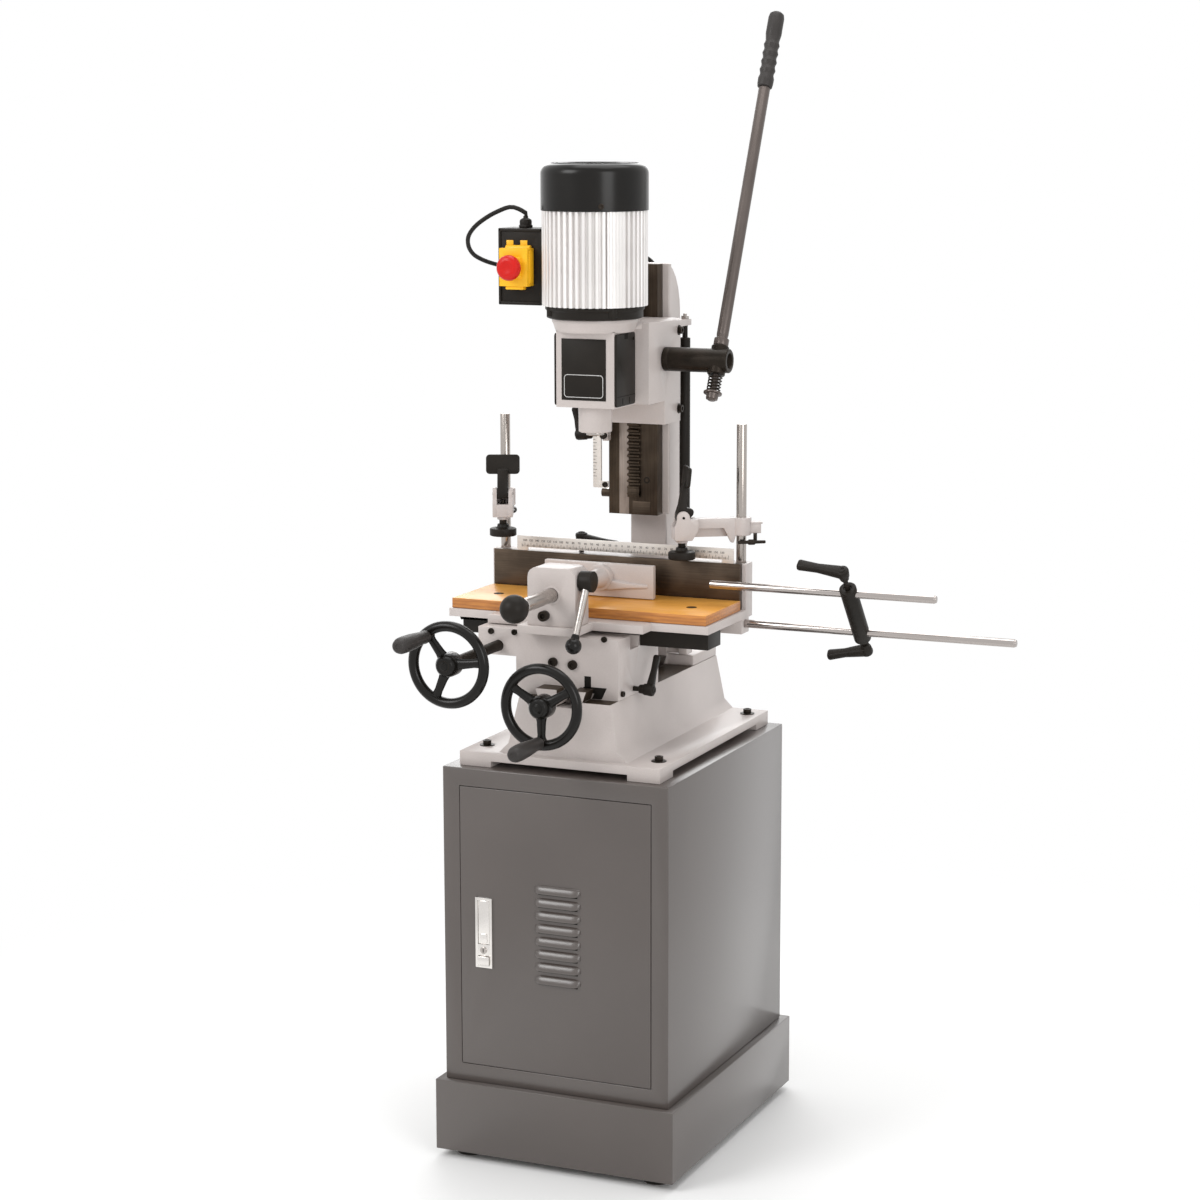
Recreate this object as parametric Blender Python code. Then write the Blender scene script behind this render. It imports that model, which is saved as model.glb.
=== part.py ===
"""Floor-standing mortiser on a steel cabinet, as separate pieces.

Units are metres, +Z is up, +X is to the operator's right and +Y is away from the operator.
Stations are first worked out from the spindle plane (x = 0), the front of the column's way
(y = 0) and the underside of the plinth (z = 0). One empty then carries every piece, and puts
the origin on the floor, in the middle of the whole machine.
"""
import math

import bmesh
import bpy
from mathutils import Matrix, Vector

# Fits that the whole machine shares
GAP = 0.0003
SINK = 0.001
OVERRUN = 0.003
ROUND_SIDES = 20
SMALL_SIDES = 10
SMOOTH_ANGLE = math.radians(38)

# Gear teeth, as shares of their module
TOOTH_SLACK_SHARE = 0.09
TOOTH_ROOT_SHARE = 1.2
TOOTH_TIP_SHARE = 0.85

# Cabinet and plinth
SHEET = 0.003
PLINTH_WIDTH = 0.378
PLINTH_DEPTH = 0.487
PLINTH_HEIGHT = 0.107
PLINTH_BACK = 0.175
PLINTH_LEDGE = 0.012
PLINTH_FLANGE = 0.040
FOOT_RADIUS = 0.021
FOOT_HEIGHT = 0.012
FOOT_INSET = 0.039
CABINET_HEIGHT = 0.472
DOOR_WIDTH = 0.300
DOOR_HEIGHT = 0.4175
DOOR_SILL = 0.0272
DOOR_DEPTH = 0.016
DOOR_CLEARANCE = 0.0008
LATCH_WIDTH = 0.0264
LATCH_HEIGHT = 0.105
LATCH_THICKNESS = 0.003
LATCH_EDGE = 0.025
LATCH_DROP = 0.1625
LATCH_BORDER = 0.004
PADDLE_HEIGHT = 0.066
PADDLE_THICKNESS = 0.004
BUTTON_TRAVEL = 0.003

# Base casting
BASE_HALF_WIDTH = 0.157
BASE_FRONT = 0.284
BASE_BACK = 0.152
BASE_FLANGE = 0.021
BASE_HEIGHT = 0.102
BASE_WALL = 0.012
BASE_FILLET = 0.014
BASE_ARCH = 0.009
BASE_PAD = 0.050
PEDESTAL_HALF_WIDTH = 0.072
PEDESTAL_FRONT = 0.262
PEDESTAL_BACK = 0.150
PEDESTAL_SPREAD = 0.014
RIDGE_HALF_WIDTH = 0.040
RIDGE_OFFSET = 0.006
RIDGE_HEIGHT = 0.016
RIDGE_FLARE = 0.006
RIDGE_BACK = 0.040
GROOVE_HALF_WIDTH = 0.012
GROOVE_DEPTH = 0.025
SCREW_DROP = 0.009
NUT_FRONT = 0.150
NUT_LENGTH = 0.030

# Column, its way and the gas spring
WAY_HALF_WIDTH = 0.0435
WAY_THICKNESS = 0.020
WAY_RISE = 0.236
WAY_HEIGHT = 0.374
FLANGE_HALF_WIDTH = 0.045
FLANGE_THICKNESS = 0.010
WEB_HALF_WIDTH = 0.029
WEB_BACK = 0.105
WEB_SETBACK = 0.049
WEB_TOP_FLAT = 0.015
WEB_CROWN = 0.079
COLUMN_FOOT_HALF_WIDTH = 0.072
COLUMN_FOOT_FRONT = 0.054
COLUMN_FOOT_BACK = 0.149
COLUMN_FOOT_HEIGHT = 0.016
RACK_MODULE = 0.003
RACK_PITCH_PROUD = 0.005
RACK_LEFT = -0.011
RACK_WIDTH = 0.019
RACK_TEETH = 32
RACK_TEETH_BELOW_PINION = 22
STOP_PIN_RADIUS = 0.007
STOP_PIN_LENGTH = 0.014
STOP_PIN_RISE = 0.030
GAS_X = 0.060
GAS_Y = 0.047
GAS_ROD_RADIUS = 0.004
GAS_TUBE_RADIUS = 0.008
GAS_LUG_WIDTH = 0.014
GAS_LUG_HEIGHT = 0.016
GAS_LUG_RISE = 0.019
GAS_EYE_HEIGHT = 0.014
GAS_ROD_LENGTH = 0.226
GAS_TUBE_LENGTH = 0.267
GAS_TUBE_BOTTOM_RISE = 0.232
GAS_BORE_DEPTH = 0.170
GAS_NECK = 0.018

# Headstock and what it carries
HEAD_TRAVEL = 0.100
SPINDLE_Y = -0.149
HEAD_HALF_WIDTH = 0.0453
HEAD_FRONT = -0.185
HEAD_BACK = 0.012
HEAD_JOINT = -0.109
HEAD_REAR_HALF_WIDTH = 0.067
HEAD_RISE = 0.414
HEAD_HEIGHT = 0.110
HEAD_REAR_HEIGHT = 0.118
HEAD_WALL = 0.010
SLIDE_BLOCK_FRONT = -0.049
SLIDE_BLOCK_HEIGHT = 0.035
NOSE_RADIUS = 0.0238
NOSE_BORE_RADIUS = 0.0095
SEAT_RADIUS = 0.069
SEAT_HEIGHT = 0.012
SPINDLE_BORE_RADIUS = 0.017
PINION_TEETH = 28
PINION_WIDTH = 0.017
PINION_CLEARANCE = 0.002
PINION_RISE = 0.0615
PINION_SHAFT_RADIUS = 0.0125
PINION_TAIL = 0.026
CHUCK_DOOR_THICKNESS = 0.004
CHUCK_DOOR_DROP = 0.005
CHUCK_DOOR_HEIGHT = 0.112
CHUCK_DOOR_NOTCH = 0.012
CHUCK_DOOR_SIDE_GAP = 0.0005
SPINDLE_RADIUS = 0.008
CHUCK_RADIUS = 0.018
CHUCK_HEIGHT = 0.045
ROTOR_RADIUS = 0.042
ROTOR_HEIGHT = 0.095
FAN_RADIUS = 0.060
FAN_HEIGHT = 0.012

# Motor, switch and gland
MOTOR_FLANGE_RADIUS = 0.0695
MOTOR_FLANGE_HEIGHT = 0.0185
MOTOR_RADIUS = 0.076
MOTOR_CORE_RADIUS = 0.066
MOTOR_BORE_RADIUS = 0.052
MOTOR_HEIGHT = 0.1385
MOTOR_END_WALL = 0.008
MOTOR_FINS = 28
MOTOR_FIN_SHARE = 0.38
COVER_RADIUS = 0.07725
COVER_HEIGHT = 0.0663
COVER_WALL = 0.0025
COVER_SHOULDER = 0.014
SWITCH_LEFT = -0.138
SWITCH_FRONT = -0.180
SWITCH_DEPTH = 0.050
SWITCH_HEIGHT = 0.1095
SWITCH_RISE = 0.003
LID_WIDTH = 0.044
LID_DEPTH = 0.0225
LID_HEIGHT = 0.054
LID_RISE = 0.028
LID_INSET = 0.012
LID_WALL = 0.003
LID_KNUCKLE_RADIUS = 0.004
STOP_RADIUS = 0.017
STOP_STEM_RADIUS = 0.009
STOP_STAND = 0.010
STOP_CAP = 0.013
STOP_TRAVEL = 0.004
GLAND_RADIUS = 0.009
GLAND_HEIGHT = 0.014
GLAND_X = -0.105
GLAND_Y = -0.157

# Depth scale and its lock
SCALE_LEFT = -0.060
SCALE_WIDTH = 0.013
SCALE_FRONT = -0.022
SCALE_THICKNESS = 0.004
SCALE_BELOW_HEAD = 0.102
SCALE_ABOVE = 0.105
SCALE_FOOT_REACH = 0.011
SCALE_FOOT_HEIGHT = 0.010
DEPTH_LUG_DROP = 0.032
DEPTH_LUG_RIGHT = -0.038
DEPTH_LUG_BACK = -0.006
DEPTH_LOCK_DROP = 0.023
DEPTH_LOCK_Y = -0.012

# Feed lever
HUB_RADIUS = 0.0175
HUB_LENGTH = 0.1005
HUB_END_BORE_RADIUS = 0.010
HUB_END_BORE_DEPTH = 0.006
HUB_BORE_DEPTH = 0.055
LEVER_X = 0.150
LEVER_LEAN = math.radians(25.2)
LEVER_BOSS_RADIUS = 0.013
LEVER_BOSS_REACH = 0.022
LEVER_STUD_RADIUS = 0.005
LEVER_ROD_RADIUS = 0.00875
LEVER_SHOULDER_RADIUS = 0.011
LEVER_SHOULDER_LENGTH = 0.012
LEVER_ROD_LENGTH = 0.431
LEVER_TANG_RADIUS = 0.006
LEVER_TANG_LENGTH = 0.105
LEVER_GRIP_RADIUS = 0.012
LEVER_GRIP_LENGTH = 0.1225
LEVER_GRIP_GROOVES = 4
LEVER_GROOVE_DEPTH = 0.0016
LEVER_WASHER_RADIUS = 0.0135
LEVER_WASHER_THICKNESS = 0.0025
LEVER_NUT_RADIUS = 0.009
LEVER_NUT_HEIGHT = 0.008
LEVER_PULL = 0.010
SPRING_RADIUS = 0.0095
SPRING_WIRE_RADIUS = 0.0012
SPRING_LENGTH = 0.0262
SPRING_CURLS = 5
SPRING_CURL_POINTS = 9
LEVER_CONE_SHARE = 1.5
GRIP_FOOT_SHARE = 0.85
GRIP_GROOVE_SHARE = 0.14
GRIP_START_SHARE = 0.12
GRIP_SWELL_SHARE = 0.7
GRIP_ROUND_SHARE = 0.95
GRIP_END_SHARE = 0.6
WHEEL_GRIP_SHARES = ((0, 0.72), (0.06, 0.8), (0.25, 0.7), (0.6, 0.98), (0.85, 1.0), (0.97, 0.85), (1, 0.6))
BALL_TURN_SHARE = 0.95
CHUCK_END_SHARE = 0.7
STOP_FACE_SHARE = 0.7
GLAND_NUT_SHARE = 0.55
GLAND_END_SHARE = 0.65
SADDLE_LOCK_WAY_SHARES = (0, 0.53, 0.85)
PLUG_SMALL_SHARES = (0.5, 0.5)
PLUG_LARGE_SHARES = (1.0, 1.0)
PLUG_CONE_SHARE = 0.4
PLUG_PIN_SHARES = ((-1, -0.5), (1, -0.5), (0, 0.5))

# Saddle and its drives
SADDLE_LEFT = -0.0895
SADDLE_RIGHT = 0.072
SADDLE_FRONT = -0.233
SADDLE_BACK = -0.085
SADDLE_HEIGHT = 0.0677
APRON_HEIGHT = 0.021
APRON_BACK = -0.190
JAW_HEIGHT = 0.016
JAW_THICKNESS = 0.0187
FRONT_JAW_THICKNESS = 0.006
EAR_LEFT = -0.150
EAR_BACK = -0.180
EAR_BELOW = 0.014
EAR_ABOVE = 0.026
SADDLE_BOSS_LENGTH = 0.028
SADDLE_LOCK_Y = -0.177
SADDLE_LOCK_RISE = 0.0087
SCREW_RADIUS = 0.007
SCREW_FRONT = -0.335
SCREW_BACK = -0.030
SCREW_COLLAR_RADIUS = 0.010
SCREW_COLLAR = 0.008
WHEEL_RADIUS = 0.0625
WHEEL_RIM_RADIUS = 0.0075
WHEEL_HUB_RADIUS = 0.017
WHEEL_HUB_LENGTH = 0.030
WHEEL_SPOKE_RADIUS = 0.0055
WHEEL_SPOKES = 3
CROSS_WHEEL_Y = -0.340
GRIP_ORBIT = 0.050
GRIP_RADIUS = 0.012
GRIP_LENGTH = 0.086
GRIP_PIN_RADIUS = 0.004
GRIP_STAND = 0.0095
TRAVERSE_X = -0.118
TRAVERSE_WHEEL_Y = -0.394
TRAVERSE_SHAFT_RADIUS = 0.008
TRAVERSE_MODULE = 0.002
TRAVERSE_TEETH = 24
TRAVERSE_GEAR_WIDTH = 0.014
TRAVERSE_GRIP_ANGLE = math.radians(127)

# Table, fence and ruler
TABLE_X = -0.018
TABLE_TRAVEL = 0.075
TABLE_HALF_LENGTH = 0.206
TABLE_THICKNESS = 0.012
TABLE_WING_FRONT = -0.180
TABLE_MID_FRONT = -0.210
TABLE_MID_LEFT = -0.146
TABLE_MID_RIGHT = 0.100
TONGUE_FRONT = -0.268
TONGUE_LEFT = -0.071
TONGUE_RIGHT = 0.021
SLIDE_DEPTH = 0.050
SLIDE_HEIGHT = 0.0275
SLIDE_END = 0.010
FENCE_WALL_BACK = -0.002
FENCE_WALL_THICKNESS = 0.026
FENCE_WALL_HEIGHT = 0.0683
FENCE_THICKNESS = 0.0097
FENCE_HEIGHT = 0.069
FENCE_HALF_LENGTH = 0.200
WOOD_HALF_LENGTH = 0.202
WOOD_THICKNESS = 0.015
WOOD_FRONT = -0.178
WOOD_BACK_GAP = 0.0018
RULER_LEFT = -0.179
RULER_LENGTH = 0.351
RULER_HEIGHT = 0.017
RULER_THICKNESS = 0.002
RULER_STAND = 0.005
RULER_TAB = 0.018
FENCE_LOCK_X = -0.085
FENCE_LOCK_Y = -0.010

# Work clamp
CLAMP_LEFT = -0.057
CLAMP_RIGHT = 0.018
CLAMP_FRONT = -0.262
CLAMP_DEPTH = 0.046
CLAMP_HEIGHT = 0.084
CLAMP_ROUNDING = 0.014
CLAMP_BAR_X = -0.019
CLAMP_BAR_RISE = 0.045
CLAMP_BAR_RADIUS = 0.013
CLAMP_BAR_FRONT = -0.366
CLAMP_NECK_RADIUS = 0.009
CLAMP_KNOB_RADIUS = 0.0205
JAW_PLATE_FRONT = -0.087
JAW_PLATE_THICKNESS = 0.010
JAW_PLATE_HALF_LENGTH = 0.088
JAW_PLATE_X = -0.023
JAW_PLATE_HEIGHT = 0.050
JAW_PLATE_LIFT = 0.001
JAW_BOSS_RADIUS = 0.020
JAW_BOSS_LENGTH = 0.008
JAW_RIB_HEIGHT = 0.014
JAW_RIB_DEPTH = 0.006
JAW_RIB_SHARE = 0.88
CLAMP_PIVOT_RISE = 0.065
CLAMP_PIVOT_Y = -0.243
CLAMP_HUB_RADIUS = 0.015
CLAMP_HUB_LENGTH = 0.0207
CLAMP_PIN_RADIUS = 0.005
CLAMP_PIN_DEPTH = 0.023
CLAMP_LEVER_LEAN = math.radians(23)
CLAMP_LEVER_LENGTH = 0.089
CLAMP_LEVER_RADIUS = 0.005
CLAMP_BALL_RADIUS = 0.0115

# Hold-downs
POST_RADIUS = 0.0075
POST_TOP_RISE = 0.273
POST_SOCKET = 0.052
POST_Y = -0.012
RIGHT_POST_X = 0.174
LEFT_POST_X = -0.210
RIGHT_ARM_RISE = 0.103
LEFT_ARM_RISE = 0.127
RIGHT_ARM_ANGLE = math.radians(212.6)
LEFT_ARM_ANGLE = math.radians(-67.2)
RIGHT_ARM_REACH = 0.089
LEFT_ARM_REACH = 0.088
COLLAR_RADIUS = 0.015
ARM_HEIGHT = 0.030
ARM_WIDTH = 0.014
ARM_INSET = 0.004
ARM_BOSS_RADIUS = 0.011
ARM_BOSS_HEIGHT = 0.028
ARM_EAR_THICKNESS = 0.004
CAM_RADIUS = 0.007
CAM_WIDTH = 0.009
CAM_RISE = 0.036
CAM_PIN_RADIUS = 0.0025
CAM_STEM_HEIGHT = 0.045
CAM_PADDLE_WIDTH = 0.050
CAM_PADDLE_HEIGHT = 0.027
CAM_THICKNESS = 0.009
PAD_RADIUS = 0.020
PAD_THICKNESS = 0.015
PAD_HANG = 0.013
PAD_STEM_RADIUS = 0.005
ARM_LOCK_RADIUS = 0.003
ARM_LOCK_REACH = 0.020
ARM_LOCK_BAR = 0.036

# Side stop rods and their connector
STOP_ROD_RADIUS = 0.006
LOWER_ROD_Y = -0.030
LOWER_ROD_DROP = 0.0077
LOWER_ROD_LEFT = 0.140
LOWER_ROD_LENGTH = 0.459
ROD_BOSS_LENGTH = 0.038
ROD_BOSS_HALF_DEPTH = 0.015
ROD_BOSS_BELOW = 0.014
UPPER_ROD_LEFT = 0.154
UPPER_ROD_LENGTH = 0.343
CONNECTOR_X = 0.367
CONNECTOR_REACH = 0.0851
CONNECTOR_ANGLE = math.radians(130.2)
CONNECTOR_HALF_WIDTH = 0.012
CONNECTOR_THICKNESS = 0.016
UPPER_CONNECTOR_ARM = 0.069
LOWER_CONNECTOR_ARM = 0.058

# Clamping levers, one pattern for all of them
LOCK_HUB_RADIUS = 0.009
LOCK_HUB_LENGTH = 0.024
LOCK_CAP_RADIUS = 0.0055
LOCK_CAP_HEIGHT = 0.003
LOCK_STUD_RADIUS = 0.004
LOCK_ARM_RADIUS = 0.0045
LOCK_ARM_END_RADIUS = 0.0065
LOCK_ARM_RISE = 0.010
DEPTH_LOCK_REACH = 0.039
SADDLE_LOCK_REACH = 0.053
FENCE_LOCK_REACH = 0.060
DEPTH_LOCK_STUD = 0.022
SADDLE_LOCK_STUD = 0.010
FENCE_LOCK_STUD = 0.012
CONNECTOR_LOCK_STUD = 0.005

# Mains cord
CORD_RADIUS = 0.00325
CORD_POINTS = 80
COIL_RADIUS = 0.039
COIL_STEP = 0.0080
COIL_LOOP_POINTS = 24
COIL_INNER_TURNS = 2
COIL_CLIMB_TURNS = 0.5
COIL_OUTER_TURNS = 2.5
COIL_X = -0.030
COIL_OFFSET = 0.057
COIL_LEAD = 0.007
PLUG_LENGTH = 0.044
PLUG_NECK = 0.012
PLUG_NECK_RADIUS = 0.005
PLUG_HALF_WIDTH = 0.014
PLUG_PIN_LENGTH = 0.019
PLUG_PIN_RADIUS = 0.0024
PLUG_PIN_SPACING = 0.008

# Heights and stations worked out from the sizes above
plinth_front = PLINTH_BACK - PLINTH_DEPTH
cabinet_half_width = PLINTH_WIDTH / 2 - PLINTH_LEDGE
cabinet_front = plinth_front + PLINTH_LEDGE
cabinet_back = PLINTH_BACK - PLINTH_LEDGE
cabinet_bottom = PLINTH_HEIGHT + GAP
cabinet_top = PLINTH_HEIGHT + CABINET_HEIGHT
door_left = -DOOR_WIDTH / 2
door_right = DOOR_WIDTH / 2
door_bottom = PLINTH_HEIGHT + DOOR_SILL
door_top = door_bottom + DOOR_HEIGHT
latch_left = door_left + LATCH_EDGE
latch_top = door_top - LATCH_DROP
base_bottom = cabinet_top + GAP
base_top = base_bottom + BASE_HEIGHT
ridge_top = base_top + RIDGE_HEIGHT
screw_z = ridge_top - SCREW_DROP
way_bottom = base_top + WAY_RISE
way_top = way_bottom + WAY_HEIGHT
column_bottom = base_top + GAP
flange_front = WAY_THICKNESS + GAP
web_front = flange_front + FLANGE_THICKNESS
head_bottom = base_top + HEAD_RISE
head_top = head_bottom + HEAD_HEIGHT
seat_top = head_top + SEAT_HEIGHT
slide_block_bottom = head_bottom - SLIDE_BLOCK_HEIGHT
pinion_radius = RACK_MODULE * PINION_TEETH / 2
pinion_y = -RACK_PITCH_PROUD - pinion_radius
pinion_z = head_bottom + PINION_RISE
rack_bottom = pinion_z - math.pi * RACK_MODULE * (RACK_TEETH_BELOW_PINION + 0.5)
lever_up = Vector((0, math.sin(LEVER_LEAN), math.cos(LEVER_LEAN)))
lever_pivot = Vector((LEVER_X, pinion_y, pinion_z))
flange_bottom = seat_top + GAP
motor_bottom = flange_bottom + MOTOR_FLANGE_HEIGHT + GAP
cover_bottom = motor_bottom + MOTOR_HEIGHT + GAP
switch_bottom = motor_bottom + SWITCH_RISE
switch_top = switch_bottom + SWITCH_HEIGHT
lid_left = SWITCH_LEFT + LID_INSET
lid_back = SWITCH_FRONT - GAP
lid_bottom = switch_bottom + LID_RISE
lid_top = lid_bottom + LID_HEIGHT
stop_x = lid_left + LID_WIDTH / 2
stop_z = lid_bottom + LID_HEIGHT / 2
saddle_bottom = base_top + GAP
saddle_top = saddle_bottom + SADDLE_HEIGHT
slide_bottom = saddle_top + GAP
slide_back = SADDLE_BACK - JAW_THICKNESS - GAP
slide_front = slide_back - SLIDE_DEPTH
table_bottom = slide_bottom + SLIDE_HEIGHT
table_top_z = table_bottom + TABLE_THICKNESS
table_left = TABLE_X - TABLE_HALF_LENGTH
table_right = TABLE_X + TABLE_HALF_LENGTH
board_bottom = table_top_z + GAP
board_top = board_bottom + WOOD_THICKNESS
wall_front = FENCE_WALL_BACK - FENCE_WALL_THICKNESS
wall_top = table_top_z + FENCE_WALL_HEIGHT
fence_back = wall_front - GAP
fence_front = fence_back - FENCE_THICKNESS
fence_top = board_bottom + FENCE_HEIGHT
traverse_gear_radius = TRAVERSE_MODULE * TRAVERSE_TEETH / 2
traverse_rack_root = 1.25 * TRAVERSE_MODULE
traverse_pitch_z = table_bottom - traverse_rack_root - SINK
traverse_z = traverse_pitch_z - traverse_gear_radius
traverse_gear_back = slide_front - FRONT_JAW_THICKNESS - PINION_CLEARANCE
lower_rod_z = table_bottom - LOWER_ROD_DROP
connector_up = Vector((0, math.cos(CONNECTOR_ANGLE), math.sin(CONNECTOR_ANGLE)))
lower_rod_at = Vector((CONNECTOR_X, LOWER_ROD_Y, lower_rod_z))
upper_rod_at = lower_rod_at + connector_up * CONNECTOR_REACH
clamp_bar_z = board_bottom + CLAMP_BAR_RISE
clamp_pivot_z = board_bottom + CLAMP_PIVOT_RISE
floor_z = -FOOT_HEIGHT
coil_y = PLINTH_BACK + COIL_OFFSET
coil_z = floor_z + CORD_RADIUS + GAP
plug_z = coil_z + COIL_STEP

# Each finish is a colour, a roughness and a metallic value
FINISHES = {
    "grey_paint": ((0.60, 0.59, 0.55), 0.45, 0.0),
    "cabinet_paint": ((0.17, 0.165, 0.16), 0.5, 0.0),
    "ground_steel": ((0.16, 0.14, 0.125), 0.4, 0.8),
    "black_plastic": ((0.02, 0.02, 0.021), 0.35, 0.0),
    "grip_grey": ((0.10, 0.10, 0.105), 0.5, 0.0),
    "chrome": ((0.75, 0.75, 0.76), 0.15, 1.0),
    "steel": ((0.45, 0.45, 0.46), 0.35, 1.0),
    "aluminium": ((0.70, 0.70, 0.70), 0.4, 1.0),
    "yellow": ((0.85, 0.60, 0.03), 0.4, 0.0),
    "red": ((0.65, 0.02, 0.02), 0.35, 0.0),
    "wood": ((0.60, 0.30, 0.11), 0.5, 0.0),
    "rubber": ((0.03, 0.03, 0.03), 0.8, 0.0),
}


def clear_scene():
    """Remove every object that the scene starts with."""
    for old in list(bpy.data.objects):
        bpy.data.objects.remove(old, do_unlink=True)


def material_for(name, finish):
    """Make one piece's own material from a named finish."""
    colour, roughness, metallic = FINISHES[finish]
    material = bpy.data.materials.new(name + "_material")
    material.use_nodes = True
    shader = material.node_tree.nodes["Principled BSDF"]
    shader.inputs["Base Color"].default_value = (*colour, 1.0)
    shader.inputs["Roughness"].default_value = roughness
    shader.inputs["Metallic"].default_value = metallic
    material.diffuse_color = (*colour, 1.0)
    return material


def linked(label, data):
    """Put new object data in the scene."""
    body = bpy.data.objects.new(label, data)
    bpy.context.scene.collection.objects.link(body)
    return body


def lofted(sections, closed=False):
    """Skin a row of point rings, and cap both ends or close the row on itself."""
    bm = bmesh.new()
    rings = [[bm.verts.new(point) for point in section] for section in sections]
    pairs = list(zip(rings, rings[1:]))
    if closed:
        pairs.append((rings[-1], rings[0]))
    else:
        bm.faces.new(rings[0])
        bm.faces.new(rings[-1])
    for first, second in pairs:
        for here in range(len(first)):
            there = (here + 1) % len(first)
            bm.faces.new((first[here], first[there], second[there], second[here]))
    bmesh.ops.recalc_face_normals(bm, faces=bm.faces)
    mesh = bpy.data.meshes.new("shape")
    bm.to_mesh(mesh)
    bm.free()
    return linked("shape", mesh)


def slab(x, y, z):
    """A box between two limits on each axis."""
    corners = ((x[0], y[0]), (x[1], y[0]), (x[1], y[1]), (x[0], y[1]))
    return lofted([[(a, b, level) for a, b in corners] for level in z])


def prism(outline, limits, axis):
    """Push an outline of pairs along one axis."""
    place = {"x": lambda a, b, c: (c, a, b), "y": lambda a, b, c: (a, c, b), "z": lambda a, b, c: (a, b, c)}
    return lofted([[place[axis](a, b, level) for a, b in outline] for level in limits])


def turned(profile, start, direction, sides=ROUND_SIDES, closed=False):
    """Turn a profile of (distance, radius) pairs about a line through start."""
    turn = Vector(direction).to_track_quat("Z", "Y").to_matrix()
    sections = []
    for along, radius in profile:
        ring = []
        for side in range(sides):
            angle = math.tau * (side + 0.5) / sides
            ring.append(Vector(start) + turn @ Vector((radius * math.cos(angle), radius * math.sin(angle),
                along)))
        sections.append(ring)
    return lofted(sections, closed)


def rod(start, end, radius, sides=SMALL_SIDES):
    """A plain round bar between two points."""
    line = Vector(end) - Vector(start)
    return turned([(0, radius), (line.length, radius)], start, line, sides)


def sleeve(start, end, radius, bore, sides=ROUND_SIDES):
    """A round bar with a bore right through it."""
    line = Vector(end) - Vector(start)
    profile = [(0, bore), (0, radius), (line.length, radius), (line.length, bore)]
    return turned(profile, start, line, sides, closed=True)


def ball_profile(centre, radius, first_angle, steps=6):
    """Half outline of a ball, from an angle off its near pole to just short of its far pole."""
    last_angle = math.pi * BALL_TURN_SHARE
    angles = [first_angle + (last_angle - first_angle) * step / steps for step in range(steps + 1)]
    return [(centre - radius * math.cos(angle), radius * math.sin(angle)) for angle in angles]


def arc(centre, radii, first, last, steps):
    """Points along an arc of an ellipse, in the plane of an outline."""
    points = []
    for step in range(steps + 1):
        angle = first + (last - first) * step / steps
        points.append((centre[0] + radii[0] * math.cos(angle), centre[1] + radii[1] * math.sin(angle)))
    return points


def combined(body, tools, operation):
    """Run exact Booleans between a body and its tools, and remove the tools."""
    for tool in tools:
        modifier = body.modifiers.new("shape", "BOOLEAN")
        modifier.operation = operation
        modifier.solver = "EXACT"
        modifier.object = tool
    graph = bpy.context.evaluated_depsgraph_get()
    graph.update()
    mesh = bpy.data.meshes.new_from_object(body.evaluated_get(graph))
    body.modifiers.clear()
    body.data = mesh
    for tool in tools:
        bpy.data.objects.remove(tool, do_unlink=True)
    return body


def united(body, *others):
    """Weld shapes into one solid."""
    return combined(body, others, "UNION")


def carved(body, *cutters):
    """Cut shapes out of a solid."""
    return combined(body, cutters, "DIFFERENCE")


def swung(body, angle, pivot):
    """Turn a shape about the vertical, then move its own zero to a pivot."""
    body.data.transform(Matrix.Translation(pivot) @ Matrix.Rotation(angle, 4, "Z"))
    return body


def piece(name, body, finish, pivot=(0, 0, 0)):
    """Name a finished shape, move its origin to its pivot and hang it on the machine's empty."""
    body.name = name
    body.data.name = name
    if body.type == "MESH":
        body.data.transform(Matrix.Translation(-Vector(pivot)))
        body.data.shade_smooth()
        body.data.set_sharp_from_angle(angle=SMOOTH_ANGLE)
        body.location = pivot
    body.data.materials.clear()
    body.data.materials.append(material_for(name, finish))
    body.parent = machine
    return body


def tube(name, points, radius, bevel_resolution, finish):
    """A filled round tube along a row of points."""
    curve = bpy.data.curves.new(name, "CURVE")
    curve.dimensions = "3D"
    curve.bevel_depth = radius
    curve.bevel_resolution = bevel_resolution
    curve.use_fill_caps = True
    spline = curve.splines.new("POLY")
    spline.points.add(len(points) - 1)
    for knot, point in zip(spline.points, points):
        knot.co = (*point, 1.0)
    return piece(name, linked(name, curve), finish)


def least_self_gap(points, radius):
    """Smallest space between stretches of one tube, measured on its points."""
    reach = 4 * radius
    travelled = [0.0]
    for here, there in zip(points, points[1:]):
        travelled.append(travelled[-1] + (there - here).length)
    least = math.inf
    for first, point in enumerate(points):
        for second in range(first + 1, len(points)):
            if travelled[second] - travelled[first] > reach:
                least = min(least, (points[second] - point).length)
    return least - 2 * radius


def path_length(points):
    """Length along a row of points."""
    return sum((there - here).length for here, there in zip(points, points[1:]))


def gear_outline(module, teeth, centre):
    """Straight-sided gear teeth round a centre, the first gap facing along the outline's first axis."""
    pitch = module * teeth / 2
    outline = []
    for tooth in range(teeth):
        middle = math.tau * (tooth + 0.5) / teeth
        for reach, half in tooth_flank(module):
            outline.append((pitch + reach, middle - half / (pitch + reach)))
        for reach, half in reversed(tooth_flank(module)):
            outline.append((pitch + reach, middle + half / (pitch + reach)))
    return [(centre[0] + r * math.cos(a), centre[1] + r * math.sin(a)) for r, a in outline]


def tooth_flank(module):
    """Distance from the pitch line and half thickness, at a tooth's root and tip."""
    half = module * (math.pi / 4 - TOOTH_SLACK_SHARE)
    slope = math.tan(math.radians(20))
    root = -TOOTH_ROOT_SHARE * module
    tip = TOOTH_TIP_SHARE * module
    return [(root, half - root * slope), (tip, half - tip * slope)]


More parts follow.
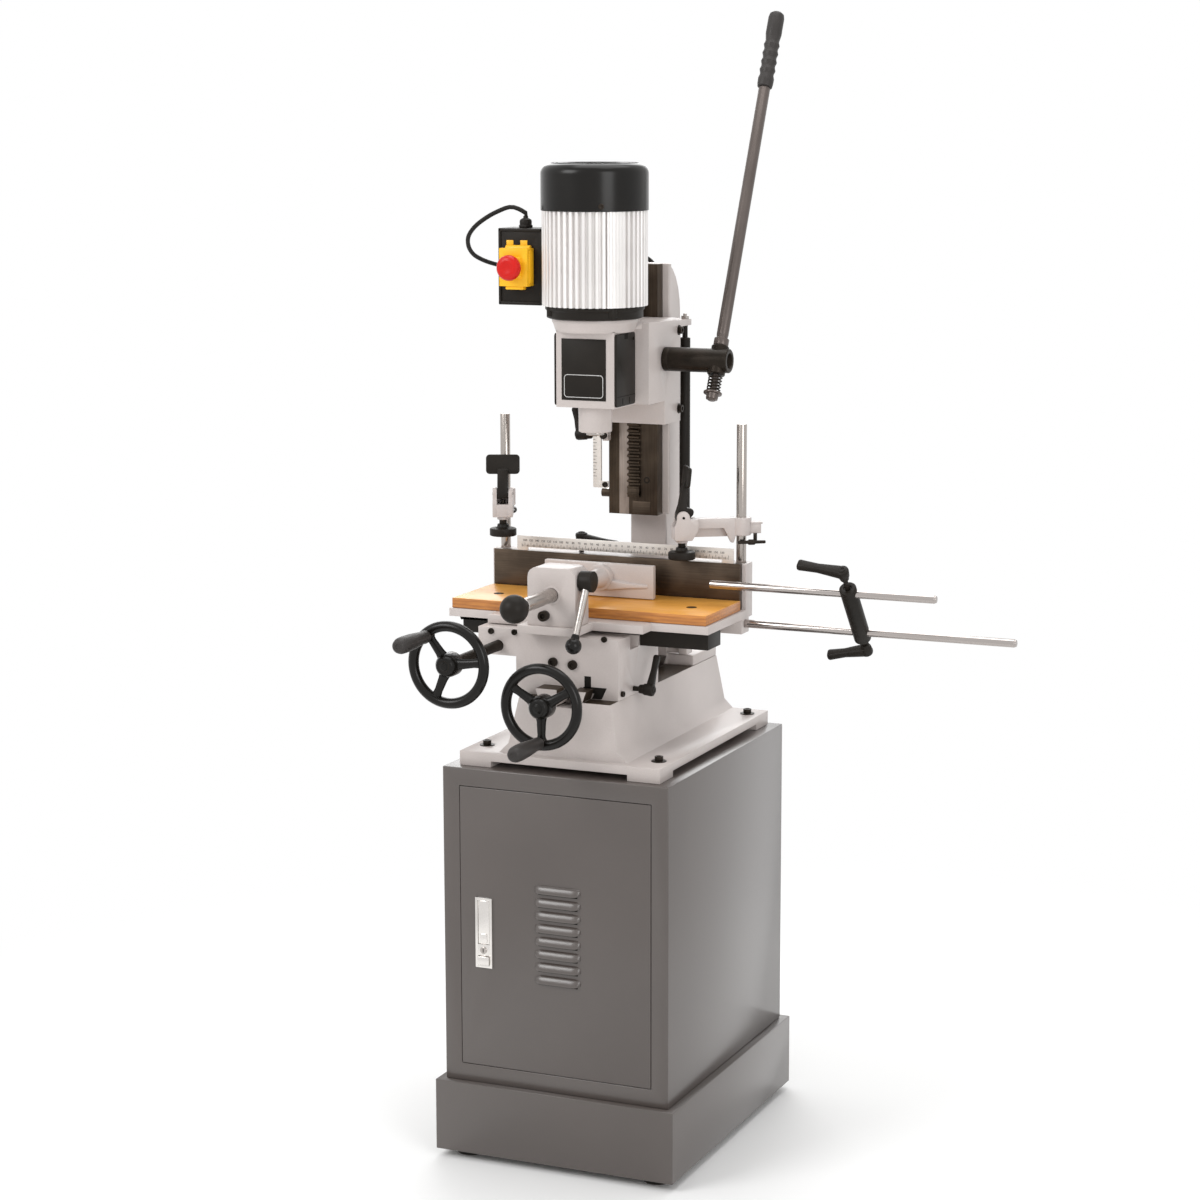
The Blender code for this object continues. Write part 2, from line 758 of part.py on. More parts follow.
def rack_outline(module, teeth, start, root_depth):
    """A rack as pairs of (place along it, height above its pitch line), teeth pointing up."""
    pitch = math.pi * module
    outline = [(start, -root_depth)]
    for tooth in range(teeth):
        middle = start + pitch * (tooth + 0.5)
        for reach, half in tooth_flank(module):
            outline.append((middle - half, reach))
        for reach, half in reversed(tooth_flank(module)):
            outline.append((middle + half, reach))
    outline.append((start + pitch * teeth, -root_depth))
    return outline


def ratchet_lever(name, seat, away, radial, reach, stud):
    """A clamping lever: stud, hub, cap and one arm, turning about the line away from its seat."""
    seat, away, radial = Vector(seat), Vector(away).normalized(), Vector(radial).normalized()
    profile = [
        (-stud, LOCK_STUD_RADIUS), (GAP, LOCK_STUD_RADIUS), (GAP, LOCK_HUB_RADIUS),
        (LOCK_HUB_LENGTH, LOCK_HUB_RADIUS), (LOCK_HUB_LENGTH, LOCK_CAP_RADIUS),
        (LOCK_HUB_LENGTH + LOCK_CAP_HEIGHT, LOCK_CAP_RADIUS),
    ]
    hub = turned(profile, seat, away, SMALL_SIDES)
    foot = seat + away * (LOCK_HUB_LENGTH - LOCK_ARM_END_RADIUS)
    tip = foot + radial * reach + away * LOCK_ARM_RISE
    length = (tip - foot).length
    arm_profile = [(0, LOCK_ARM_RADIUS), (length - LOCK_ARM_END_RADIUS, LOCK_ARM_END_RADIUS)]
    arm_profile.append((length, LOCK_ARM_RADIUS))
    return piece(name, united(hub, turned(arm_profile, foot, tip - foot, SMALL_SIDES)), "black_plastic",
        seat)


def handwheel(name, centre, shaft_radius, grip_angle):
    """A spoked handwheel facing -Y, with the fixed pin that its grip turns on."""
    centre = Vector(centre)
    orbit = WHEEL_RADIUS - WHEEL_RIM_RADIUS
    rim_profile = []
    for step in range(SMALL_SIDES // 2):
        angle = math.tau * step / (SMALL_SIDES // 2)
        rim_profile.append((WHEEL_RIM_RADIUS * math.sin(angle), orbit + WHEEL_RIM_RADIUS * math.cos(angle)))
    rim = turned(rim_profile, centre, (0, -1, 0), ROUND_SIDES, closed=True)
    back = centre + Vector((0, WHEEL_HUB_LENGTH / 2, 0))
    front = centre - Vector((0, WHEEL_HUB_LENGTH / 2, 0))
    parts = [sleeve(back, front, WHEEL_HUB_RADIUS, shaft_radius + GAP)]
    for spoke in range(WHEEL_SPOKES):
        angle = grip_angle + math.tau * spoke / WHEEL_SPOKES
        ray = Vector((math.cos(angle), 0, math.sin(angle)))
        parts.append(rod(centre + ray * (WHEEL_HUB_RADIUS - SINK), centre + ray * orbit, WHEEL_SPOKE_RADIUS,
            8))
    pin_foot = centre + Vector((math.cos(grip_angle), 0, math.sin(grip_angle))) * GRIP_ORBIT
    pin_end = pin_foot - Vector((0, GRIP_STAND + GRIP_LENGTH, 0))
    parts.append(rod(pin_foot, pin_end, GRIP_PIN_RADIUS, 8))
    return piece(name, united(rim, *parts), "black_plastic", centre)


def wheel_grip(name, centre, grip_angle):
    """A turned grip that spins on its wheel's pin."""
    ray = Vector((math.cos(grip_angle), 0, math.sin(grip_angle)))
    foot = Vector(centre) + ray * GRIP_ORBIT - Vector((0, GRIP_STAND, 0))
    bore = GRIP_PIN_RADIUS + GAP
    profile = [(share * GRIP_LENGTH, width * GRIP_RADIUS) for share, width in WHEEL_GRIP_SHARES]
    profile = [(0, bore)] + profile + [(GRIP_LENGTH, bore)]
    return piece(name, turned(profile, foot, (0, -1, 0), SMALL_SIDES, closed=True), "grip_grey", foot)


def make_cabinet():
    """Plinth with its feet, cabinet shell, door and the door's latch."""
    half, wall = PLINTH_WIDTH / 2, SHEET
    plinth = slab((-half, half), (plinth_front, PLINTH_BACK), (0, PLINTH_HEIGHT))
    inside_x = (-half + wall, half - wall)
    inside_y = (plinth_front + wall, PLINTH_BACK - wall)
    hollow = slab(inside_x, inside_y, (wall, PLINTH_HEIGHT - wall))
    mouth_x = (-half + PLINTH_FLANGE, half - PLINTH_FLANGE)
    mouth_y = (plinth_front + PLINTH_FLANGE, PLINTH_BACK - PLINTH_FLANGE)
    mouth = slab(mouth_x, mouth_y, (PLINTH_HEIGHT - wall - OVERRUN, PLINTH_HEIGHT + OVERRUN))
    plinth = carved(plinth, hollow, mouth)
    feet = []
    for x in (-half + FOOT_INSET, half - FOOT_INSET):
        for y in (plinth_front + FOOT_INSET, PLINTH_BACK - FOOT_INSET):
            feet.append(rod((x, y, -FOOT_HEIGHT), (x, y, SINK), FOOT_RADIUS, ROUND_SIDES))
    piece("plinth", united(plinth, *feet), "cabinet_paint")

    wide = cabinet_half_width
    shell = slab((-wide, wide), (cabinet_front, cabinet_back), (cabinet_bottom, cabinet_top))
    inside = slab((-wide + wall, wide - wall), (cabinet_front + wall, cabinet_back - wall),
                  (cabinet_bottom + wall, cabinet_top - wall))
    doorway = slab((door_left - DOOR_CLEARANCE, door_right + DOOR_CLEARANCE),
                   (cabinet_front - OVERRUN, cabinet_front + wall + OVERRUN),
                   (door_bottom - DOOR_CLEARANCE, door_top + DOOR_CLEARANCE))
    piece("cabinet_shell", carved(shell, inside, doorway), "cabinet_paint")

    door = slab((door_left, door_right), (cabinet_front, cabinet_front + DOOR_DEPTH),
        (door_bottom, door_top))
    tray = slab((door_left + wall, door_right - wall),
        (cabinet_front + wall, cabinet_front + DOOR_DEPTH + OVERRUN),
                (door_bottom + wall, door_top - wall))
    door = carved(door, tray)
    latch_right = latch_left + LATCH_WIDTH
    latch_bottom = latch_top - LATCH_HEIGHT
    plate_front = cabinet_front - LATCH_THICKNESS
    paddle_top = latch_top - LATCH_BORDER
    paddle_bottom = paddle_top - PADDLE_HEIGHT
    button_bottom = latch_bottom + LATCH_BORDER
    button_top = button_bottom + LATCH_WIDTH / 2
    paddle_x = (latch_left + LATCH_BORDER, latch_right - LATCH_BORDER)
    plate = slab((latch_left, latch_right), (plate_front, cabinet_front + SINK), (latch_bottom, latch_top))
    through_y = (plate_front - OVERRUN, cabinet_front + wall + OVERRUN)
    recess = slab(paddle_x, through_y, (paddle_bottom, paddle_top))
    button_hole = slab(paddle_x, through_y, (button_bottom, button_top))
    piece("cabinet_door", carved(united(door, plate), recess, button_hole), "cabinet_paint",
          (door_right, cabinet_front, door_bottom))
    close_x = (paddle_x[0] + GAP, paddle_x[1] - GAP)
    paddle_back = plate_front + PADDLE_THICKNESS
    paddle = slab(close_x, (plate_front, paddle_back), (paddle_bottom + GAP, paddle_top - GAP))
    piece("latch_handle", paddle, "chrome", (latch_left, plate_front, paddle_top - GAP))
    button = slab(close_x, (plate_front - BUTTON_TRAVEL, cabinet_front + wall),
        (button_bottom + GAP, button_top - GAP))
    piece("latch_button", button, "chrome", (latch_left, plate_front, button_bottom))


def rectangle_ring(half_width, front, back, level):
    """Four corners at one height."""
    return [(-half_width, front, level), (half_width, front, level), (half_width, back, level),
        (-half_width, back, level)]


def make_base():
    """Base casting with its dovetail ridge, screw groove and nut."""
    fillet_top = base_bottom + BASE_FLANGE + BASE_FILLET
    foot_half = PEDESTAL_HALF_WIDTH + PEDESTAL_SPREAD
    foot_front = -PEDESTAL_FRONT - PEDESTAL_SPREAD / 2
    body = lofted([
        rectangle_ring(BASE_HALF_WIDTH, -BASE_FRONT, BASE_BACK, base_bottom),
        rectangle_ring(BASE_HALF_WIDTH, -BASE_FRONT, BASE_BACK, base_bottom + BASE_FLANGE),
        rectangle_ring(foot_half + BASE_FILLET, foot_front, PEDESTAL_BACK, base_bottom + BASE_FLANGE + GAP),
        rectangle_ring(foot_half, foot_front, PEDESTAL_BACK, fillet_top),
        rectangle_ring(PEDESTAL_HALF_WIDTH, -PEDESTAL_FRONT, PEDESTAL_BACK, base_top),
    ])
    middle, bottom, top = -RIDGE_OFFSET, RIDGE_HALF_WIDTH - RIDGE_OFFSET, RIDGE_HALF_WIDTH
    outline = [
        (middle - bottom, base_top - SINK), (middle + bottom, base_top - SINK), (middle + bottom, base_top),
        (middle + top, ridge_top), (middle - top, ridge_top), (middle - bottom, base_top),
    ]
    ridge = prism(outline, (-PEDESTAL_FRONT, RIDGE_BACK), "y")
    body = united(body, ridge)
    groove_bottom = ridge_top - GROOVE_DEPTH
    groove_x = (-GROOVE_HALF_WIDTH, GROOVE_HALF_WIDTH)
    groove_z = (groove_bottom, ridge_top + OVERRUN)
    nut_back = -NUT_FRONT + NUT_LENGTH
    front_groove = slab(groove_x, (-PEDESTAL_FRONT - OVERRUN - PEDESTAL_SPREAD, -NUT_FRONT), groove_z)
    back_groove = slab(groove_x, (nut_back, RIDGE_BACK + OVERRUN), groove_z)
    nut_hole = rod((0, -NUT_FRONT - OVERRUN, screw_z), (0, nut_back + OVERRUN, screw_z), SCREW_RADIUS + GAP,
        ROUND_SIDES)
    arch_z = (base_bottom - OVERRUN, base_bottom + BASE_ARCH)
    arch_x = BASE_HALF_WIDTH - BASE_PAD
    long_arch = slab((-arch_x, arch_x), (-BASE_FRONT - OVERRUN, BASE_BACK + OVERRUN), arch_z)
    cross_arch = slab((-BASE_HALF_WIDTH - OVERRUN, BASE_HALF_WIDTH + OVERRUN),
                      (-BASE_FRONT + BASE_PAD, BASE_BACK - BASE_PAD), arch_z)
    core = PEDESTAL_HALF_WIDTH - BASE_WALL
    cavity = slab((-core, core), (-PEDESTAL_FRONT + BASE_WALL, PEDESTAL_BACK - BASE_WALL),
                  (base_bottom - OVERRUN, groove_bottom - BASE_WALL))
    body = carved(body, front_groove, back_groove, nut_hole, long_arch, cross_arch, cavity)
    piece("base_casting", body, "grey_paint")


def make_column():
    """Column casting, its way with the rack, and the gas spring's rod."""
    crown_from = web_front + WEB_TOP_FLAT
    crown = arc((crown_from, way_top - WEB_CROWN), (WEB_BACK - crown_from, WEB_CROWN), math.pi / 2, 0, 6)
    outline = [(WEB_SETBACK, column_bottom), (WEB_SETBACK, way_bottom), (web_front - SINK, way_bottom)]
    outline += [(web_front - SINK, way_top)] + crown + [(WEB_BACK, column_bottom)]
    web = prism(outline, (-WEB_HALF_WIDTH, WEB_HALF_WIDTH), "x")
    flange = slab((-FLANGE_HALF_WIDTH, FLANGE_HALF_WIDTH), (flange_front, web_front), (way_bottom, way_top))
    foot = slab((-COLUMN_FOOT_HALF_WIDTH, COLUMN_FOOT_HALF_WIDTH), (COLUMN_FOOT_FRONT, COLUMN_FOOT_BACK),
                (column_bottom, column_bottom + COLUMN_FOOT_HEIGHT))
    lug_bottom = column_bottom + GAS_LUG_RISE
    lug_top = lug_bottom + GAS_LUG_HEIGHT
    lug = slab((WEB_HALF_WIDTH - SINK, GAS_X + GAS_LUG_WIDTH / 2),
               (WEB_SETBACK + SINK, WEB_SETBACK + GAS_LUG_WIDTH), (lug_bottom, lug_top))
    shelf = slab((GAS_X - GAS_LUG_WIDTH / 2, GAS_X + GAS_LUG_WIDTH / 2),
                 (GAS_Y - GAS_LUG_WIDTH / 2, WEB_SETBACK + GAS_LUG_WIDTH / 2), (lug_bottom, lug_top))
    piece("column_casting", united(web, flange, foot, lug, shelf), "grey_paint")

    plate = slab((-WAY_HALF_WIDTH, WAY_HALF_WIDTH), (0, WAY_THICKNESS), (way_bottom, way_top))
    proud = RACK_PITCH_PROUD + SINK
    teeth = rack_outline(RACK_MODULE, RACK_TEETH, rack_bottom, proud)
    outline = [(-RACK_PITCH_PROUD - height, along) for along, height in teeth]
    rack = prism(outline, (RACK_LEFT, RACK_LEFT + RACK_WIDTH), "x")
    pin_z = way_bottom + STOP_PIN_RISE
    pin_y = WAY_THICKNESS / 2 - SINK
    pin = rod((-WAY_HALF_WIDTH + SINK, pin_y, pin_z), (-WAY_HALF_WIDTH - STOP_PIN_LENGTH, pin_y, pin_z),
        STOP_PIN_RADIUS)
    piece("column_way", united(plate, rack, pin), "ground_steel")

    rod_foot = lug_top + GAP
    profile = [(0, GAS_TUBE_RADIUS), (GAS_EYE_HEIGHT, GAS_TUBE_RADIUS),
        (GAS_EYE_HEIGHT + SINK, GAS_ROD_RADIUS)]
    profile.append((GAS_ROD_LENGTH, GAS_ROD_RADIUS))
    piece("gas_spring_rod", turned(profile, (GAS_X, GAS_Y, rod_foot), (0, 0, 1), SMALL_SIDES), "chrome")


def make_headstock():
    """Headstock casting, bored for the spindle, the feed pinion, the way and the depth scale."""
    wide, rear = HEAD_HALF_WIDTH, HEAD_REAR_HALF_WIDTH
    rear_top = head_bottom + HEAD_REAR_HEIGHT
    front = slab((-wide, wide), (HEAD_FRONT, HEAD_JOINT + SINK), (head_bottom, head_top))
    block = slab((-rear, rear), (HEAD_JOINT, HEAD_BACK), (head_bottom, rear_top))
    lower = slab((-rear, rear), (SLIDE_BLOCK_FRONT, HEAD_BACK), (slide_block_bottom, head_bottom + SINK))
    axis = Vector((0, SPINDLE_Y, 0))
    nose = turned([(slide_block_bottom, NOSE_RADIUS), (head_bottom + SINK, NOSE_RADIUS)], axis, (0, 0, 1))
    seat = turned([(head_top - SINK, SEAT_RADIUS), (seat_top, SEAT_RADIUS)], axis, (0, 0, 1),
        ROUND_SIDES * 2)
    gas_lug = slab((rear - GAS_LUG_WIDTH, rear), (HEAD_BACK - SINK, GAS_Y + GAS_TUBE_RADIUS),
                   (rear_top - GAS_LUG_WIDTH, rear_top))
    lug_left = SCALE_LEFT + SCALE_WIDTH + SINK
    depth_lug = slab((lug_left, DEPTH_LUG_RIGHT), (SCALE_FRONT + SCALE_THICKNESS + GAP, DEPTH_LUG_BACK),
                     (slide_block_bottom - DEPTH_LUG_DROP, slide_block_bottom + SINK))
    body = united(front, block, lower, nose, seat, gas_lug, depth_lug)

    low, high = slide_block_bottom - DEPTH_LUG_DROP - OVERRUN, rear_top + OVERRUN
    way_slot = slab((-WAY_HALF_WIDTH - GAP, WAY_HALF_WIDTH + GAP), (-GAP, HEAD_BACK + OVERRUN), (low, high))
    rack_y = -RACK_PITCH_PROUD - TOOTH_TIP_SHARE * RACK_MODULE - GAP
    rack_slot = slab((RACK_LEFT - GAP, RACK_LEFT + RACK_WIDTH + GAP), (rack_y, OVERRUN), (low, high))
    gear_left = RACK_LEFT + SINK - GAP
    gear_right = gear_left + PINION_WIDTH + 2 * GAP
    tip_radius = pinion_radius + TOOTH_TIP_SHARE * RACK_MODULE + PINION_CLEARANCE
    gear_room = rod((gear_left, pinion_y, pinion_z), (gear_right, pinion_y, pinion_z), tip_radius,
        ROUND_SIDES * 2)
    shaft_left = RACK_LEFT - PINION_TAIL - GAP
    shaft_bore = rod((shaft_left, pinion_y, pinion_z), (rear + OVERRUN, pinion_y, pinion_z),
                     PINION_SHAFT_RADIUS + GAP, ROUND_SIDES)
    chuck_room = slab((-wide - OVERRUN, wide + OVERRUN), (HEAD_FRONT + HEAD_WALL, HEAD_JOINT - HEAD_WALL),
                      (head_bottom + HEAD_WALL, head_top - HEAD_WALL))
    nose_bore = rod((0, SPINDLE_Y, slide_block_bottom - OVERRUN),
        (0, SPINDLE_Y, head_bottom + HEAD_WALL + OVERRUN),
                    NOSE_BORE_RADIUS, ROUND_SIDES)
    top_bore = rod((0, SPINDLE_Y, head_top - HEAD_WALL - OVERRUN), (0, SPINDLE_Y, seat_top + OVERRUN),
                   SPINDLE_BORE_RADIUS, ROUND_SIDES)
    scale_slot = slab((SCALE_LEFT - GAP, SCALE_LEFT + SCALE_WIDTH + GAP),
                      (SCALE_FRONT - GAP, SCALE_FRONT + SCALE_THICKNESS + GAP),
                      (slide_block_bottom - OVERRUN, high))
    lock_z = slide_block_bottom - DEPTH_LOCK_DROP
    lock_hole = rod((lug_left - OVERRUN, DEPTH_LOCK_Y, lock_z),
        (DEPTH_LUG_RIGHT + OVERRUN, DEPTH_LOCK_Y, lock_z),
                    LOCK_STUD_RADIUS + GAP)
    body = carved(body, way_slot, rack_slot, gear_room, shaft_bore, chuck_room, nose_bore, top_bore,
        scale_slot, lock_hole)
    piece("headstock", body, "grey_paint")


def make_chuck_doors():
    """The two flap doors over the chuck, hinged along their lower edge."""
    bottom = head_bottom - CHUCK_DOOR_DROP
    top = bottom + CHUCK_DOOR_HEIGHT
    front, back = HEAD_FRONT, HEAD_JOINT - CHUCK_DOOR_SIDE_GAP
    middle = (front + back) / 2
    notch = CHUCK_DOOR_NOTCH
    outline = [
        (front, bottom), (back, bottom), (back, top), (middle + notch, top),
        (middle + notch / 2, top - notch / 2),
        (middle - notch / 2, top - notch / 2), (middle - notch, top), (front, top),
    ]
    pivot_x = HEAD_HALF_WIDTH + GAP + CHUCK_DOOR_THICKNESS / 2
    pivot_z = bottom + CHUCK_DOOR_THICKNESS / 2
    for name, side in (("chuck_door_right", 1), ("chuck_door_left", -1)):
        inner = side * (HEAD_HALF_WIDTH + GAP)
        door = prism(outline, (inner, inner + side * CHUCK_DOOR_THICKNESS), "x")
        piece(name, door, "black_plastic", (side * pivot_x, front, pivot_z))


def make_motor():
    """Motor flange, finned housing, fan cover, and the spindle that turns inside them."""
    axis = Vector((0, SPINDLE_Y, 0))
    up = (0, 0, 1)
    foot = axis + Vector((0, 0, flange_bottom))
    head = foot + Vector((0, 0, MOTOR_FLANGE_HEIGHT))
    bearing = SPINDLE_RADIUS + GAP
    piece("motor_flange", sleeve(foot, head, MOTOR_FLANGE_RADIUS, bearing, ROUND_SIDES * 2), "black_plastic")

    outline = []
    pitch = math.tau / MOTOR_FINS
    half = pitch * MOTOR_FIN_SHARE / 2
    for fin in range(MOTOR_FINS):
        middle = pitch * fin
        for angle, radius in ((middle - half, MOTOR_CORE_RADIUS), (middle - half, MOTOR_RADIUS),
                              (middle + half, MOTOR_RADIUS), (middle + half, MOTOR_CORE_RADIUS)):
            outline.append((radius * math.cos(angle), SPINDLE_Y + radius * math.sin(angle)))
    motor_top = motor_bottom + MOTOR_HEIGHT
    fins = prism(outline, (motor_bottom, motor_top), "z")
    bore = turned([(motor_bottom + MOTOR_END_WALL, MOTOR_BORE_RADIUS),
        (motor_top + OVERRUN, MOTOR_BORE_RADIUS)], axis, up)
    shaft_hole = turned([(motor_bottom - OVERRUN, SPINDLE_BORE_RADIUS), (motor_top, SPINDLE_BORE_RADIUS)],
        axis, up)
    piece("motor_housing", carved(fins, bore, shaft_hole), "aluminium")

    cover_top = cover_bottom + COVER_HEIGHT
    inner = COVER_RADIUS - COVER_WALL
    shoulder = arc((cover_top - COVER_SHOULDER, COVER_RADIUS - COVER_SHOULDER),
                   (COVER_SHOULDER, COVER_SHOULDER), math.pi / 2, 0, 4)
    profile = [(cover_top - COVER_WALL, inner - COVER_SHOULDER), (cover_top - COVER_SHOULDER, inner),
               (cover_bottom, inner), (cover_bottom, COVER_RADIUS)] + shoulder
    piece("fan_cover", turned(profile, axis, up, ROUND_SIDES * 2), "black_plastic")

    chuck_bottom = head_bottom + HEAD_WALL + OVERRUN
    rotor_bottom = motor_bottom + MOTOR_END_WALL + OVERRUN
    fan_bottom = cover_bottom + OVERRUN
    profile = [
        (chuck_bottom, CHUCK_RADIUS * CHUCK_END_SHARE), (chuck_bottom + CHUCK_HEIGHT / 3, CHUCK_RADIUS),
        (chuck_bottom + CHUCK_HEIGHT, CHUCK_RADIUS), (chuck_bottom + CHUCK_HEIGHT, SPINDLE_RADIUS),
        (rotor_bottom, SPINDLE_RADIUS), (rotor_bottom, ROTOR_RADIUS),
        (rotor_bottom + ROTOR_HEIGHT, ROTOR_RADIUS),
        (rotor_bottom + ROTOR_HEIGHT, SPINDLE_RADIUS), (fan_bottom, SPINDLE_RADIUS),
        (fan_bottom, FAN_RADIUS),
        (fan_bottom + FAN_HEIGHT, FAN_RADIUS), (fan_bottom + FAN_HEIGHT, SPINDLE_RADIUS),
        (fan_bottom + 2 * FAN_HEIGHT, SPINDLE_RADIUS),
    ]
    piece("spindle", turned(profile, axis, up), "steel", (0, SPINDLE_Y, motor_bottom))


def make_switch():
    """Switch box on the motor's side, its hinged lid, stop button and cable gland."""
    right = -MOTOR_CORE_RADIUS
    back = SWITCH_FRONT + SWITCH_DEPTH
    box = slab((SWITCH_LEFT, right), (SWITCH_FRONT, back), (switch_bottom, switch_top))
    axis = Vector((0, SPINDLE_Y, 0))
    body_room = turned([(switch_bottom - OVERRUN, MOTOR_RADIUS + GAP),
        (switch_top + OVERRUN, MOTOR_RADIUS + GAP)],
                       axis, (0, 0, 1), ROUND_SIDES * 2)
    box = carved(box, body_room)
    stem_hole = rod((stop_x, SWITCH_FRONT - OVERRUN, stop_z), (stop_x, SWITCH_FRONT + STOP_STAND, stop_z),
                    STOP_STEM_RADIUS + GAP, ROUND_SIDES)
    piece("switch_box", carved(box, stem_hole), "black_plastic")

    lid_right = lid_left + LID_WIDTH
    lid_front = lid_back - LID_DEPTH
    wall = LID_WALL
    lid = slab((lid_left, lid_right), (lid_front, lid_back), (lid_bottom, lid_top))
    hollow = slab((lid_left + wall, lid_right - wall), (lid_front + wall, lid_back + OVERRUN),
                  (lid_bottom + wall, lid_top - wall))
    hole = rod((stop_x, lid_front - OVERRUN, stop_z), (stop_x, lid_front + wall + OVERRUN, stop_z),
               STOP_STEM_RADIUS + GAP, ROUND_SIDES)
    knuckle_y = lid_back - LID_KNUCKLE_RADIUS
    knuckle = rod((lid_left + wall, knuckle_y, lid_top), (lid_right - wall, knuckle_y, lid_top),
        LID_KNUCKLE_RADIUS)
    lid = united(carved(lid, hollow, hole), knuckle)
    piece("switch_lid", lid, "yellow", (stop_x, knuckle_y, lid_top))

    cap_back = lid_front - STOP_STAND
    stem_end = lid_back - wall
    profile = [
        (-stem_end, STOP_STEM_RADIUS), (-cap_back, STOP_STEM_RADIUS), (-cap_back, STOP_RADIUS),
        (-cap_back + STOP_CAP / 2, STOP_RADIUS), (-cap_back + STOP_CAP, STOP_RADIUS * STOP_FACE_SHARE),
    ]
    piece("stop_button", turned(profile, (stop_x, 0, stop_z), (0, -1, 0)), "red", (stop_x, cap_back, stop_z))

    gland_foot = switch_top + GAP
    profile = [
        (0, GLAND_RADIUS), (GLAND_HEIGHT * GLAND_NUT_SHARE, GLAND_RADIUS),
        (GLAND_HEIGHT, GLAND_RADIUS * GLAND_END_SHARE),
    ]
    piece("cable_gland", turned(profile, (GLAND_X, GLAND_Y, gland_foot), (0, 0, 1)), "black_plastic")


def make_gas_tube():
    """The gas spring's tube, bored from below and hung from the headstock's lug."""
    bottom = base_top + GAS_TUBE_BOTTOM_RISE
    lug_bottom = head_bottom + HEAD_REAR_HEIGHT - GAS_LUG_WIDTH
    top = lug_bottom - GAP
    bore = GAS_ROD_RADIUS + GAP
    profile = [
        (bottom + GAS_BORE_DEPTH, bore), (bottom, bore), (bottom, GAS_TUBE_RADIUS),
        (bottom + GAS_TUBE_LENGTH, GAS_TUBE_RADIUS), (bottom + GAS_TUBE_LENGTH + SINK, GAS_ROD_RADIUS),
        (top, GAS_ROD_RADIUS),
    ]
    piece("gas_spring_tube", turned(profile, (GAS_X, GAS_Y, 0), (0, 0, 1), SMALL_SIDES), "black_plastic")


def make_depth_stop():
    """Depth scale with its foot, and the lever that clamps it to the headstock's lug."""
    bottom = slide_block_bottom - SCALE_BELOW_HEAD
    left, right = SCALE_LEFT, SCALE_LEFT + SCALE_WIDTH
    y = (SCALE_FRONT, SCALE_FRONT + SCALE_THICKNESS)
    bar = slab((left, right), y, (bottom, slide_block_bottom + SCALE_ABOVE))
    foot = slab((left, right + SCALE_FOOT_REACH), y, (bottom, bottom + SCALE_FOOT_HEIGHT))
    piece("depth_scale", united(bar, foot), "steel", (left, SCALE_FRONT, bottom))
    seat = (left - SINK, DEPTH_LOCK_Y, slide_block_bottom - DEPTH_LOCK_DROP)
    ratchet_lever("depth_lock_lever", seat, (-1, 0, 0), (0, 0, 1), DEPTH_LOCK_REACH, DEPTH_LOCK_STUD)


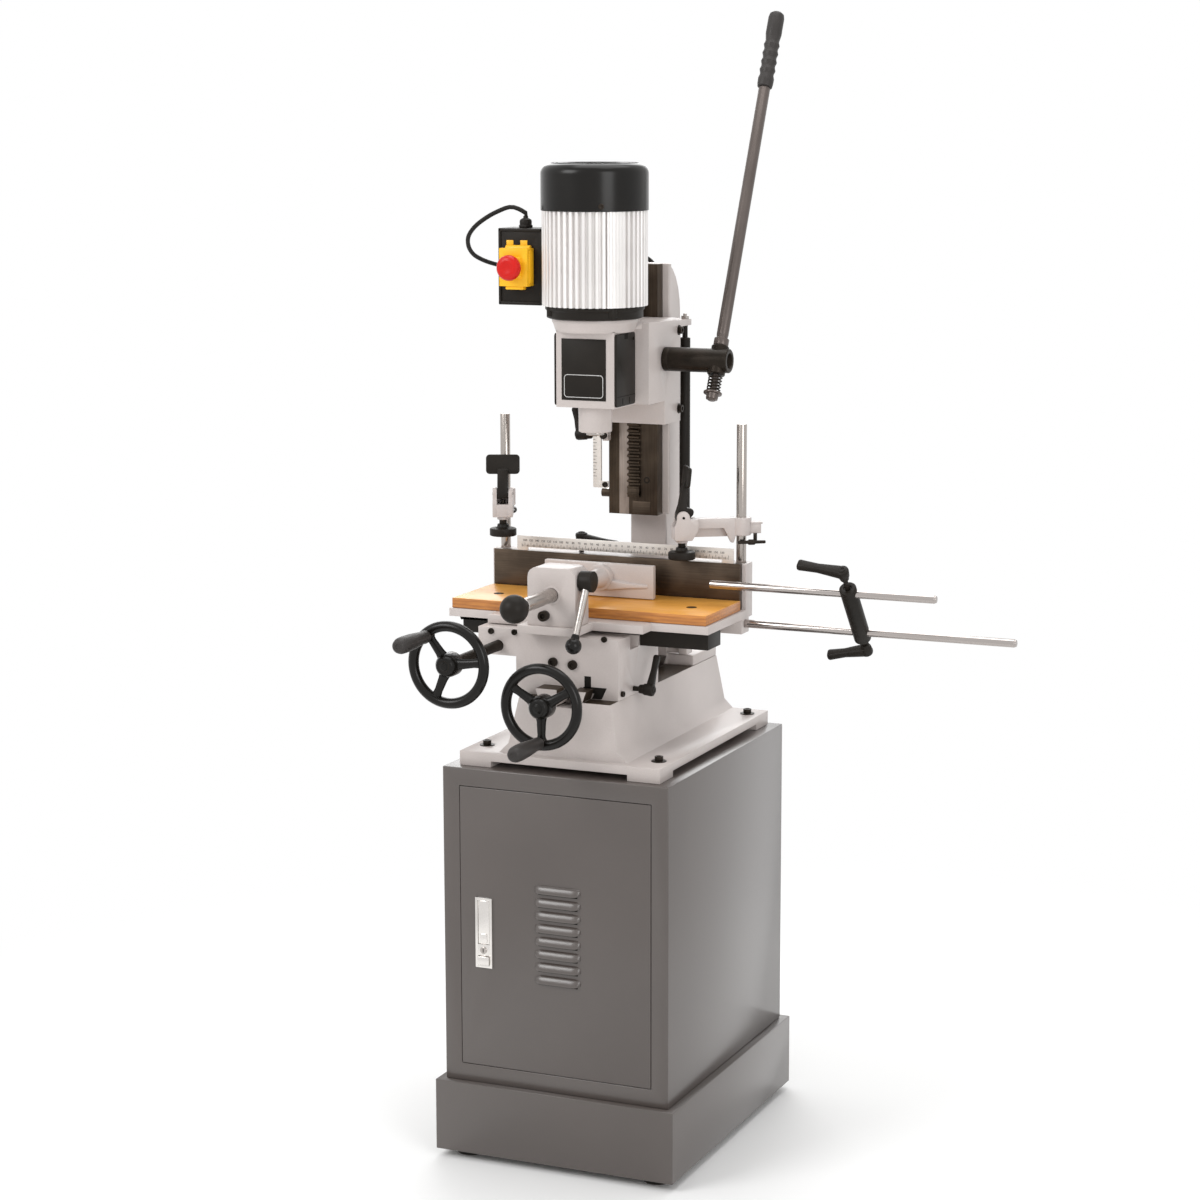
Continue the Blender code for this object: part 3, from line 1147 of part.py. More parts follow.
def make_feed():
    """Feed pinion, lever hub, lever rod, grip and spring."""
    outline = gear_outline(RACK_MODULE, PINION_TEETH, (pinion_y, pinion_z))
    left = RACK_LEFT + SINK
    gear = prism(outline, (left, left + PINION_WIDTH), "x")
    hub_left = HEAD_REAR_HALF_WIDTH + GAP
    shaft_end = hub_left + HUB_BORE_DEPTH - GAP
    shaft = rod((RACK_LEFT - PINION_TAIL, pinion_y, pinion_z), (shaft_end, pinion_y, pinion_z),
                PINION_SHAFT_RADIUS, ROUND_SIDES)
    piece("feed_pinion", united(gear, shaft), "steel", (0, pinion_y, pinion_z))

    bore = PINION_SHAFT_RADIUS + GAP
    profile = [
        (HUB_BORE_DEPTH, bore), (0, bore), (0, HUB_RADIUS), (HUB_LENGTH, HUB_RADIUS),
        (HUB_LENGTH, HUB_END_BORE_RADIUS), (HUB_LENGTH - HUB_END_BORE_DEPTH, HUB_END_BORE_RADIUS),
    ]
    hub = turned(profile, (hub_left, pinion_y, pinion_z), (1, 0, 0))
    stretch = lever_up * LEVER_BOSS_REACH
    boss = rod(lever_pivot - stretch, lever_pivot + stretch, LEVER_BOSS_RADIUS, ROUND_SIDES)
    reach = LEVER_BOSS_REACH + OVERRUN
    hole = rod(lever_pivot - lever_up * reach, lever_pivot + lever_up * reach, LEVER_STUD_RADIUS + GAP)
    piece("lever_hub", carved(united(hub, boss), hole), "black_plastic", lever_pivot)

    spring_top = -LEVER_BOSS_REACH - GAP
    washer_top = spring_top - SPRING_LENGTH - GAP
    nut_top = washer_top - LEVER_WASHER_THICKNESS
    shoulder = LEVER_BOSS_REACH + GAP
    profile = [
        (nut_top - LEVER_NUT_HEIGHT, LEVER_NUT_RADIUS), (nut_top, LEVER_NUT_RADIUS),
        (nut_top, LEVER_WASHER_RADIUS),
        (washer_top, LEVER_WASHER_RADIUS), (washer_top, LEVER_STUD_RADIUS), (shoulder, LEVER_STUD_RADIUS),
        (shoulder, LEVER_SHOULDER_RADIUS), (shoulder + LEVER_SHOULDER_LENGTH, LEVER_SHOULDER_RADIUS),
        (shoulder + LEVER_CONE_SHARE * LEVER_SHOULDER_LENGTH, LEVER_ROD_RADIUS),
        (LEVER_ROD_LENGTH, LEVER_ROD_RADIUS),
        (LEVER_ROD_LENGTH, LEVER_TANG_RADIUS), (LEVER_ROD_LENGTH + LEVER_TANG_LENGTH, LEVER_TANG_RADIUS),
    ]
    piece("lever_rod", turned(profile, lever_pivot, lever_up), "chrome", lever_pivot)

    bottom = LEVER_ROD_LENGTH + GAP
    bore = LEVER_TANG_RADIUS + GAP
    groove_pitch = LEVER_GRIP_LENGTH * GRIP_GROOVE_SHARE
    profile = [(bottom + LEVER_TANG_LENGTH, bore), (bottom, bore),
        (bottom, LEVER_GRIP_RADIUS * GRIP_FOOT_SHARE)]
    for groove in range(LEVER_GRIP_GROOVES):
        along = bottom + LEVER_GRIP_LENGTH * GRIP_START_SHARE + groove_pitch * groove
        profile.append((along, LEVER_GRIP_RADIUS))
        profile.append((along + groove_pitch / 2, LEVER_GRIP_RADIUS - LEVER_GROOVE_DEPTH))
    profile += [
        (bottom + LEVER_GRIP_LENGTH * GRIP_SWELL_SHARE, LEVER_GRIP_RADIUS),
        (bottom + LEVER_GRIP_LENGTH * GRIP_ROUND_SHARE, LEVER_GRIP_RADIUS),
        (bottom + LEVER_GRIP_LENGTH, LEVER_GRIP_RADIUS * GRIP_END_SHARE),
    ]
    piece("lever_grip", turned(profile, lever_pivot, lever_up), "grip_grey", lever_pivot)

    turn = lever_up.to_track_quat("Z", "Y").to_matrix()
    start = lever_pivot + lever_up * (washer_top + GAP + SPRING_WIRE_RADIUS)
    climb = SPRING_LENGTH - 2 * SPRING_WIRE_RADIUS
    straight = 2 * SPRING_WIRE_RADIUS
    points = []
    for step in range(SPRING_CURLS * SPRING_CURL_POINTS + 1):
        angle = math.tau * step / SPRING_CURL_POINTS
        ring = Vector((SPRING_RADIUS * math.cos(angle), SPRING_RADIUS * math.sin(angle), 0))
        points.append(start + turn @ ring + lever_up * (climb * step / (SPRING_CURLS * SPRING_CURL_POINTS)))
    points.insert(0, points[0] + turn @ Vector((0, -straight, 0)))
    points.append(points[-1] + turn @ Vector((0, straight, 0)))
    print("lever spring, least gap between curls, mm:",
        round(least_self_gap(points, SPRING_WIRE_RADIUS) * 1000, 2))
    tube("lever_spring", points, SPRING_WIRE_RADIUS, 1, "steel")


def make_saddle():
    """Saddle with its dovetail groove, jaws, ear and screw boss, and its lock lever."""
    body = slab((SADDLE_LEFT, SADDLE_RIGHT), (SADDLE_FRONT, SADDLE_BACK), (saddle_bottom, saddle_top))
    apron = slab((SADDLE_LEFT, SADDLE_RIGHT), (SADDLE_FRONT, APRON_BACK),
        (saddle_top - SINK, saddle_top + APRON_HEIGHT))
    rear_jaw = slab((SADDLE_LEFT, SADDLE_RIGHT), (SADDLE_BACK - JAW_THICKNESS, SADDLE_BACK),
                    (saddle_top - SINK, saddle_top + JAW_HEIGHT))
    front_jaw = slab((SADDLE_LEFT, SADDLE_RIGHT),
        (slide_front - GAP - FRONT_JAW_THICKNESS, slide_front - GAP),
                     (saddle_top - SINK, saddle_top + JAW_HEIGHT))
    ear = slab((EAR_LEFT, SADDLE_LEFT + SINK), (SADDLE_FRONT, EAR_BACK),
        (traverse_z - EAR_BELOW, traverse_z + EAR_ABOVE))
    body = united(body, apron, rear_jaw, front_jaw, ear)
    middle, bottom, top = -RIDGE_OFFSET, RIDGE_HALF_WIDTH - RIDGE_OFFSET + GAP, RIDGE_HALF_WIDTH + GAP
    roof = ridge_top + GAP
    outline = [
        (middle - bottom, saddle_bottom - OVERRUN), (middle + bottom, saddle_bottom - OVERRUN),
        (middle + bottom, base_top), (middle + top, ridge_top), (middle + top, roof),
        (middle - top, roof), (middle - top, ridge_top), (middle - bottom, base_top),
    ]
    groove = prism(outline, (SADDLE_FRONT - OVERRUN, SADDLE_BACK + OVERRUN), "y")
    body = carved(body, groove)
    boss_bottom = ridge_top - GROOVE_DEPTH + GAP + SINK
    boss_x = GROOVE_HALF_WIDTH - 2 * GAP
    boss = slab((-boss_x, boss_x), (SADDLE_FRONT, SADDLE_FRONT + SADDLE_BOSS_LENGTH),
        (boss_bottom, roof + SINK))
    body = united(body, boss)
    screw_hole = rod((0, SADDLE_FRONT - OVERRUN, screw_z),
        (0, SADDLE_FRONT + SADDLE_BOSS_LENGTH + OVERRUN, screw_z),
                     SCREW_RADIUS + GAP, ROUND_SIDES)
    shaft_hole = rod((TRAVERSE_X, SADDLE_FRONT - OVERRUN, traverse_z),
        (TRAVERSE_X, EAR_BACK + OVERRUN, traverse_z),
                     TRAVERSE_SHAFT_RADIUS + GAP, ROUND_SIDES)
    lock_z = saddle_bottom + SADDLE_LOCK_RISE
    lock_hole = rod((SADDLE_RIGHT - SADDLE_LOCK_STUD - SINK, SADDLE_LOCK_Y, lock_z),
                    (SADDLE_RIGHT + OVERRUN, SADDLE_LOCK_Y, lock_z), LOCK_STUD_RADIUS + GAP)
    piece("saddle", carved(body, screw_hole, shaft_hole, lock_hole), "grey_paint")
    ratchet_lever("saddle_lock_lever", (SADDLE_RIGHT, SADDLE_LOCK_Y, lock_z), (1, 0, 0),
        SADDLE_LOCK_WAY_SHARES,
                  SADDLE_LOCK_REACH, SADDLE_LOCK_STUD)


def make_drives():
    """Cross screw and traverse pinion, each with its handwheel and grip."""
    collar_back = SADDLE_FRONT - GAP
    wheel_front = CROSS_WHEEL_Y - WHEEL_HUB_LENGTH / 2
    profile = [
        (-wheel_front, SCREW_RADIUS), (-(collar_back - SCREW_COLLAR), SCREW_RADIUS),
        (-(collar_back - SCREW_COLLAR), SCREW_COLLAR_RADIUS), (-collar_back, SCREW_COLLAR_RADIUS),
        (-collar_back, SCREW_RADIUS), (-SCREW_BACK, SCREW_RADIUS),
    ]
    piece("cross_screw", turned(profile, (0, 0, screw_z), (0, -1, 0)), "steel", (0, CROSS_WHEEL_Y, screw_z))
    cross_centre = (0, CROSS_WHEEL_Y, screw_z)
    handwheel("cross_handwheel", cross_centre, SCREW_RADIUS, -math.pi / 2)
    wheel_grip("cross_grip", cross_centre, -math.pi / 2)

    gear_back = traverse_gear_back
    outline = gear_outline(TRAVERSE_MODULE, TRAVERSE_TEETH, (TRAVERSE_X, traverse_z))
    gear = prism(outline, (gear_back - TRAVERSE_GEAR_WIDTH, gear_back), "y")
    shaft = rod((TRAVERSE_X, TRAVERSE_WHEEL_Y - WHEEL_HUB_LENGTH / 2, traverse_z),
        (TRAVERSE_X, gear_back, traverse_z),
                TRAVERSE_SHAFT_RADIUS, ROUND_SIDES)
    centre = (TRAVERSE_X, TRAVERSE_WHEEL_Y, traverse_z)
    piece("traverse_pinion", united(gear, shaft), "steel", centre)
    handwheel("traverse_handwheel", centre, TRAVERSE_SHAFT_RADIUS, TRAVERSE_GRIP_ANGLE)
    wheel_grip("traverse_grip", centre, TRAVERSE_GRIP_ANGLE)


def make_table():
    """Table casting with slide, rack, wall and rod boss, and the board, fence, ruler and lock on it."""
    outline = [
        (table_left, FENCE_WALL_BACK), (table_left, TABLE_WING_FRONT), (TABLE_MID_LEFT, TABLE_WING_FRONT),
        (TABLE_MID_LEFT, TABLE_MID_FRONT), (TONGUE_LEFT, TABLE_MID_FRONT), (TONGUE_LEFT, TONGUE_FRONT),
        (TONGUE_RIGHT, TONGUE_FRONT), (TONGUE_RIGHT, TABLE_MID_FRONT), (TABLE_MID_RIGHT, TABLE_MID_FRONT),
        (TABLE_MID_RIGHT, TABLE_WING_FRONT), (table_right, TABLE_WING_FRONT), (table_right, FENCE_WALL_BACK),
    ]
    top = prism(outline, (table_bottom, table_top_z), "z")
    wall = slab((table_left, table_right), (wall_front, FENCE_WALL_BACK), (table_top_z - SINK, wall_top))
    slide = slab((table_left + SLIDE_END, table_right - SLIDE_END), (slide_front, slide_back),
                 (slide_bottom, table_bottom + SINK))
    rack_teeth = 2 * math.ceil((TABLE_TRAVEL + traverse_gear_radius / 2) / (math.pi * TRAVERSE_MODULE)) + 1
    rack_left = TRAVERSE_X - rack_teeth * math.pi * TRAVERSE_MODULE / 2
    teeth = rack_outline(TRAVERSE_MODULE, rack_teeth, rack_left, traverse_rack_root + 2 * SINK)
    outline = [(along, traverse_pitch_z - height) for along, height in teeth]
    rack = prism(outline, (traverse_gear_back - TRAVERSE_GEAR_WIDTH, traverse_gear_back), "y")
    boss = slab((table_right - ROD_BOSS_LENGTH, table_right),
                (LOWER_ROD_Y - ROD_BOSS_HALF_DEPTH, LOWER_ROD_Y + ROD_BOSS_HALF_DEPTH),
                (lower_rod_z - ROD_BOSS_BELOW, table_bottom + SINK))
    body = united(top, wall, slide, rack, boss)
    rod_hole = rod((table_right - ROD_BOSS_LENGTH - OVERRUN, LOWER_ROD_Y, lower_rod_z),
                   (table_right + OVERRUN, LOWER_ROD_Y, lower_rod_z), STOP_ROD_RADIUS + GAP)
    cutters = [rod_hole]
    for x in (RIGHT_POST_X, LEFT_POST_X):
        cutters.append(rod((x, POST_Y, wall_top - POST_SOCKET - GAP), (x, POST_Y, wall_top + OVERRUN),
                           POST_RADIUS + GAP, ROUND_SIDES))
    cutters.append(rod((FENCE_LOCK_X, FENCE_LOCK_Y, wall_top - FENCE_LOCK_STUD - SINK),
                       (FENCE_LOCK_X, FENCE_LOCK_Y, wall_top + OVERRUN), LOCK_STUD_RADIUS + GAP))
    piece("table_casting", carved(body, *cutters), "grey_paint")

    board = slab((TABLE_X - WOOD_HALF_LENGTH, TABLE_X + WOOD_HALF_LENGTH),
                 (WOOD_FRONT, fence_front - WOOD_BACK_GAP), (board_bottom, board_top))
    piece("table_top", board, "wood")
    fence = slab((TABLE_X - FENCE_HALF_LENGTH, TABLE_X + FENCE_HALF_LENGTH), (fence_front, fence_back),
                 (board_bottom, fence_top))
    piece("fence_plate", fence, "ground_steel")
    right = RULER_LEFT + RULER_LENGTH
    y = (fence_front, fence_front + RULER_THICKNESS)
    low = fence_top + GAP
    strip = slab((RULER_LEFT, right), y, (low + RULER_STAND, low + RULER_STAND + RULER_HEIGHT))
    tabs = [slab((left, left + RULER_TAB), y, (low, low + RULER_STAND + SINK)) for left in (RULER_LEFT,
        right - RULER_TAB)]
    piece("ruler", united(strip, *tabs), "steel")
    ratchet_lever("fence_lock_lever", (FENCE_LOCK_X, FENCE_LOCK_Y, wall_top), (0, 0, 1), (1, 0, 0),
                  FENCE_LOCK_REACH, FENCE_LOCK_STUD)


def make_clamp():
    """Clamp block, its sliding bar with jaw and knob, and the locking lever."""
    top = board_bottom + CLAMP_HEIGHT
    back = CLAMP_FRONT + CLAMP_DEPTH
    round_radii = (CLAMP_ROUNDING, CLAMP_ROUNDING)
    right_arc = arc((CLAMP_RIGHT - CLAMP_ROUNDING, top - CLAMP_ROUNDING), round_radii, 0, math.pi / 2, 4)
    left_arc = arc((CLAMP_LEFT + CLAMP_ROUNDING, top - CLAMP_ROUNDING), round_radii, math.pi / 2, math.pi, 4)
    outline = [(CLAMP_LEFT, board_bottom), (CLAMP_RIGHT, board_bottom)] + right_arc + left_arc
    block = prism(outline, (CLAMP_FRONT, back), "y")
    bar_hole = rod((CLAMP_BAR_X, CLAMP_FRONT - OVERRUN, clamp_bar_z),
        (CLAMP_BAR_X, back + OVERRUN, clamp_bar_z),
                   CLAMP_BAR_RADIUS + GAP, ROUND_SIDES)
    pin_hole = rod((CLAMP_RIGHT + OVERRUN, CLAMP_PIVOT_Y, clamp_pivot_z),
                   (CLAMP_RIGHT - CLAMP_PIN_DEPTH - SINK, CLAMP_PIVOT_Y, clamp_pivot_z),
                   CLAMP_PIN_RADIUS + GAP)
    piece("clamp_block", carved(block, bar_hole, pin_hole), "grey_paint")

    boss_front = JAW_PLATE_FRONT - JAW_BOSS_LENGTH
    knob_centre = -CLAMP_BAR_FRONT + CLAMP_KNOB_RADIUS
    profile = [
        (-(JAW_PLATE_FRONT + SINK), JAW_BOSS_RADIUS), (-boss_front, JAW_BOSS_RADIUS),
        (-boss_front, CLAMP_BAR_RADIUS),
        (-CLAMP_BAR_FRONT - CLAMP_NECK_RADIUS, CLAMP_BAR_RADIUS),
        (-CLAMP_BAR_FRONT - CLAMP_NECK_RADIUS, CLAMP_NECK_RADIUS),
    ] + ball_profile(knob_centre, CLAMP_KNOB_RADIUS, math.asin(CLAMP_NECK_RADIUS / CLAMP_KNOB_RADIUS))
    bar = turned(profile, (CLAMP_BAR_X, 0, clamp_bar_z), (0, -1, 0))
    jaw_bottom = board_top + JAW_PLATE_LIFT
    half = JAW_PLATE_HALF_LENGTH
    jaw = slab((JAW_PLATE_X - half, JAW_PLATE_X + half),
        (JAW_PLATE_FRONT, JAW_PLATE_FRONT + JAW_PLATE_THICKNESS),
               (jaw_bottom, jaw_bottom + JAW_PLATE_HEIGHT))
    rib_half = half * JAW_RIB_SHARE
    rib_bottom = jaw_bottom + (JAW_PLATE_HEIGHT - JAW_RIB_HEIGHT) / 2
    rib = slab((JAW_PLATE_X - rib_half, JAW_PLATE_X + rib_half),
        (JAW_PLATE_FRONT - JAW_RIB_DEPTH, JAW_PLATE_FRONT + SINK),
               (rib_bottom, rib_bottom + JAW_RIB_HEIGHT))
    piece("clamp_bar", united(jaw, bar, rib), "grey_paint", (CLAMP_BAR_X, JAW_PLATE_FRONT, clamp_bar_z))

    hub_left = CLAMP_RIGHT + GAP
    profile = [(-CLAMP_PIN_DEPTH, CLAMP_PIN_RADIUS), (GAP, CLAMP_PIN_RADIUS), (GAP, CLAMP_HUB_RADIUS),
               (CLAMP_HUB_LENGTH, CLAMP_HUB_RADIUS)]
    hub = turned(profile, (hub_left, CLAMP_PIVOT_Y, clamp_pivot_z), (1, 0, 0))
    down = Vector((0, -math.sin(CLAMP_LEVER_LEAN), -math.cos(CLAMP_LEVER_LEAN)))
    centre = Vector((hub_left + CLAMP_HUB_LENGTH / 2, CLAMP_PIVOT_Y, clamp_pivot_z))
    first = math.asin(CLAMP_LEVER_RADIUS / CLAMP_BALL_RADIUS)
    profile = [(CLAMP_HUB_RADIUS / 2, CLAMP_LEVER_RADIUS)] + ball_profile(CLAMP_LEVER_LENGTH,
        CLAMP_BALL_RADIUS, first)
    lever = turned(profile, centre, down, SMALL_SIDES)
    piece("clamp_lever", united(hub, lever), "chrome", centre)


def make_hold_down(side, post_x, arm_z, angle, reach):
    """Post, arm, cam lever and pad of one hold-down, built along +X and swung into place."""
    pivot = (post_x, POST_Y, 0)
    socket = wall_top - POST_SOCKET
    post = rod((post_x, POST_Y, socket), (post_x, POST_Y, table_top_z + POST_TOP_RISE), POST_RADIUS,
        ROUND_SIDES)
    piece("post_" + side, post, "chrome", (post_x, POST_Y, wall_top))

    collar = sleeve((0, 0, arm_z), (0, 0, arm_z + ARM_HEIGHT), COLLAR_RADIUS, POST_RADIUS + GAP)
    half = ARM_WIDTH / 2
    beam = slab((COLLAR_RADIUS - 2 * SINK, reach - PAD_STEM_RADIUS - SINK), (-half, half),
                (arm_z + ARM_INSET, arm_z + ARM_BOSS_HEIGHT - ARM_INSET))
    boss = sleeve((reach, 0, arm_z), (reach, 0, arm_z + ARM_BOSS_HEIGHT), ARM_BOSS_RADIUS,
        PAD_STEM_RADIUS + GAP)
    lock_foot = COLLAR_RADIUS - SINK
    lock_end = lock_foot + ARM_LOCK_REACH
    lock_z = arm_z + ARM_HEIGHT / 2
    stem = rod((0, lock_foot, lock_z), (0, lock_end, lock_z), ARM_LOCK_RADIUS)
    bar = rod((-ARM_LOCK_BAR / 2, lock_end, lock_z), (ARM_LOCK_BAR / 2, lock_end, lock_z), ARM_LOCK_RADIUS)
    ears = []
    cam_z = arm_z + CAM_RISE
    inner = CAM_WIDTH / 2 + GAP
    for way in (-1, 1):
        y = sorted((way * inner, way * (inner + ARM_EAR_THICKNESS)))
        ears.append(slab((reach - CAM_RADIUS, reach + CAM_RADIUS), y,
            (arm_z + ARM_BOSS_HEIGHT - SINK, cam_z + CAM_RADIUS - SINK)))
    outer = inner + ARM_EAR_THICKNESS - SINK
    pin = rod((reach, -outer, cam_z), (reach, outer, cam_z), CAM_PIN_RADIUS)
    arm = united(collar, beam, boss, stem, bar, *ears, pin)
    piece("hold_arm_" + side, swung(arm, angle, pivot), "grey_paint", (post_x, POST_Y, arm_z))

    tip = Vector((post_x, POST_Y, 0)) + Matrix.Rotation(angle, 3, "Z") @ Vector((reach, 0, 0))
    cam = sleeve((reach, -CAM_WIDTH / 2, cam_z), (reach, CAM_WIDTH / 2, cam_z), CAM_RADIUS,
        CAM_PIN_RADIUS + GAP, SMALL_SIDES)
    stem_top = cam_z + CAM_STEM_HEIGHT
    paddle_top = stem_top + CAM_PADDLE_HEIGHT
    neck, wide = CAM_WIDTH / 2, CAM_PADDLE_WIDTH / 2
    outline = [
        (-neck, cam_z + CAM_PIN_RADIUS + SINK), (neck, cam_z + CAM_PIN_RADIUS + SINK), (neck, stem_top),
        (wide, stem_top + neck), (wide, paddle_top), (-wide, paddle_top), (-wide, stem_top + neck),
        (-neck, stem_top),
    ]
    paddle = prism(outline, (reach - CAM_THICKNESS / 2, reach + CAM_THICKNESS / 2), "x")
    piece("cam_lever_" + side, swung(united(cam, paddle), angle, pivot), "black_plastic",
        (tip.x, tip.y, cam_z))

    stem_high = CAM_RISE - CAM_RADIUS - 2 * GAP
    shoulder = ARM_BOSS_HEIGHT - SINK - GAP
    profile = [
        (-PAD_HANG - PAD_THICKNESS, PAD_RADIUS), (-PAD_HANG, PAD_RADIUS),
        (-PAD_HANG + SINK, PAD_STEM_RADIUS),
        (shoulder, PAD_STEM_RADIUS), (shoulder, ARM_LOCK_RADIUS), (stem_high, ARM_LOCK_RADIUS),
    ]
    pad = turned(profile, (reach, 0, arm_z), (0, 0, 1))
    piece("hold_pad_" + side, swung(pad, angle, pivot), "rubber", (tip.x, tip.y, arm_z))


def make_side_stop():
    """Two side rods, the connector that joins them, and its two clamping levers."""
    right = LOWER_ROD_LEFT + LOWER_ROD_LENGTH
    lower = rod((LOWER_ROD_LEFT, LOWER_ROD_Y, lower_rod_z), (right, LOWER_ROD_Y, lower_rod_z),
        STOP_ROD_RADIUS)
    piece("lower_stop_rod", lower, "chrome", (LOWER_ROD_LEFT, LOWER_ROD_Y, lower_rod_z))
    left = Vector((UPPER_ROD_LEFT, upper_rod_at.y, upper_rod_at.z))
    upper = rod(left, left + Vector((UPPER_ROD_LENGTH, 0, 0)), STOP_ROD_RADIUS)
    piece("upper_stop_rod", upper, "chrome", left)

    reach = (CONNECTOR_HALF_WIDTH, CONNECTOR_HALF_WIDTH)
    quarter = math.pi / 2
    outline = arc((upper_rod_at.y, upper_rod_at.z), reach, CONNECTOR_ANGLE - quarter,
        CONNECTOR_ANGLE + quarter, 8)
    outline += arc((LOWER_ROD_Y, lower_rod_z), reach, CONNECTOR_ANGLE + quarter,
        CONNECTOR_ANGLE + 3 * quarter, 8)
    half = CONNECTOR_THICKNESS / 2
    link = prism(outline, (CONNECTOR_X - half, CONNECTOR_X + half), "x")
    cutters = []
    for centre in (lower_rod_at, upper_rod_at):
        ends = [centre + Vector((way * (half + OVERRUN), 0, 0)) for way in (-1, 1)]
        cutters.append(rod(ends[0], ends[1], STOP_ROD_RADIUS + GAP, ROUND_SIDES))
    seats = (("connector_lever_upper", upper_rod_at, connector_up, UPPER_CONNECTOR_ARM),
             ("connector_lever_lower", lower_rod_at, -connector_up, LOWER_CONNECTOR_ARM))
    for name, centre, away, arm in seats:
        seat = centre + away * CONNECTOR_HALF_WIDTH
        cutters.append(rod(centre + away * STOP_ROD_RADIUS, seat + away * OVERRUN, LOCK_STUD_RADIUS + GAP))
        ratchet_lever(name, seat, away, (-1, 0, 0), arm, CONNECTOR_LOCK_STUD)
    piece("rod_connector", carved(link, *cutters), "black_plastic", lower_rod_at)


def smooth_route(knots, count):
    """Evenly spaced points along a smooth curve through the knots."""
    knots = [Vector(knot) for knot in knots]
    padded = [2 * knots[0] - knots[1]] + knots + [2 * knots[-1] - knots[-2]]
    fine = []
    steps = 24
    for before, first, second, after in zip(padded, padded[1:], padded[2:], padded[3:]):
        for step in range(steps):
            t = step / steps
            curve = (2 * before - 5 * first + 4 * second - after) * t ** 2
            twist = (3 * first - before - 3 * second + after) * t ** 3
            fine.append(0.5 * (2 * first + (second - before) * t + curve + twist))
    fine.append(knots[-1])
    spacing = path_length(fine) / (count - 1)
    points = [fine[0]]
    travelled = 0.0
    for here, there in zip(fine, fine[1:]):
        length = (there - here).length
        while travelled + length >= spacing * len(points) and len(points) < count - 1:
            points.append(here.lerp(there, (spacing * len(points) - travelled) / length))
        travelled += length
    points.append(fine[-1])
    return points


def coil_points():
    """Loops of the coil: two turns spiral in, half a turn climbs, the rest spiral out above them."""
    turns = COIL_INNER_TURNS + COIL_CLIMB_TURNS + COIL_OUTER_TURNS
    points = []
    for step in range(int(turns * COIL_LOOP_POINTS) + 1):
        turn = step / COIL_LOOP_POINTS
        inward = min(turn, COIL_INNER_TURNS)
        climbed = min(max(turn - COIL_INNER_TURNS, 0), COIL_CLIMB_TURNS)
        outward = max(turn - COIL_INNER_TURNS - COIL_CLIMB_TURNS, 0)
        radius = COIL_RADIUS - COIL_STEP * (inward - outward)
        angle = math.tau * turn - math.pi / 2
        height = coil_z + COIL_STEP * climbed / COIL_CLIMB_TURNS
        points.append(Vector((COIL_X + radius * math.cos(angle), coil_y + radius * math.sin(angle), height)))
    points.insert(0, points[0] - Vector((COIL_LEAD, 0, 0)))
    points.append(points[-1] + Vector((COIL_LEAD, 0, 0)))
    return points


# Places that the cord passes, chosen by hand, from the gland to the coil
CORD_ROUTE = (
    (-0.1130, -0.1570, 1.3765), (-0.1250, -0.1570, 1.3785), (-0.1480, -0.1560, 1.3725),
    (-0.1800, -0.1520, 1.3560), (-0.2080, -0.1350, 1.3340), (-0.2200, -0.0950, 1.3060),
    (-0.2050, -0.0300, 1.2860),
    (-0.1500, 0.0200, 1.2780), (-0.0900, 0.0450, 1.2860), (-0.0480, 0.0480, 1.2990),
    (-0.0200, 0.0560, 1.3005),
    (-0.0080, 0.0810, 1.2900), (-0.0070, 0.1040, 1.2600), (-0.0080, 0.1130, 1.2100),
    (-0.0100, 0.1120, 1.1000),
    (-0.0120, 0.1120, 0.9500), (-0.0140, 0.1120, 0.8000), (-0.0180, 0.1160, 0.7450),
    (-0.0300, 0.1380, 0.7150),
    (-0.0500, 0.1600, 0.6960), (-0.0800, 0.1660, 0.6600), (-0.1020, 0.1690, 0.6000),
    (-0.1120, 0.1700, 0.5400),
    (-0.1180, 0.1700, 0.3000), (-0.1200, 0.1720, 0.1700), (-0.1220, 0.1800, 0.1200),
    (-0.1240, 0.1820, 0.0500),
    (-0.1200, 0.1850, 0.0120), (-0.1020, 0.1900, -0.0055), (-0.0700, 0.1930, -0.0085),
)


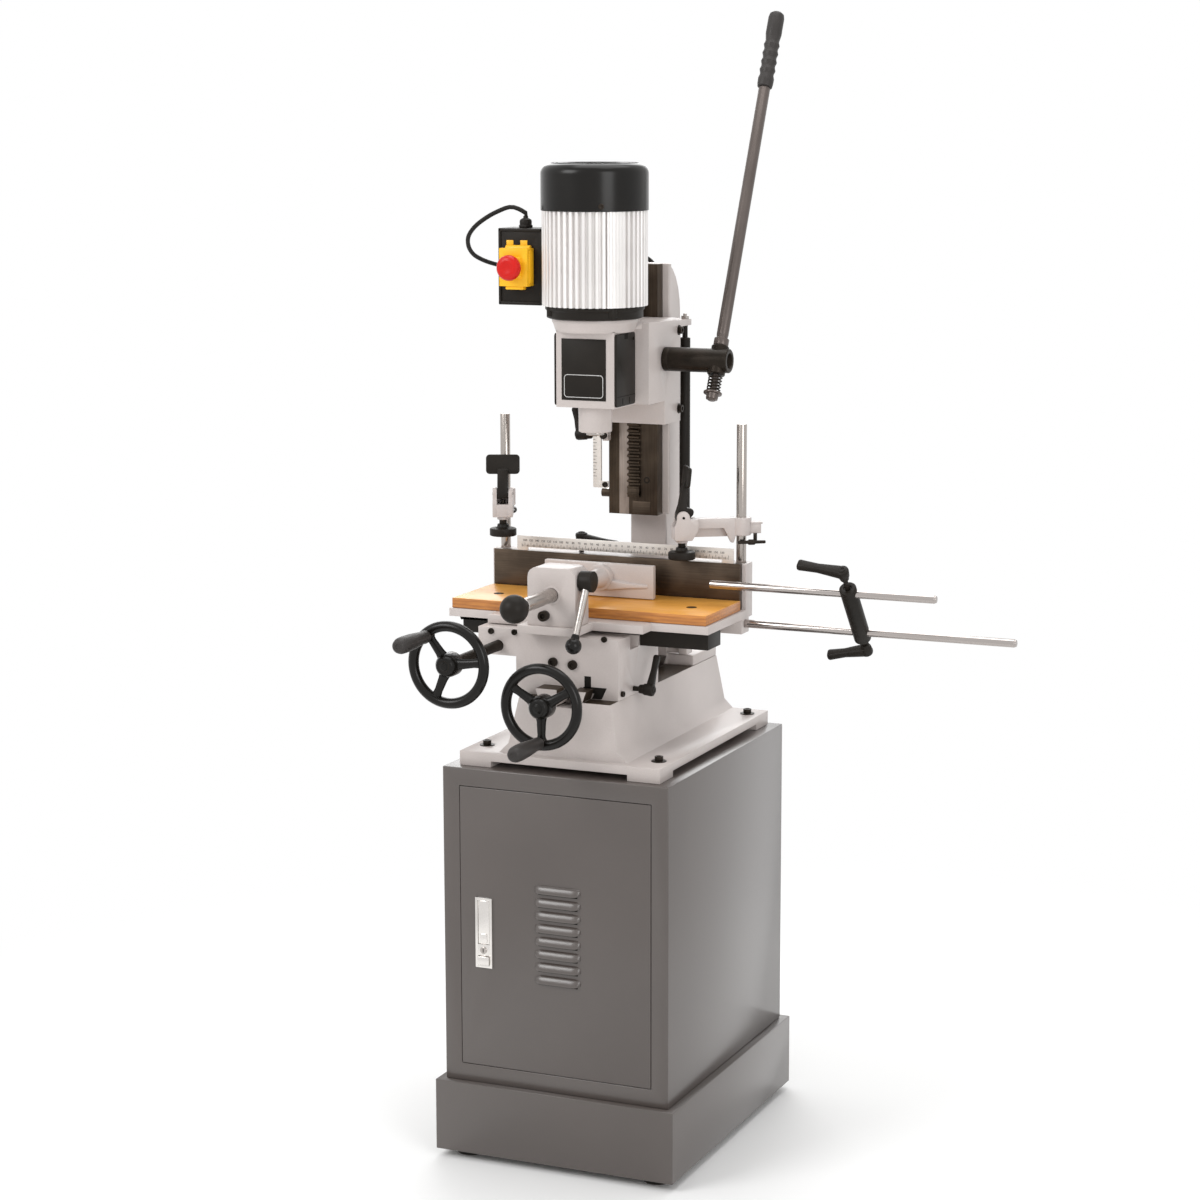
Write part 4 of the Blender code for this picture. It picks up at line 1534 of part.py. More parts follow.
def make_cord():
    """Free cord, its coil on the floor and the plug."""
    coil = coil_points()
    lead = 2 * CORD_RADIUS
    start = Vector((GLAND_X, GLAND_Y, switch_top + 2 * GAP + GLAND_HEIGHT))
    end = coil[0] - Vector((GAP, 0, 0))
    route = [start + Vector((0, 0, lead))] + [Vector(point) for point in CORD_ROUTE]
    route.append(end - Vector((lead, 0, 0)))
    cord = [start] + smooth_route(route, CORD_POINTS - 2) + [end]
    tube("mains_cord", cord, CORD_RADIUS, 2, "rubber")
    tube("cord_coil", coil, CORD_RADIUS, 1, "rubber")
    print("cord, least gap to itself, mm:", round(least_self_gap(cord, CORD_RADIUS) * 1000, 2))
    print("coil, least gap between loops, mm:", round(least_self_gap(coil, CORD_RADIUS) * 1000, 2))
    print("cord length, m:", round(path_length(cord), 3), "coil length, m:", round(path_length(coil), 3))

    start = coil[-1] + Vector((GAP, 0, 0))
    neck_end = start.x + PLUG_NECK
    half_height = plug_z - floor_z - GAP
    neck = rod(start, start + Vector((PLUG_NECK + SINK, 0, 0)), PLUG_NECK_RADIUS)
    rings = []
    for along, shares in ((0, PLUG_SMALL_SHARES), (PLUG_CONE_SHARE, PLUG_LARGE_SHARES),
        (1, PLUG_LARGE_SHARES)):
        wide, high = PLUG_HALF_WIDTH * shares[0], half_height * shares[1]
        x = neck_end + PLUG_LENGTH * along
        rings.append([(x, start.y + a * wide, plug_z + b * high) for a,
            b in ((-1, -1), (1, -1), (1, 1), (-1, 1))])
    body = lofted(rings)
    face = neck_end + PLUG_LENGTH
    pins = []
    for across, up in PLUG_PIN_SHARES:
        y, z = start.y + across * PLUG_PIN_SPACING, plug_z + up * PLUG_PIN_SPACING
        pins.append(rod((face - SINK, y, z), (face + PLUG_PIN_LENGTH, y, z), PLUG_PIN_RADIUS, 8))
    piece("plug", united(neck, body, *pins), "rubber")


def machine_empty():
    """The empty that puts the origin on the floor, in the middle of the machine."""
    right = LOWER_ROD_LEFT + LOWER_ROD_LENGTH
    front = TRAVERSE_WHEEL_Y - GRIP_STAND - GRIP_LENGTH
    back = pinion_y + (LEVER_ROD_LENGTH + LEVER_GRIP_LENGTH) * math.sin(LEVER_LEAN)
    empty = linked("machine", None)
    empty.location = (-(table_left + right) / 2, -(front + back) / 2, FOOT_HEIGHT)
    return empty


clear_scene()
machine = machine_empty()
make_cabinet()
make_base()
make_column()
make_headstock()
make_chuck_doors()
make_motor()
make_switch()
make_gas_tube()
make_depth_stop()
make_feed()
make_saddle()
make_drives()
make_table()
make_clamp()
make_hold_down("right", RIGHT_POST_X, table_top_z + RIGHT_ARM_RISE, RIGHT_ARM_ANGLE, RIGHT_ARM_REACH)
make_hold_down("left", LEFT_POST_X, table_top_z + LEFT_ARM_RISE, LEFT_ARM_ANGLE, LEFT_ARM_REACH)
make_side_stop()
make_cord()
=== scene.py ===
"""Visual model of a floor-standing mortiser on a steel cabinet.

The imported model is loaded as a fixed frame. Each sub-assembly is a class that models its own
pieces and hangs them on the bodies of the frame. Its sizes are in millimetres from one point,
which lies midway between the plinth's sides, in line with the front of the column's way, and
level with the top of the feet. Finishes are small frozen classes that build their own nodes.
"""
import logging
import math
from dataclasses import dataclass
from enum import Enum
from typing import Callable, Optional, Sequence

import bmesh
import bpy
from mathutils import Matrix, Vector


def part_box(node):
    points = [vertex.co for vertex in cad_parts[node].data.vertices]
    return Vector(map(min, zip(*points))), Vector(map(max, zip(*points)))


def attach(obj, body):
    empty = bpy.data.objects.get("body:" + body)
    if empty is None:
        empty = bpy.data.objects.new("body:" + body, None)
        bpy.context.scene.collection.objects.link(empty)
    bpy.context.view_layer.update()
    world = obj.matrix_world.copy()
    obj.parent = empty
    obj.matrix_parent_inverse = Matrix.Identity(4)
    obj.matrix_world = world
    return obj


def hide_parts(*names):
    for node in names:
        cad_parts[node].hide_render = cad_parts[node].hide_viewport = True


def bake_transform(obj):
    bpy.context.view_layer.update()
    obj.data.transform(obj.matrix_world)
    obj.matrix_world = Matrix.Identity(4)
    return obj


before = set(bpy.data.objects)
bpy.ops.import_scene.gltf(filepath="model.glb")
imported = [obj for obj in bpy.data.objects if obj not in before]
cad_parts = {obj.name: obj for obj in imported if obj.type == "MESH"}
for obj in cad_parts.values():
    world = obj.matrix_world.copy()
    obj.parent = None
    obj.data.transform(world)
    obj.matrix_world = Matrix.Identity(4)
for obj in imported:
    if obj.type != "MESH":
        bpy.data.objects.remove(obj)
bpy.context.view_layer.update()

LOG = logging.getLogger("mortiser")
MM = 0.001
FEET_HEIGHT = 0.012
WAY_TO_PLINTH_BACK = 0.175

Point = Sequence[float]
Colour = tuple[float, float, float]
Thing = bpy.types.Object

low_plinth, high_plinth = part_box("plinth")
ORIGIN = Vector(((low_plinth.x + high_plinth.x) / 2, high_plinth.y - WAY_TO_PLINTH_BACK,
                 low_plinth.z + FEET_HEIGHT))
FORWARD = (0, -1, 0)


def place(point: Point) -> Vector:
    """Turn a place on the machine in millimetres into a point of the frame in metres."""
    return Vector(point) * MM + ORIGIN


class Axis(Enum):
    """The three directions of the machine."""

    X = (1, 0, 0)
    Y = (0, 1, 0)
    Z = (0, 0, 1)

    def put(self, across: float, up: float, along: float) -> Vector:
        """Place a flat pair at a distance along this axis.

        Args:
            across: The first of the pair.
            up: The second of the pair.
            along: The distance along the axis.

        Returns:
            The point.
        """
        if self is Axis.X:
            return Vector((along, across, up))
        if self is Axis.Y:
            return Vector((across, along, up))
        return Vector((across, up, along))


class Grain(Enum):
    """Which way the fine marks of a finish run, as the stretch of its noise."""

    EVEN = (1.0, 1.0, 1.0)
    ALONG_X = (0.03, 1.0, 1.0)
    ALONG_Z = (1.0, 1.0, 0.03)


class Value:
    """A socket of a material's nodes that Python expressions can work on."""

    def __init__(self, tree: "Tree", socket: bpy.types.NodeSocket) -> None:
        """Keep the socket and the tree that it belongs to."""
        self.tree = tree
        self.socket = socket

    def _maths(self, operation: str, first: object, second: object) -> "Value":
        """Add one Math node and return its result."""
        return self.tree.add("ShaderNodeMath", {"operation": operation}, {0: first, 1: second})

    def __add__(self, other: object) -> "Value":
        """Add two values."""
        return self._maths("ADD", self, other)

    def __radd__(self, other: object) -> "Value":
        """Add a value to a number."""
        return self._maths("ADD", other, self)

    def __sub__(self, other: object) -> "Value":
        """Subtract from this value."""
        return self._maths("SUBTRACT", self, other)

    def __rsub__(self, other: object) -> "Value":
        """Subtract this value from a number."""
        return self._maths("SUBTRACT", other, self)

    def __mul__(self, other: object) -> "Value":
        """Multiply two values."""
        return self._maths("MULTIPLY", self, other)

    def __rmul__(self, other: object) -> "Value":
        """Multiply a number by this value."""
        return self._maths("MULTIPLY", other, self)

    def __truediv__(self, other: object) -> "Value":
        """Divide this value."""
        return self._maths("DIVIDE", self, other)

    def step(self, low: float, high: float) -> "Value":
        """Rise smoothly from 0 at one number to 1 at another.

        Args:
            low: Where it is still 0.
            high: Where it has reached 1.

        Returns:
            A value from 0 to 1.
        """
        settings = {"interpolation_type": "SMOOTHSTEP"}
        return self.tree.add("ShaderNodeMapRange", settings,
                             {"Value": self, "From Min": low, "From Max": high})


class Tree:
    """The nodes of one material, with its shader."""

    def __init__(self, name: str) -> None:
        """Make an empty material that holds one shader.

        Args:
            name: The material's name.
        """
        self.material = bpy.data.materials.new(name)
        self.material.use_nodes = True
        self.tree = self.material.node_tree
        self.shader = self.tree.nodes["Principled BSDF"]
        self.coordinates = self.tree.nodes.new("ShaderNodeTexCoord")

    def add(self, kind: str, settings: Optional[dict] = None, sockets: Optional[dict] = None,
            output: object = 0) -> Value:
        """Add one node.

        Args:
            kind: The node's type.
            settings: Its own settings, set first.
            sockets: Numbers, colours or values for its inputs.
            output: The output that is wanted.

        Returns:
            The chosen output as a value.
        """
        node = self.tree.nodes.new(kind)
        for label, setting in (settings or {}).items():
            setattr(node, label, setting)
        for label, given in (sockets or {}).items():
            self.feed(node.inputs[label], given)
        return Value(self, node.outputs[output])

    def feed(self, socket: bpy.types.NodeSocket, given: object) -> None:
        """Link a value to a socket, or set a plain number or colour on it.

        Args:
            socket: The socket to fill.
            given: The value to link, or what to set.
        """
        if isinstance(given, Value):
            self.tree.links.new(given.socket, socket)
        else:
            socket.default_value = given

    def shade(self, **sockets: object) -> None:
        """Feed the shader's sockets, with spaces in their names written as underscores."""
        for label, given in sockets.items():
            self.feed(self.shader.inputs[label.replace("_", " ")], given)

    def stretched(self, stretch: Point) -> Value:
        """Object coordinates, stretched by a factor on each axis."""
        place_of = Value(self, self.coordinates.outputs["Object"])
        return self.add("ShaderNodeMapping", {}, {"Vector": place_of, "Scale": tuple(stretch)})

    def noise(self, scale: float, detail: float = 3.0, stretch: Point = (1, 1, 1)) -> Value:
        """Cloudy noise in object coordinates."""
        sockets = {"Vector": self.stretched(stretch), "Scale": scale, "Detail": detail}
        return self.add("ShaderNodeTexNoise", {}, sockets)

    def mixed(self, share: object, first: object, second: object) -> Value:
        """Mix two colours by a share.

        Args:
            share: 0 for the first colour and 1 for the second.
            first: A colour, or a value that holds one.
            second: The other colour.

        Returns:
            The mixed colour.
        """
        node = self.tree.nodes.new("ShaderNodeMix")
        node.data_type = "RGBA"
        self.feed(node.inputs[0], share)
        for socket, given in ((node.inputs[6], first), (node.inputs[7], second)):
            self.feed(socket, given if isinstance(given, Value) else (*given, 1.0))
        return Value(self, node.outputs[2])

    def relief(self, height: Value, depth: float, strength: float = 1.0) -> Value:
        """A normal bumped by a height."""
        return self.add("ShaderNodeBump", {}, {"Height": height, "Distance": depth, "Strength": strength})


@dataclass(frozen=True)
class Finish:
    """A surface with cloudy tone, fine grain and a little relief.

    Its tone runs between light and dark, in patches and grains of the two noises' scales. Its
    roughness varies by spread, its grain stands as high as depth in metres, and shine is how
    strongly it mirrors. A label tells finishes of one slot apart.
    """

    slot: str
    light: Colour
    dark: Colour
    roughness: float
    spread: float = 0.10
    metallic: float = 0.0
    coat: float = 0.0
    patches: float = 16.0
    grain: float = 900.0
    way: Grain = Grain.EVEN
    depth: float = 0.00004
    label: str = ""
    shine: float = 0.5

    def material(self) -> bpy.types.Material:
        """Build the finish's nodes, or find them if they are built.

        Returns:
            The finish's one material.
        """
        name = "finish_" + (self.label or self.slot)
        found = bpy.data.materials.get(name)
        return found or self.build(Tree(name))

    def build(self, tree: Tree) -> bpy.types.Material:
        """Colour, gloss and relief from two noises.

        Args:
            tree: The empty material.

        Returns:
            The material with its nodes.
        """
        broad = tree.noise(self.patches, 4.0)
        fine = tree.noise(self.grain, 2.0, self.way.value)
        share = (broad * 0.65 + fine * 0.35).step(0.3, 0.7)
        rough = self.roughness + (fine - 0.5) * self.spread + (broad - 0.5) * self.spread
        tree.shade(Base_Color=tree.mixed(share, self.dark, self.light), Roughness=rough)
        tree.shade(Metallic=self.metallic, Coat_Weight=self.coat, Coat_Roughness=0.25)
        tree.shade(Specular_IOR_Level=self.shine)
        tree.shade(Normal=tree.relief(fine, self.depth))
        return tree.material


@dataclass(frozen=True)
class Beech(Finish):
    """Varnished beech: staves along the board, fine pores, and layered edges painted darker as shade."""

    # Two tones of the board's edges, darker than its top as painted shade.
    edge_light: Colour = (0.60, 0.24, 0.05)
    edge_dark: Colour = (0.36, 0.125, 0.025)
    stave: float = 0.031

    def build(self, tree: Tree) -> bpy.types.Material:
        """Grain, staves and layers of the board, with painted shade on its edges.

        Args:
            tree: The empty material.

        Returns:
            The material with its nodes.
        """
        where = Value(tree, tree.coordinates.outputs["Object"])
        parts = tree.tree.nodes.new("ShaderNodeSeparateXYZ")
        tree.feed(parts.inputs[0], where)
        across = Value(tree, parts.outputs["Y"])
        row = tree.add("ShaderNodeMath", {"operation": "FLOOR"}, {0: across / self.stave})
        tone = tree.add("ShaderNodeTexWhiteNoise", {"noise_dimensions": "1D"}, {"W": row})
        long_grain = tree.noise(34.0, 5.0, (0.9, 9.0, 9.0))
        pores = tree.noise(420.0, 3.0, (0.06, 1.0, 1.0))
        share = (long_grain * 0.9 + pores * 0.25 + tone * 0.22 - 0.12).step(0.28, 0.85)
        top = tree.mixed(share, self.dark, self.light)
        layers = tree.add("ShaderNodeTexWave", {"bands_direction": "Z"},
                          {"Vector": where, "Scale": 60.0, "Distortion": 1.5, "Detail": 2.0,
                           "Detail Scale": 30.0}, "Fac")
        side_share = (layers * 0.15 + long_grain * 0.95 - 0.05).step(0.25, 0.8)
        side = tree.mixed(side_share, self.edge_dark, self.edge_light)
        # Faces that don't face up take the darker edge colours: painted shade, laid over the edges' real
        # layers and grain.
        normal = tree.tree.nodes.new("ShaderNodeSeparateXYZ")
        tree.feed(normal.inputs[0], Value(tree, tree.coordinates.outputs["Normal"]))
        facing_up = Value(tree, normal.outputs["Z"]).step(0.3, 0.8)
        tree.shade(Base_Color=tree.mixed(facing_up, side, top),
                   Roughness=self.roughness + (pores - 0.5) * 0.15)
        tree.shade(Coat_Weight=self.coat, Coat_Roughness=0.15, Normal=tree.relief(pores, self.depth))
        return tree.material


CAST_PAINT = Finish("grey_paint", (0.555, 0.498, 0.474), (0.490, 0.436, 0.413), roughness=0.36, coat=0.15,
                    patches=11.0, grain=620.0, depth=0.00009)
SHEET_PAINT = Finish("cabinet_paint", (0.077, 0.062, 0.055), (0.065, 0.052, 0.046), roughness=0.34,
                     spread=0.08, coat=0.75, patches=5.0, grain=1400.0, depth=0.00003)
GROUND = Finish("ground_steel", (0.101, 0.073, 0.052), (0.052, 0.037, 0.026), roughness=0.36, spread=0.16,
                metallic=0.85, patches=22.0, grain=700.0, way=Grain.ALONG_X, depth=0.00002)
WAY_STEEL = Finish("ground_steel", (0.085, 0.062, 0.043), (0.036, 0.025, 0.017), roughness=0.42,
                   spread=0.18, metallic=0.7, patches=20.0, grain=500.0, way=Grain.ALONG_Z, depth=0.00003,
                   label="way_steel", shine=0.3)
WAY_STRIP = Finish("ground_steel", (0.38, 0.32, 0.28), (0.22, 0.18, 0.155), roughness=0.36, spread=0.16,
                   metallic=0.7, patches=26.0, grain=500.0, way=Grain.ALONG_Z, depth=0.00003,
                   label="way_strip")
BLACK = Finish("black_plastic", (0.0075, 0.0062, 0.0050), (0.0050, 0.0042, 0.0034), roughness=0.24,
               spread=0.08, coat=0.1, patches=25.0, grain=1200.0, depth=0.00002, shine=0.2)
SATIN_BLACK = Finish("black_plastic", (0.016, 0.0125, 0.0095), (0.010, 0.0080, 0.0060), roughness=0.46,
                     spread=0.12, patches=25.0, grain=1500.0, label="satin_black", shine=0.18)
OXIDE = Finish("black_plastic", (0.034, 0.026, 0.020), (0.014, 0.011, 0.008), roughness=0.38, spread=0.14,
               metallic=0.55, patches=30.0, depth=0.00002, label="black_oxide", shine=0.18)
GRIP = Finish("grip_grey", (0.036, 0.031, 0.029), (0.024, 0.021, 0.019), roughness=0.48, spread=0.12,
              patches=40.0, grain=1800.0, depth=0.00005, shine=0.35)
CHROME = Finish("chrome", (0.43, 0.39, 0.36), (0.40, 0.365, 0.335), roughness=0.20, spread=0.02,
                metallic=1.0, patches=20.0, grain=500.0, way=Grain.ALONG_Z, depth=0.0000006)
CHROME_SIDE = Finish("chrome", (0.46, 0.42, 0.40), (0.43, 0.395, 0.375), roughness=0.14, spread=0.03,
                     metallic=1.0, patches=20.0, grain=500.0, way=Grain.ALONG_X, depth=0.0000006,
                     label="chrome_side")
BRIGHT = Finish("chrome", (0.80, 0.77, 0.74), (0.68, 0.65, 0.62), roughness=0.16, spread=0.08,
                metallic=1.0, patches=30.0, depth=0.00001, label="bright_chrome")
LEVER_STEEL = Finish("chrome", (0.125, 0.103, 0.093), (0.108, 0.088, 0.079), roughness=0.34, spread=0.06,
                     metallic=0.6, patches=24.0, depth=0.00001, label="lever_steel")
STEEL = Finish("steel", (0.48, 0.445, 0.42), (0.42, 0.39, 0.365), roughness=0.28, spread=0.05,
               metallic=1.0, patches=30.0, grain=1000.0, depth=0.0000008)
RULE_STEEL = Finish("steel", (0.70, 0.655, 0.61), (0.60, 0.56, 0.52), roughness=0.38, metallic=0.3,
                    patches=14.0, way=Grain.ALONG_X, depth=0.00001, label="rule_steel")
# Near-black finish for printed marks, and for painted shade in slots, gaps, holes and openings.
MARKS_AND_SHADE = Finish("black_plastic", (0.014, 0.012, 0.010), (0.009, 0.008, 0.007), roughness=0.7, spread=0.05,
               label="marks", shine=0.1)
ALUMINIUM = Finish("aluminium", (0.86, 0.835, 0.82), (0.79, 0.765, 0.75), roughness=0.36, metallic=0.35,
                   patches=14.0, grain=600.0, way=Grain.ALONG_Z, depth=0.00002)
YELLOW = Finish("yellow", (0.95, 0.52, 0.015), (0.88, 0.46, 0.012), roughness=0.36, spread=0.08, coat=0.1,
                patches=30.0, grain=1300.0, depth=0.00003, shine=0.3)
RED = Finish("red", (0.62, 0.012, 0.008), (0.55, 0.010, 0.007), roughness=0.32, spread=0.08, coat=0.1,
             patches=30.0, grain=1300.0, depth=0.00003, shine=0.2)
RUBBER = Finish("rubber", (0.016, 0.0135, 0.011), (0.010, 0.0085, 0.007), roughness=0.55, spread=0.12,
                patches=60.0, grain=1600.0, shine=0.18)
WOOD = Beech("wood", (0.88, 0.42, 0.075), (0.74, 0.325, 0.050), roughness=0.36, coat=0.15, depth=0.00002,
             shine=0.4)
PLATE_LINE = Finish("steel", (0.55, 0.54, 0.53), (0.48, 0.47, 0.46), roughness=0.4, spread=0.05,
                    label="plate_line")


class Bench:
    """Modelling moves that every sub-assembly shares. Sizes are in millimetres."""

    sides = 40

    @staticmethod
    def clear() -> None:
        """Leave edit mode and select nothing."""
        active = bpy.context.view_layer.objects.active
        if active is not None and active.mode != "OBJECT":
            bpy.ops.object.mode_set(mode="OBJECT")
        for shown in bpy.context.selected_objects:
            shown.select_set(False)

    @classmethod
    def pick(cls, piece: Thing) -> None:
        """Select one piece alone and make it active.

        Args:
            piece: The piece to select.
        """
        cls.clear()
        piece.select_set(True)
        bpy.context.view_layer.objects.active = piece

    @classmethod
    def edged(cls, piece: Thing, width: float, segments: int = 2, sharp: float = 40.0) -> Thing:
        """Round a piece's sharp edges and smooth its faces.

        Args:
            piece: The mesh to finish.
            width: The width of its rounded edges, or 0 for none.
            segments: Steps across each rounded edge.
            sharp: The least angle of an edge that counts as sharp, in degrees.

        Returns:
            The same piece.
        """
        cls.pick(piece)
        if width:
            bevel = piece.modifiers.new("edges", "BEVEL")
            bevel.width = width * MM
            bevel.segments = segments
            bevel.limit_method = "ANGLE"
            bevel.angle_limit = math.radians(sharp)
            bpy.ops.object.modifier_apply(modifier=bevel.name)
        bpy.ops.object.shade_smooth_by_angle(angle=math.radians(sharp))
        return piece

    @classmethod
    def skinned(cls, name: str, rings: Sequence[Sequence[Point]], bevel: float = 0.0,
                closed: bool = False, sharp: float = 40.0) -> Thing:
        """Extrude one ring of points through others.

        Args:
            name: The piece's name.
            rings: Rows of as many points each, in millimetres.
            bevel: The width of its rounded edges.
            closed: Join the last ring to the first in place of capping both.
            sharp: The least angle of an edge that is rounded and kept sharp.

        Returns:
            A closed mesh.
        """
        cls.clear()
        stations = [[place(point) for point in ring] for ring in rings]
        fill = "NOTHING" if closed else "NGON"
        bpy.ops.mesh.primitive_circle_add(vertices=len(rings[0]), radius=1.0, fill_type=fill)
        piece = bpy.context.active_object
        piece.name = name
        for corner, point in zip(piece.data.vertices, stations[0]):
            corner.co = point
        bpy.ops.object.mode_set(mode="EDIT")
        bpy.ops.mesh.select_mode(type="VERT")
        bpy.ops.mesh.select_all(action="SELECT")
        for ring in stations[1:] + ([stations[0]] if closed else []):
            bpy.ops.mesh.extrude_region_move(TRANSFORM_OT_translate={"value": (0, 0, 0)})
            cls.move_ring(piece, ring)
        bpy.ops.mesh.select_all(action="SELECT")
        bpy.ops.mesh.remove_doubles(threshold=0.000002)
        bpy.ops.mesh.normals_make_consistent(inside=False)
        bpy.ops.object.mode_set(mode="OBJECT")
        return cls.edged(piece, bevel, sharp=sharp)

    @staticmethod
    def move_ring(piece: Thing, ring: Sequence[Vector]) -> None:
        """Put the ring that was just extruded in its place.

        Args:
            piece: The mesh in edit mode.
            ring: Where its newest corners go, in metres.
        """
        shape = bmesh.from_edit_mesh(piece.data)
        chosen = [corner for corner in shape.verts if corner.select]
        chosen.sort(key=lambda corner: corner.index)
        for corner, point in zip(chosen, ring):
            corner.co = point
        bmesh.update_edit_mesh(piece.data)

    @classmethod
    def turned(cls, name: str, profile: Sequence[Point], start: Point, way: Point, bevel: float = 0.0,
               sides: int = 0, closed: bool = False) -> Thing:
        """Turn a profile about a line through a place.

        Args:
            name: The piece's name.
            profile: Pairs of distance along the line and radius.
            start: The place that distances are measured from.
            way: The direction of the line.
            bevel: The width of its rounded edges.
            sides: Steps round the line, or 0 for the usual number.
            closed: Join the profile's end to its start, as for a ring.

        Returns:
            A closed mesh.
        """
        turn = Vector(way).to_track_quat("Z", "Y").to_matrix()
        count = sides or cls.sides
        rings = []
        for along, radius in profile:
            ring = []
            for side in range(count):
                angle = math.tau * side / count
                spoke = Vector((radius * math.cos(angle), radius * math.sin(angle), along))
                ring.append(Vector(start) + turn @ spoke)
            rings.append(ring)
        return cls.skinned(name, rings, bevel, closed, 30.0)

    @classmethod
    def slab(cls, name: str, x: Point, y: Point, z: Point, bevel: float = 0.5) -> Thing:
        """A block between two limits on each axis, with rounded edges."""
        corners = ((x[0], y[0]), (x[1], y[0]), (x[1], y[1]), (x[0], y[1]))
        return cls.skinned(name, [[(a, b, level) for a, b in corners] for level in z], bevel)

    @classmethod
    def pushed(cls, name: str, outline: Sequence[Point], limits: Point,
               put: Callable[[float, float, float], Point], bevel: float = 0.5) -> Thing:
        """An outline of flat pairs, pushed between two levels by the rule that places them."""
        return cls.skinned(name, [[put(a, b, level) for a, b in outline] for level in limits], bevel)

    @classmethod
    def prism(cls, name: str, outline: Sequence[Point], limits: Point, axis: Axis,
              bevel: float = 0.5) -> Thing:
        """An outline of flat pairs, pushed along an axis."""
        return cls.pushed(name, outline, limits, axis.put, bevel)

    @classmethod
    def bar(cls, name: str, stations: Sequence[Point], start: Point, way: Point, flat: Point,
            bevel: float = 0.0) -> Thing:
        """A bar of oval sections.

        Args:
            name: The piece's name.
            stations: Distance, half width and half thickness of each section.
            start: The place that distances are measured from.
            way: The direction of the bar.
            flat: The direction of the sections' thickness.
            bevel: The width of its rounded edges.

        Returns:
            A closed mesh.
        """
        way = Vector(way).normalized()
        thick = (Vector(flat) - way * way.dot(Vector(flat))).normalized()
        wide = thick.cross(way)
        rings = []
        for along, width, depth in stations:
            ring = []
            for step in range(20):
                angle = math.tau * step / 20
                across = math.copysign(abs(math.cos(angle)) ** 0.6, math.cos(angle)) * width
                up = math.copysign(abs(math.sin(angle)) ** 0.6, math.sin(angle)) * depth
                ring.append(Vector(start) + way * along + wide * across + thick * up)
            rings.append(ring)
        return cls.skinned(name, rings, bevel)

    @classmethod
    def joined(cls, name: str, pieces: Sequence[Thing]) -> Thing:
        """Join pieces of one finish into one mesh.

        Args:
            name: The joined piece's name.
            pieces: What to join.

        Returns:
            The joined piece.
        """
        cls.pick(pieces[0])
        for piece in pieces:
            piece.select_set(True)
        bpy.ops.object.join()
        pieces[0].name = name
        return pieces[0]

    @classmethod
    def carried(cls, node: str, bevel: float,
                reshape: Optional[Callable[[Vector], Vector]] = None) -> Thing:
        """Copy a solid of the frame, merge its faces, and round its edges.

        Args:
            node: The solid's name.
            bevel: The width of its rounded edges.
            reshape: A rule that moves its corners before that, in millimetres.

        Returns:
            The copy, free of the frame.
        """
        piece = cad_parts[node].copy()
        piece.data = piece.data.copy()
        for label in list(piece.keys()):
            del piece[label]
        piece.parent = None
        piece.name = node + "_dressed"
        bpy.context.scene.collection.objects.link(piece)
        cls.pick(piece)
        bpy.ops.object.mode_set(mode="EDIT")
        bpy.ops.mesh.select_all(action="SELECT")
        bpy.ops.mesh.remove_doubles(threshold=0.000005)
        bpy.ops.mesh.dissolve_limited(angle_limit=math.radians(0.6))
        bpy.ops.object.mode_set(mode="OBJECT")
        for corner in piece.data.vertices if reshape else ():
            corner.co = place(reshape((corner.co - ORIGIN) / MM))
        return cls.edged(piece, bevel)

    @classmethod
    def ball(cls, centre: float, radius: float, neck: float, steps: int = 12) -> list[Point]:
        """Profile of a ball, from the neck that it stands on to its far pole.

        Args:
            centre: The distance of its centre.
            radius: The ball's radius.
            neck: The neck's radius.
            steps: Steps from the neck to the pole.

        Returns:
            Pairs of distance and radius.
        """
        first = math.asin(neck / radius)
        last = math.pi * 0.985
        angles = [first + (last - first) * step / steps for step in range(steps + 1)]
        return [(centre - radius * math.cos(angle), radius * math.sin(angle)) for angle in angles]

    @classmethod
    def bolt(cls, name: str, seat: Point, way: Point, head: float, height: float,
             washer: float = 0.0) -> Thing:
        """A socket-head screw's head, on its washer where it has one.

        Args:
            name: The piece's name.
            seat: The place that it is screwed down on.
            way: The direction that it stands up in.
            head: The head's radius.
            height: The head's height.
            washer: The washer's radius, or 0 for none.

        Returns:
            The head and washer as one mesh.
        """
        parts = []
        foot = 0.0
        if washer:
            parts.append(cls.turned(name + "_washer", [(-0.5, washer), (1.4, washer)], seat, way, 0.3,
                                    28))
            foot = 1.2
        profile = [(foot, head), (foot + height, head), (foot + height, head * 0.55),
                   (foot + height * 0.45, head * 0.5)]
        parts.append(cls.turned(name + "_head", profile, seat, way, 0.35, 24))
        return cls.joined(name, parts)


def fitted(piece: Thing, finish: Finish, body: str, *nodes: str) -> Thing:
    """Give a piece its finish, the body it rides on and the solids it stands for.

    Args:
        piece: The finished mesh.
        finish: What its surface is like.
        body: The frame's body that it moves with.
        nodes: The solids that it replaces.

    Returns:
        The same piece.
    """
    Bench.clear()
    piece.data.materials.clear()
    piece.data.materials.append(finish.material())
    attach(piece, body)
    if nodes:
        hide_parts(*nodes)
    LOG.info("%s rides on %s with %d faces", piece.name, body, len(piece.data.polygons))
    return piece


def dressed(node: str, finish: Finish, body: str, bevel: float,
            reshape: Optional[Callable[[Vector], Vector]] = None) -> Thing:
    """Stand a softened copy of a solid in its place."""
    return fitted(Bench.carried(node, bevel, reshape), finish, body, node)


def painted(piece: Thing, finish: Finish, rule: Callable[[Vector, Vector], bool]) -> None:
    """Give another finish to the faces that pass a rule.

    Args:
        piece: The piece, which has its own finish.
        finish: The other finish.
        rule: Says yes or no to a face's middle, in millimetres, and its outward direction.
    """
    piece.data.materials.append(finish.material())
    for face in piece.data.polygons:
        if rule((face.center - ORIGIN) / MM, face.normal):
            face.material_index = 1


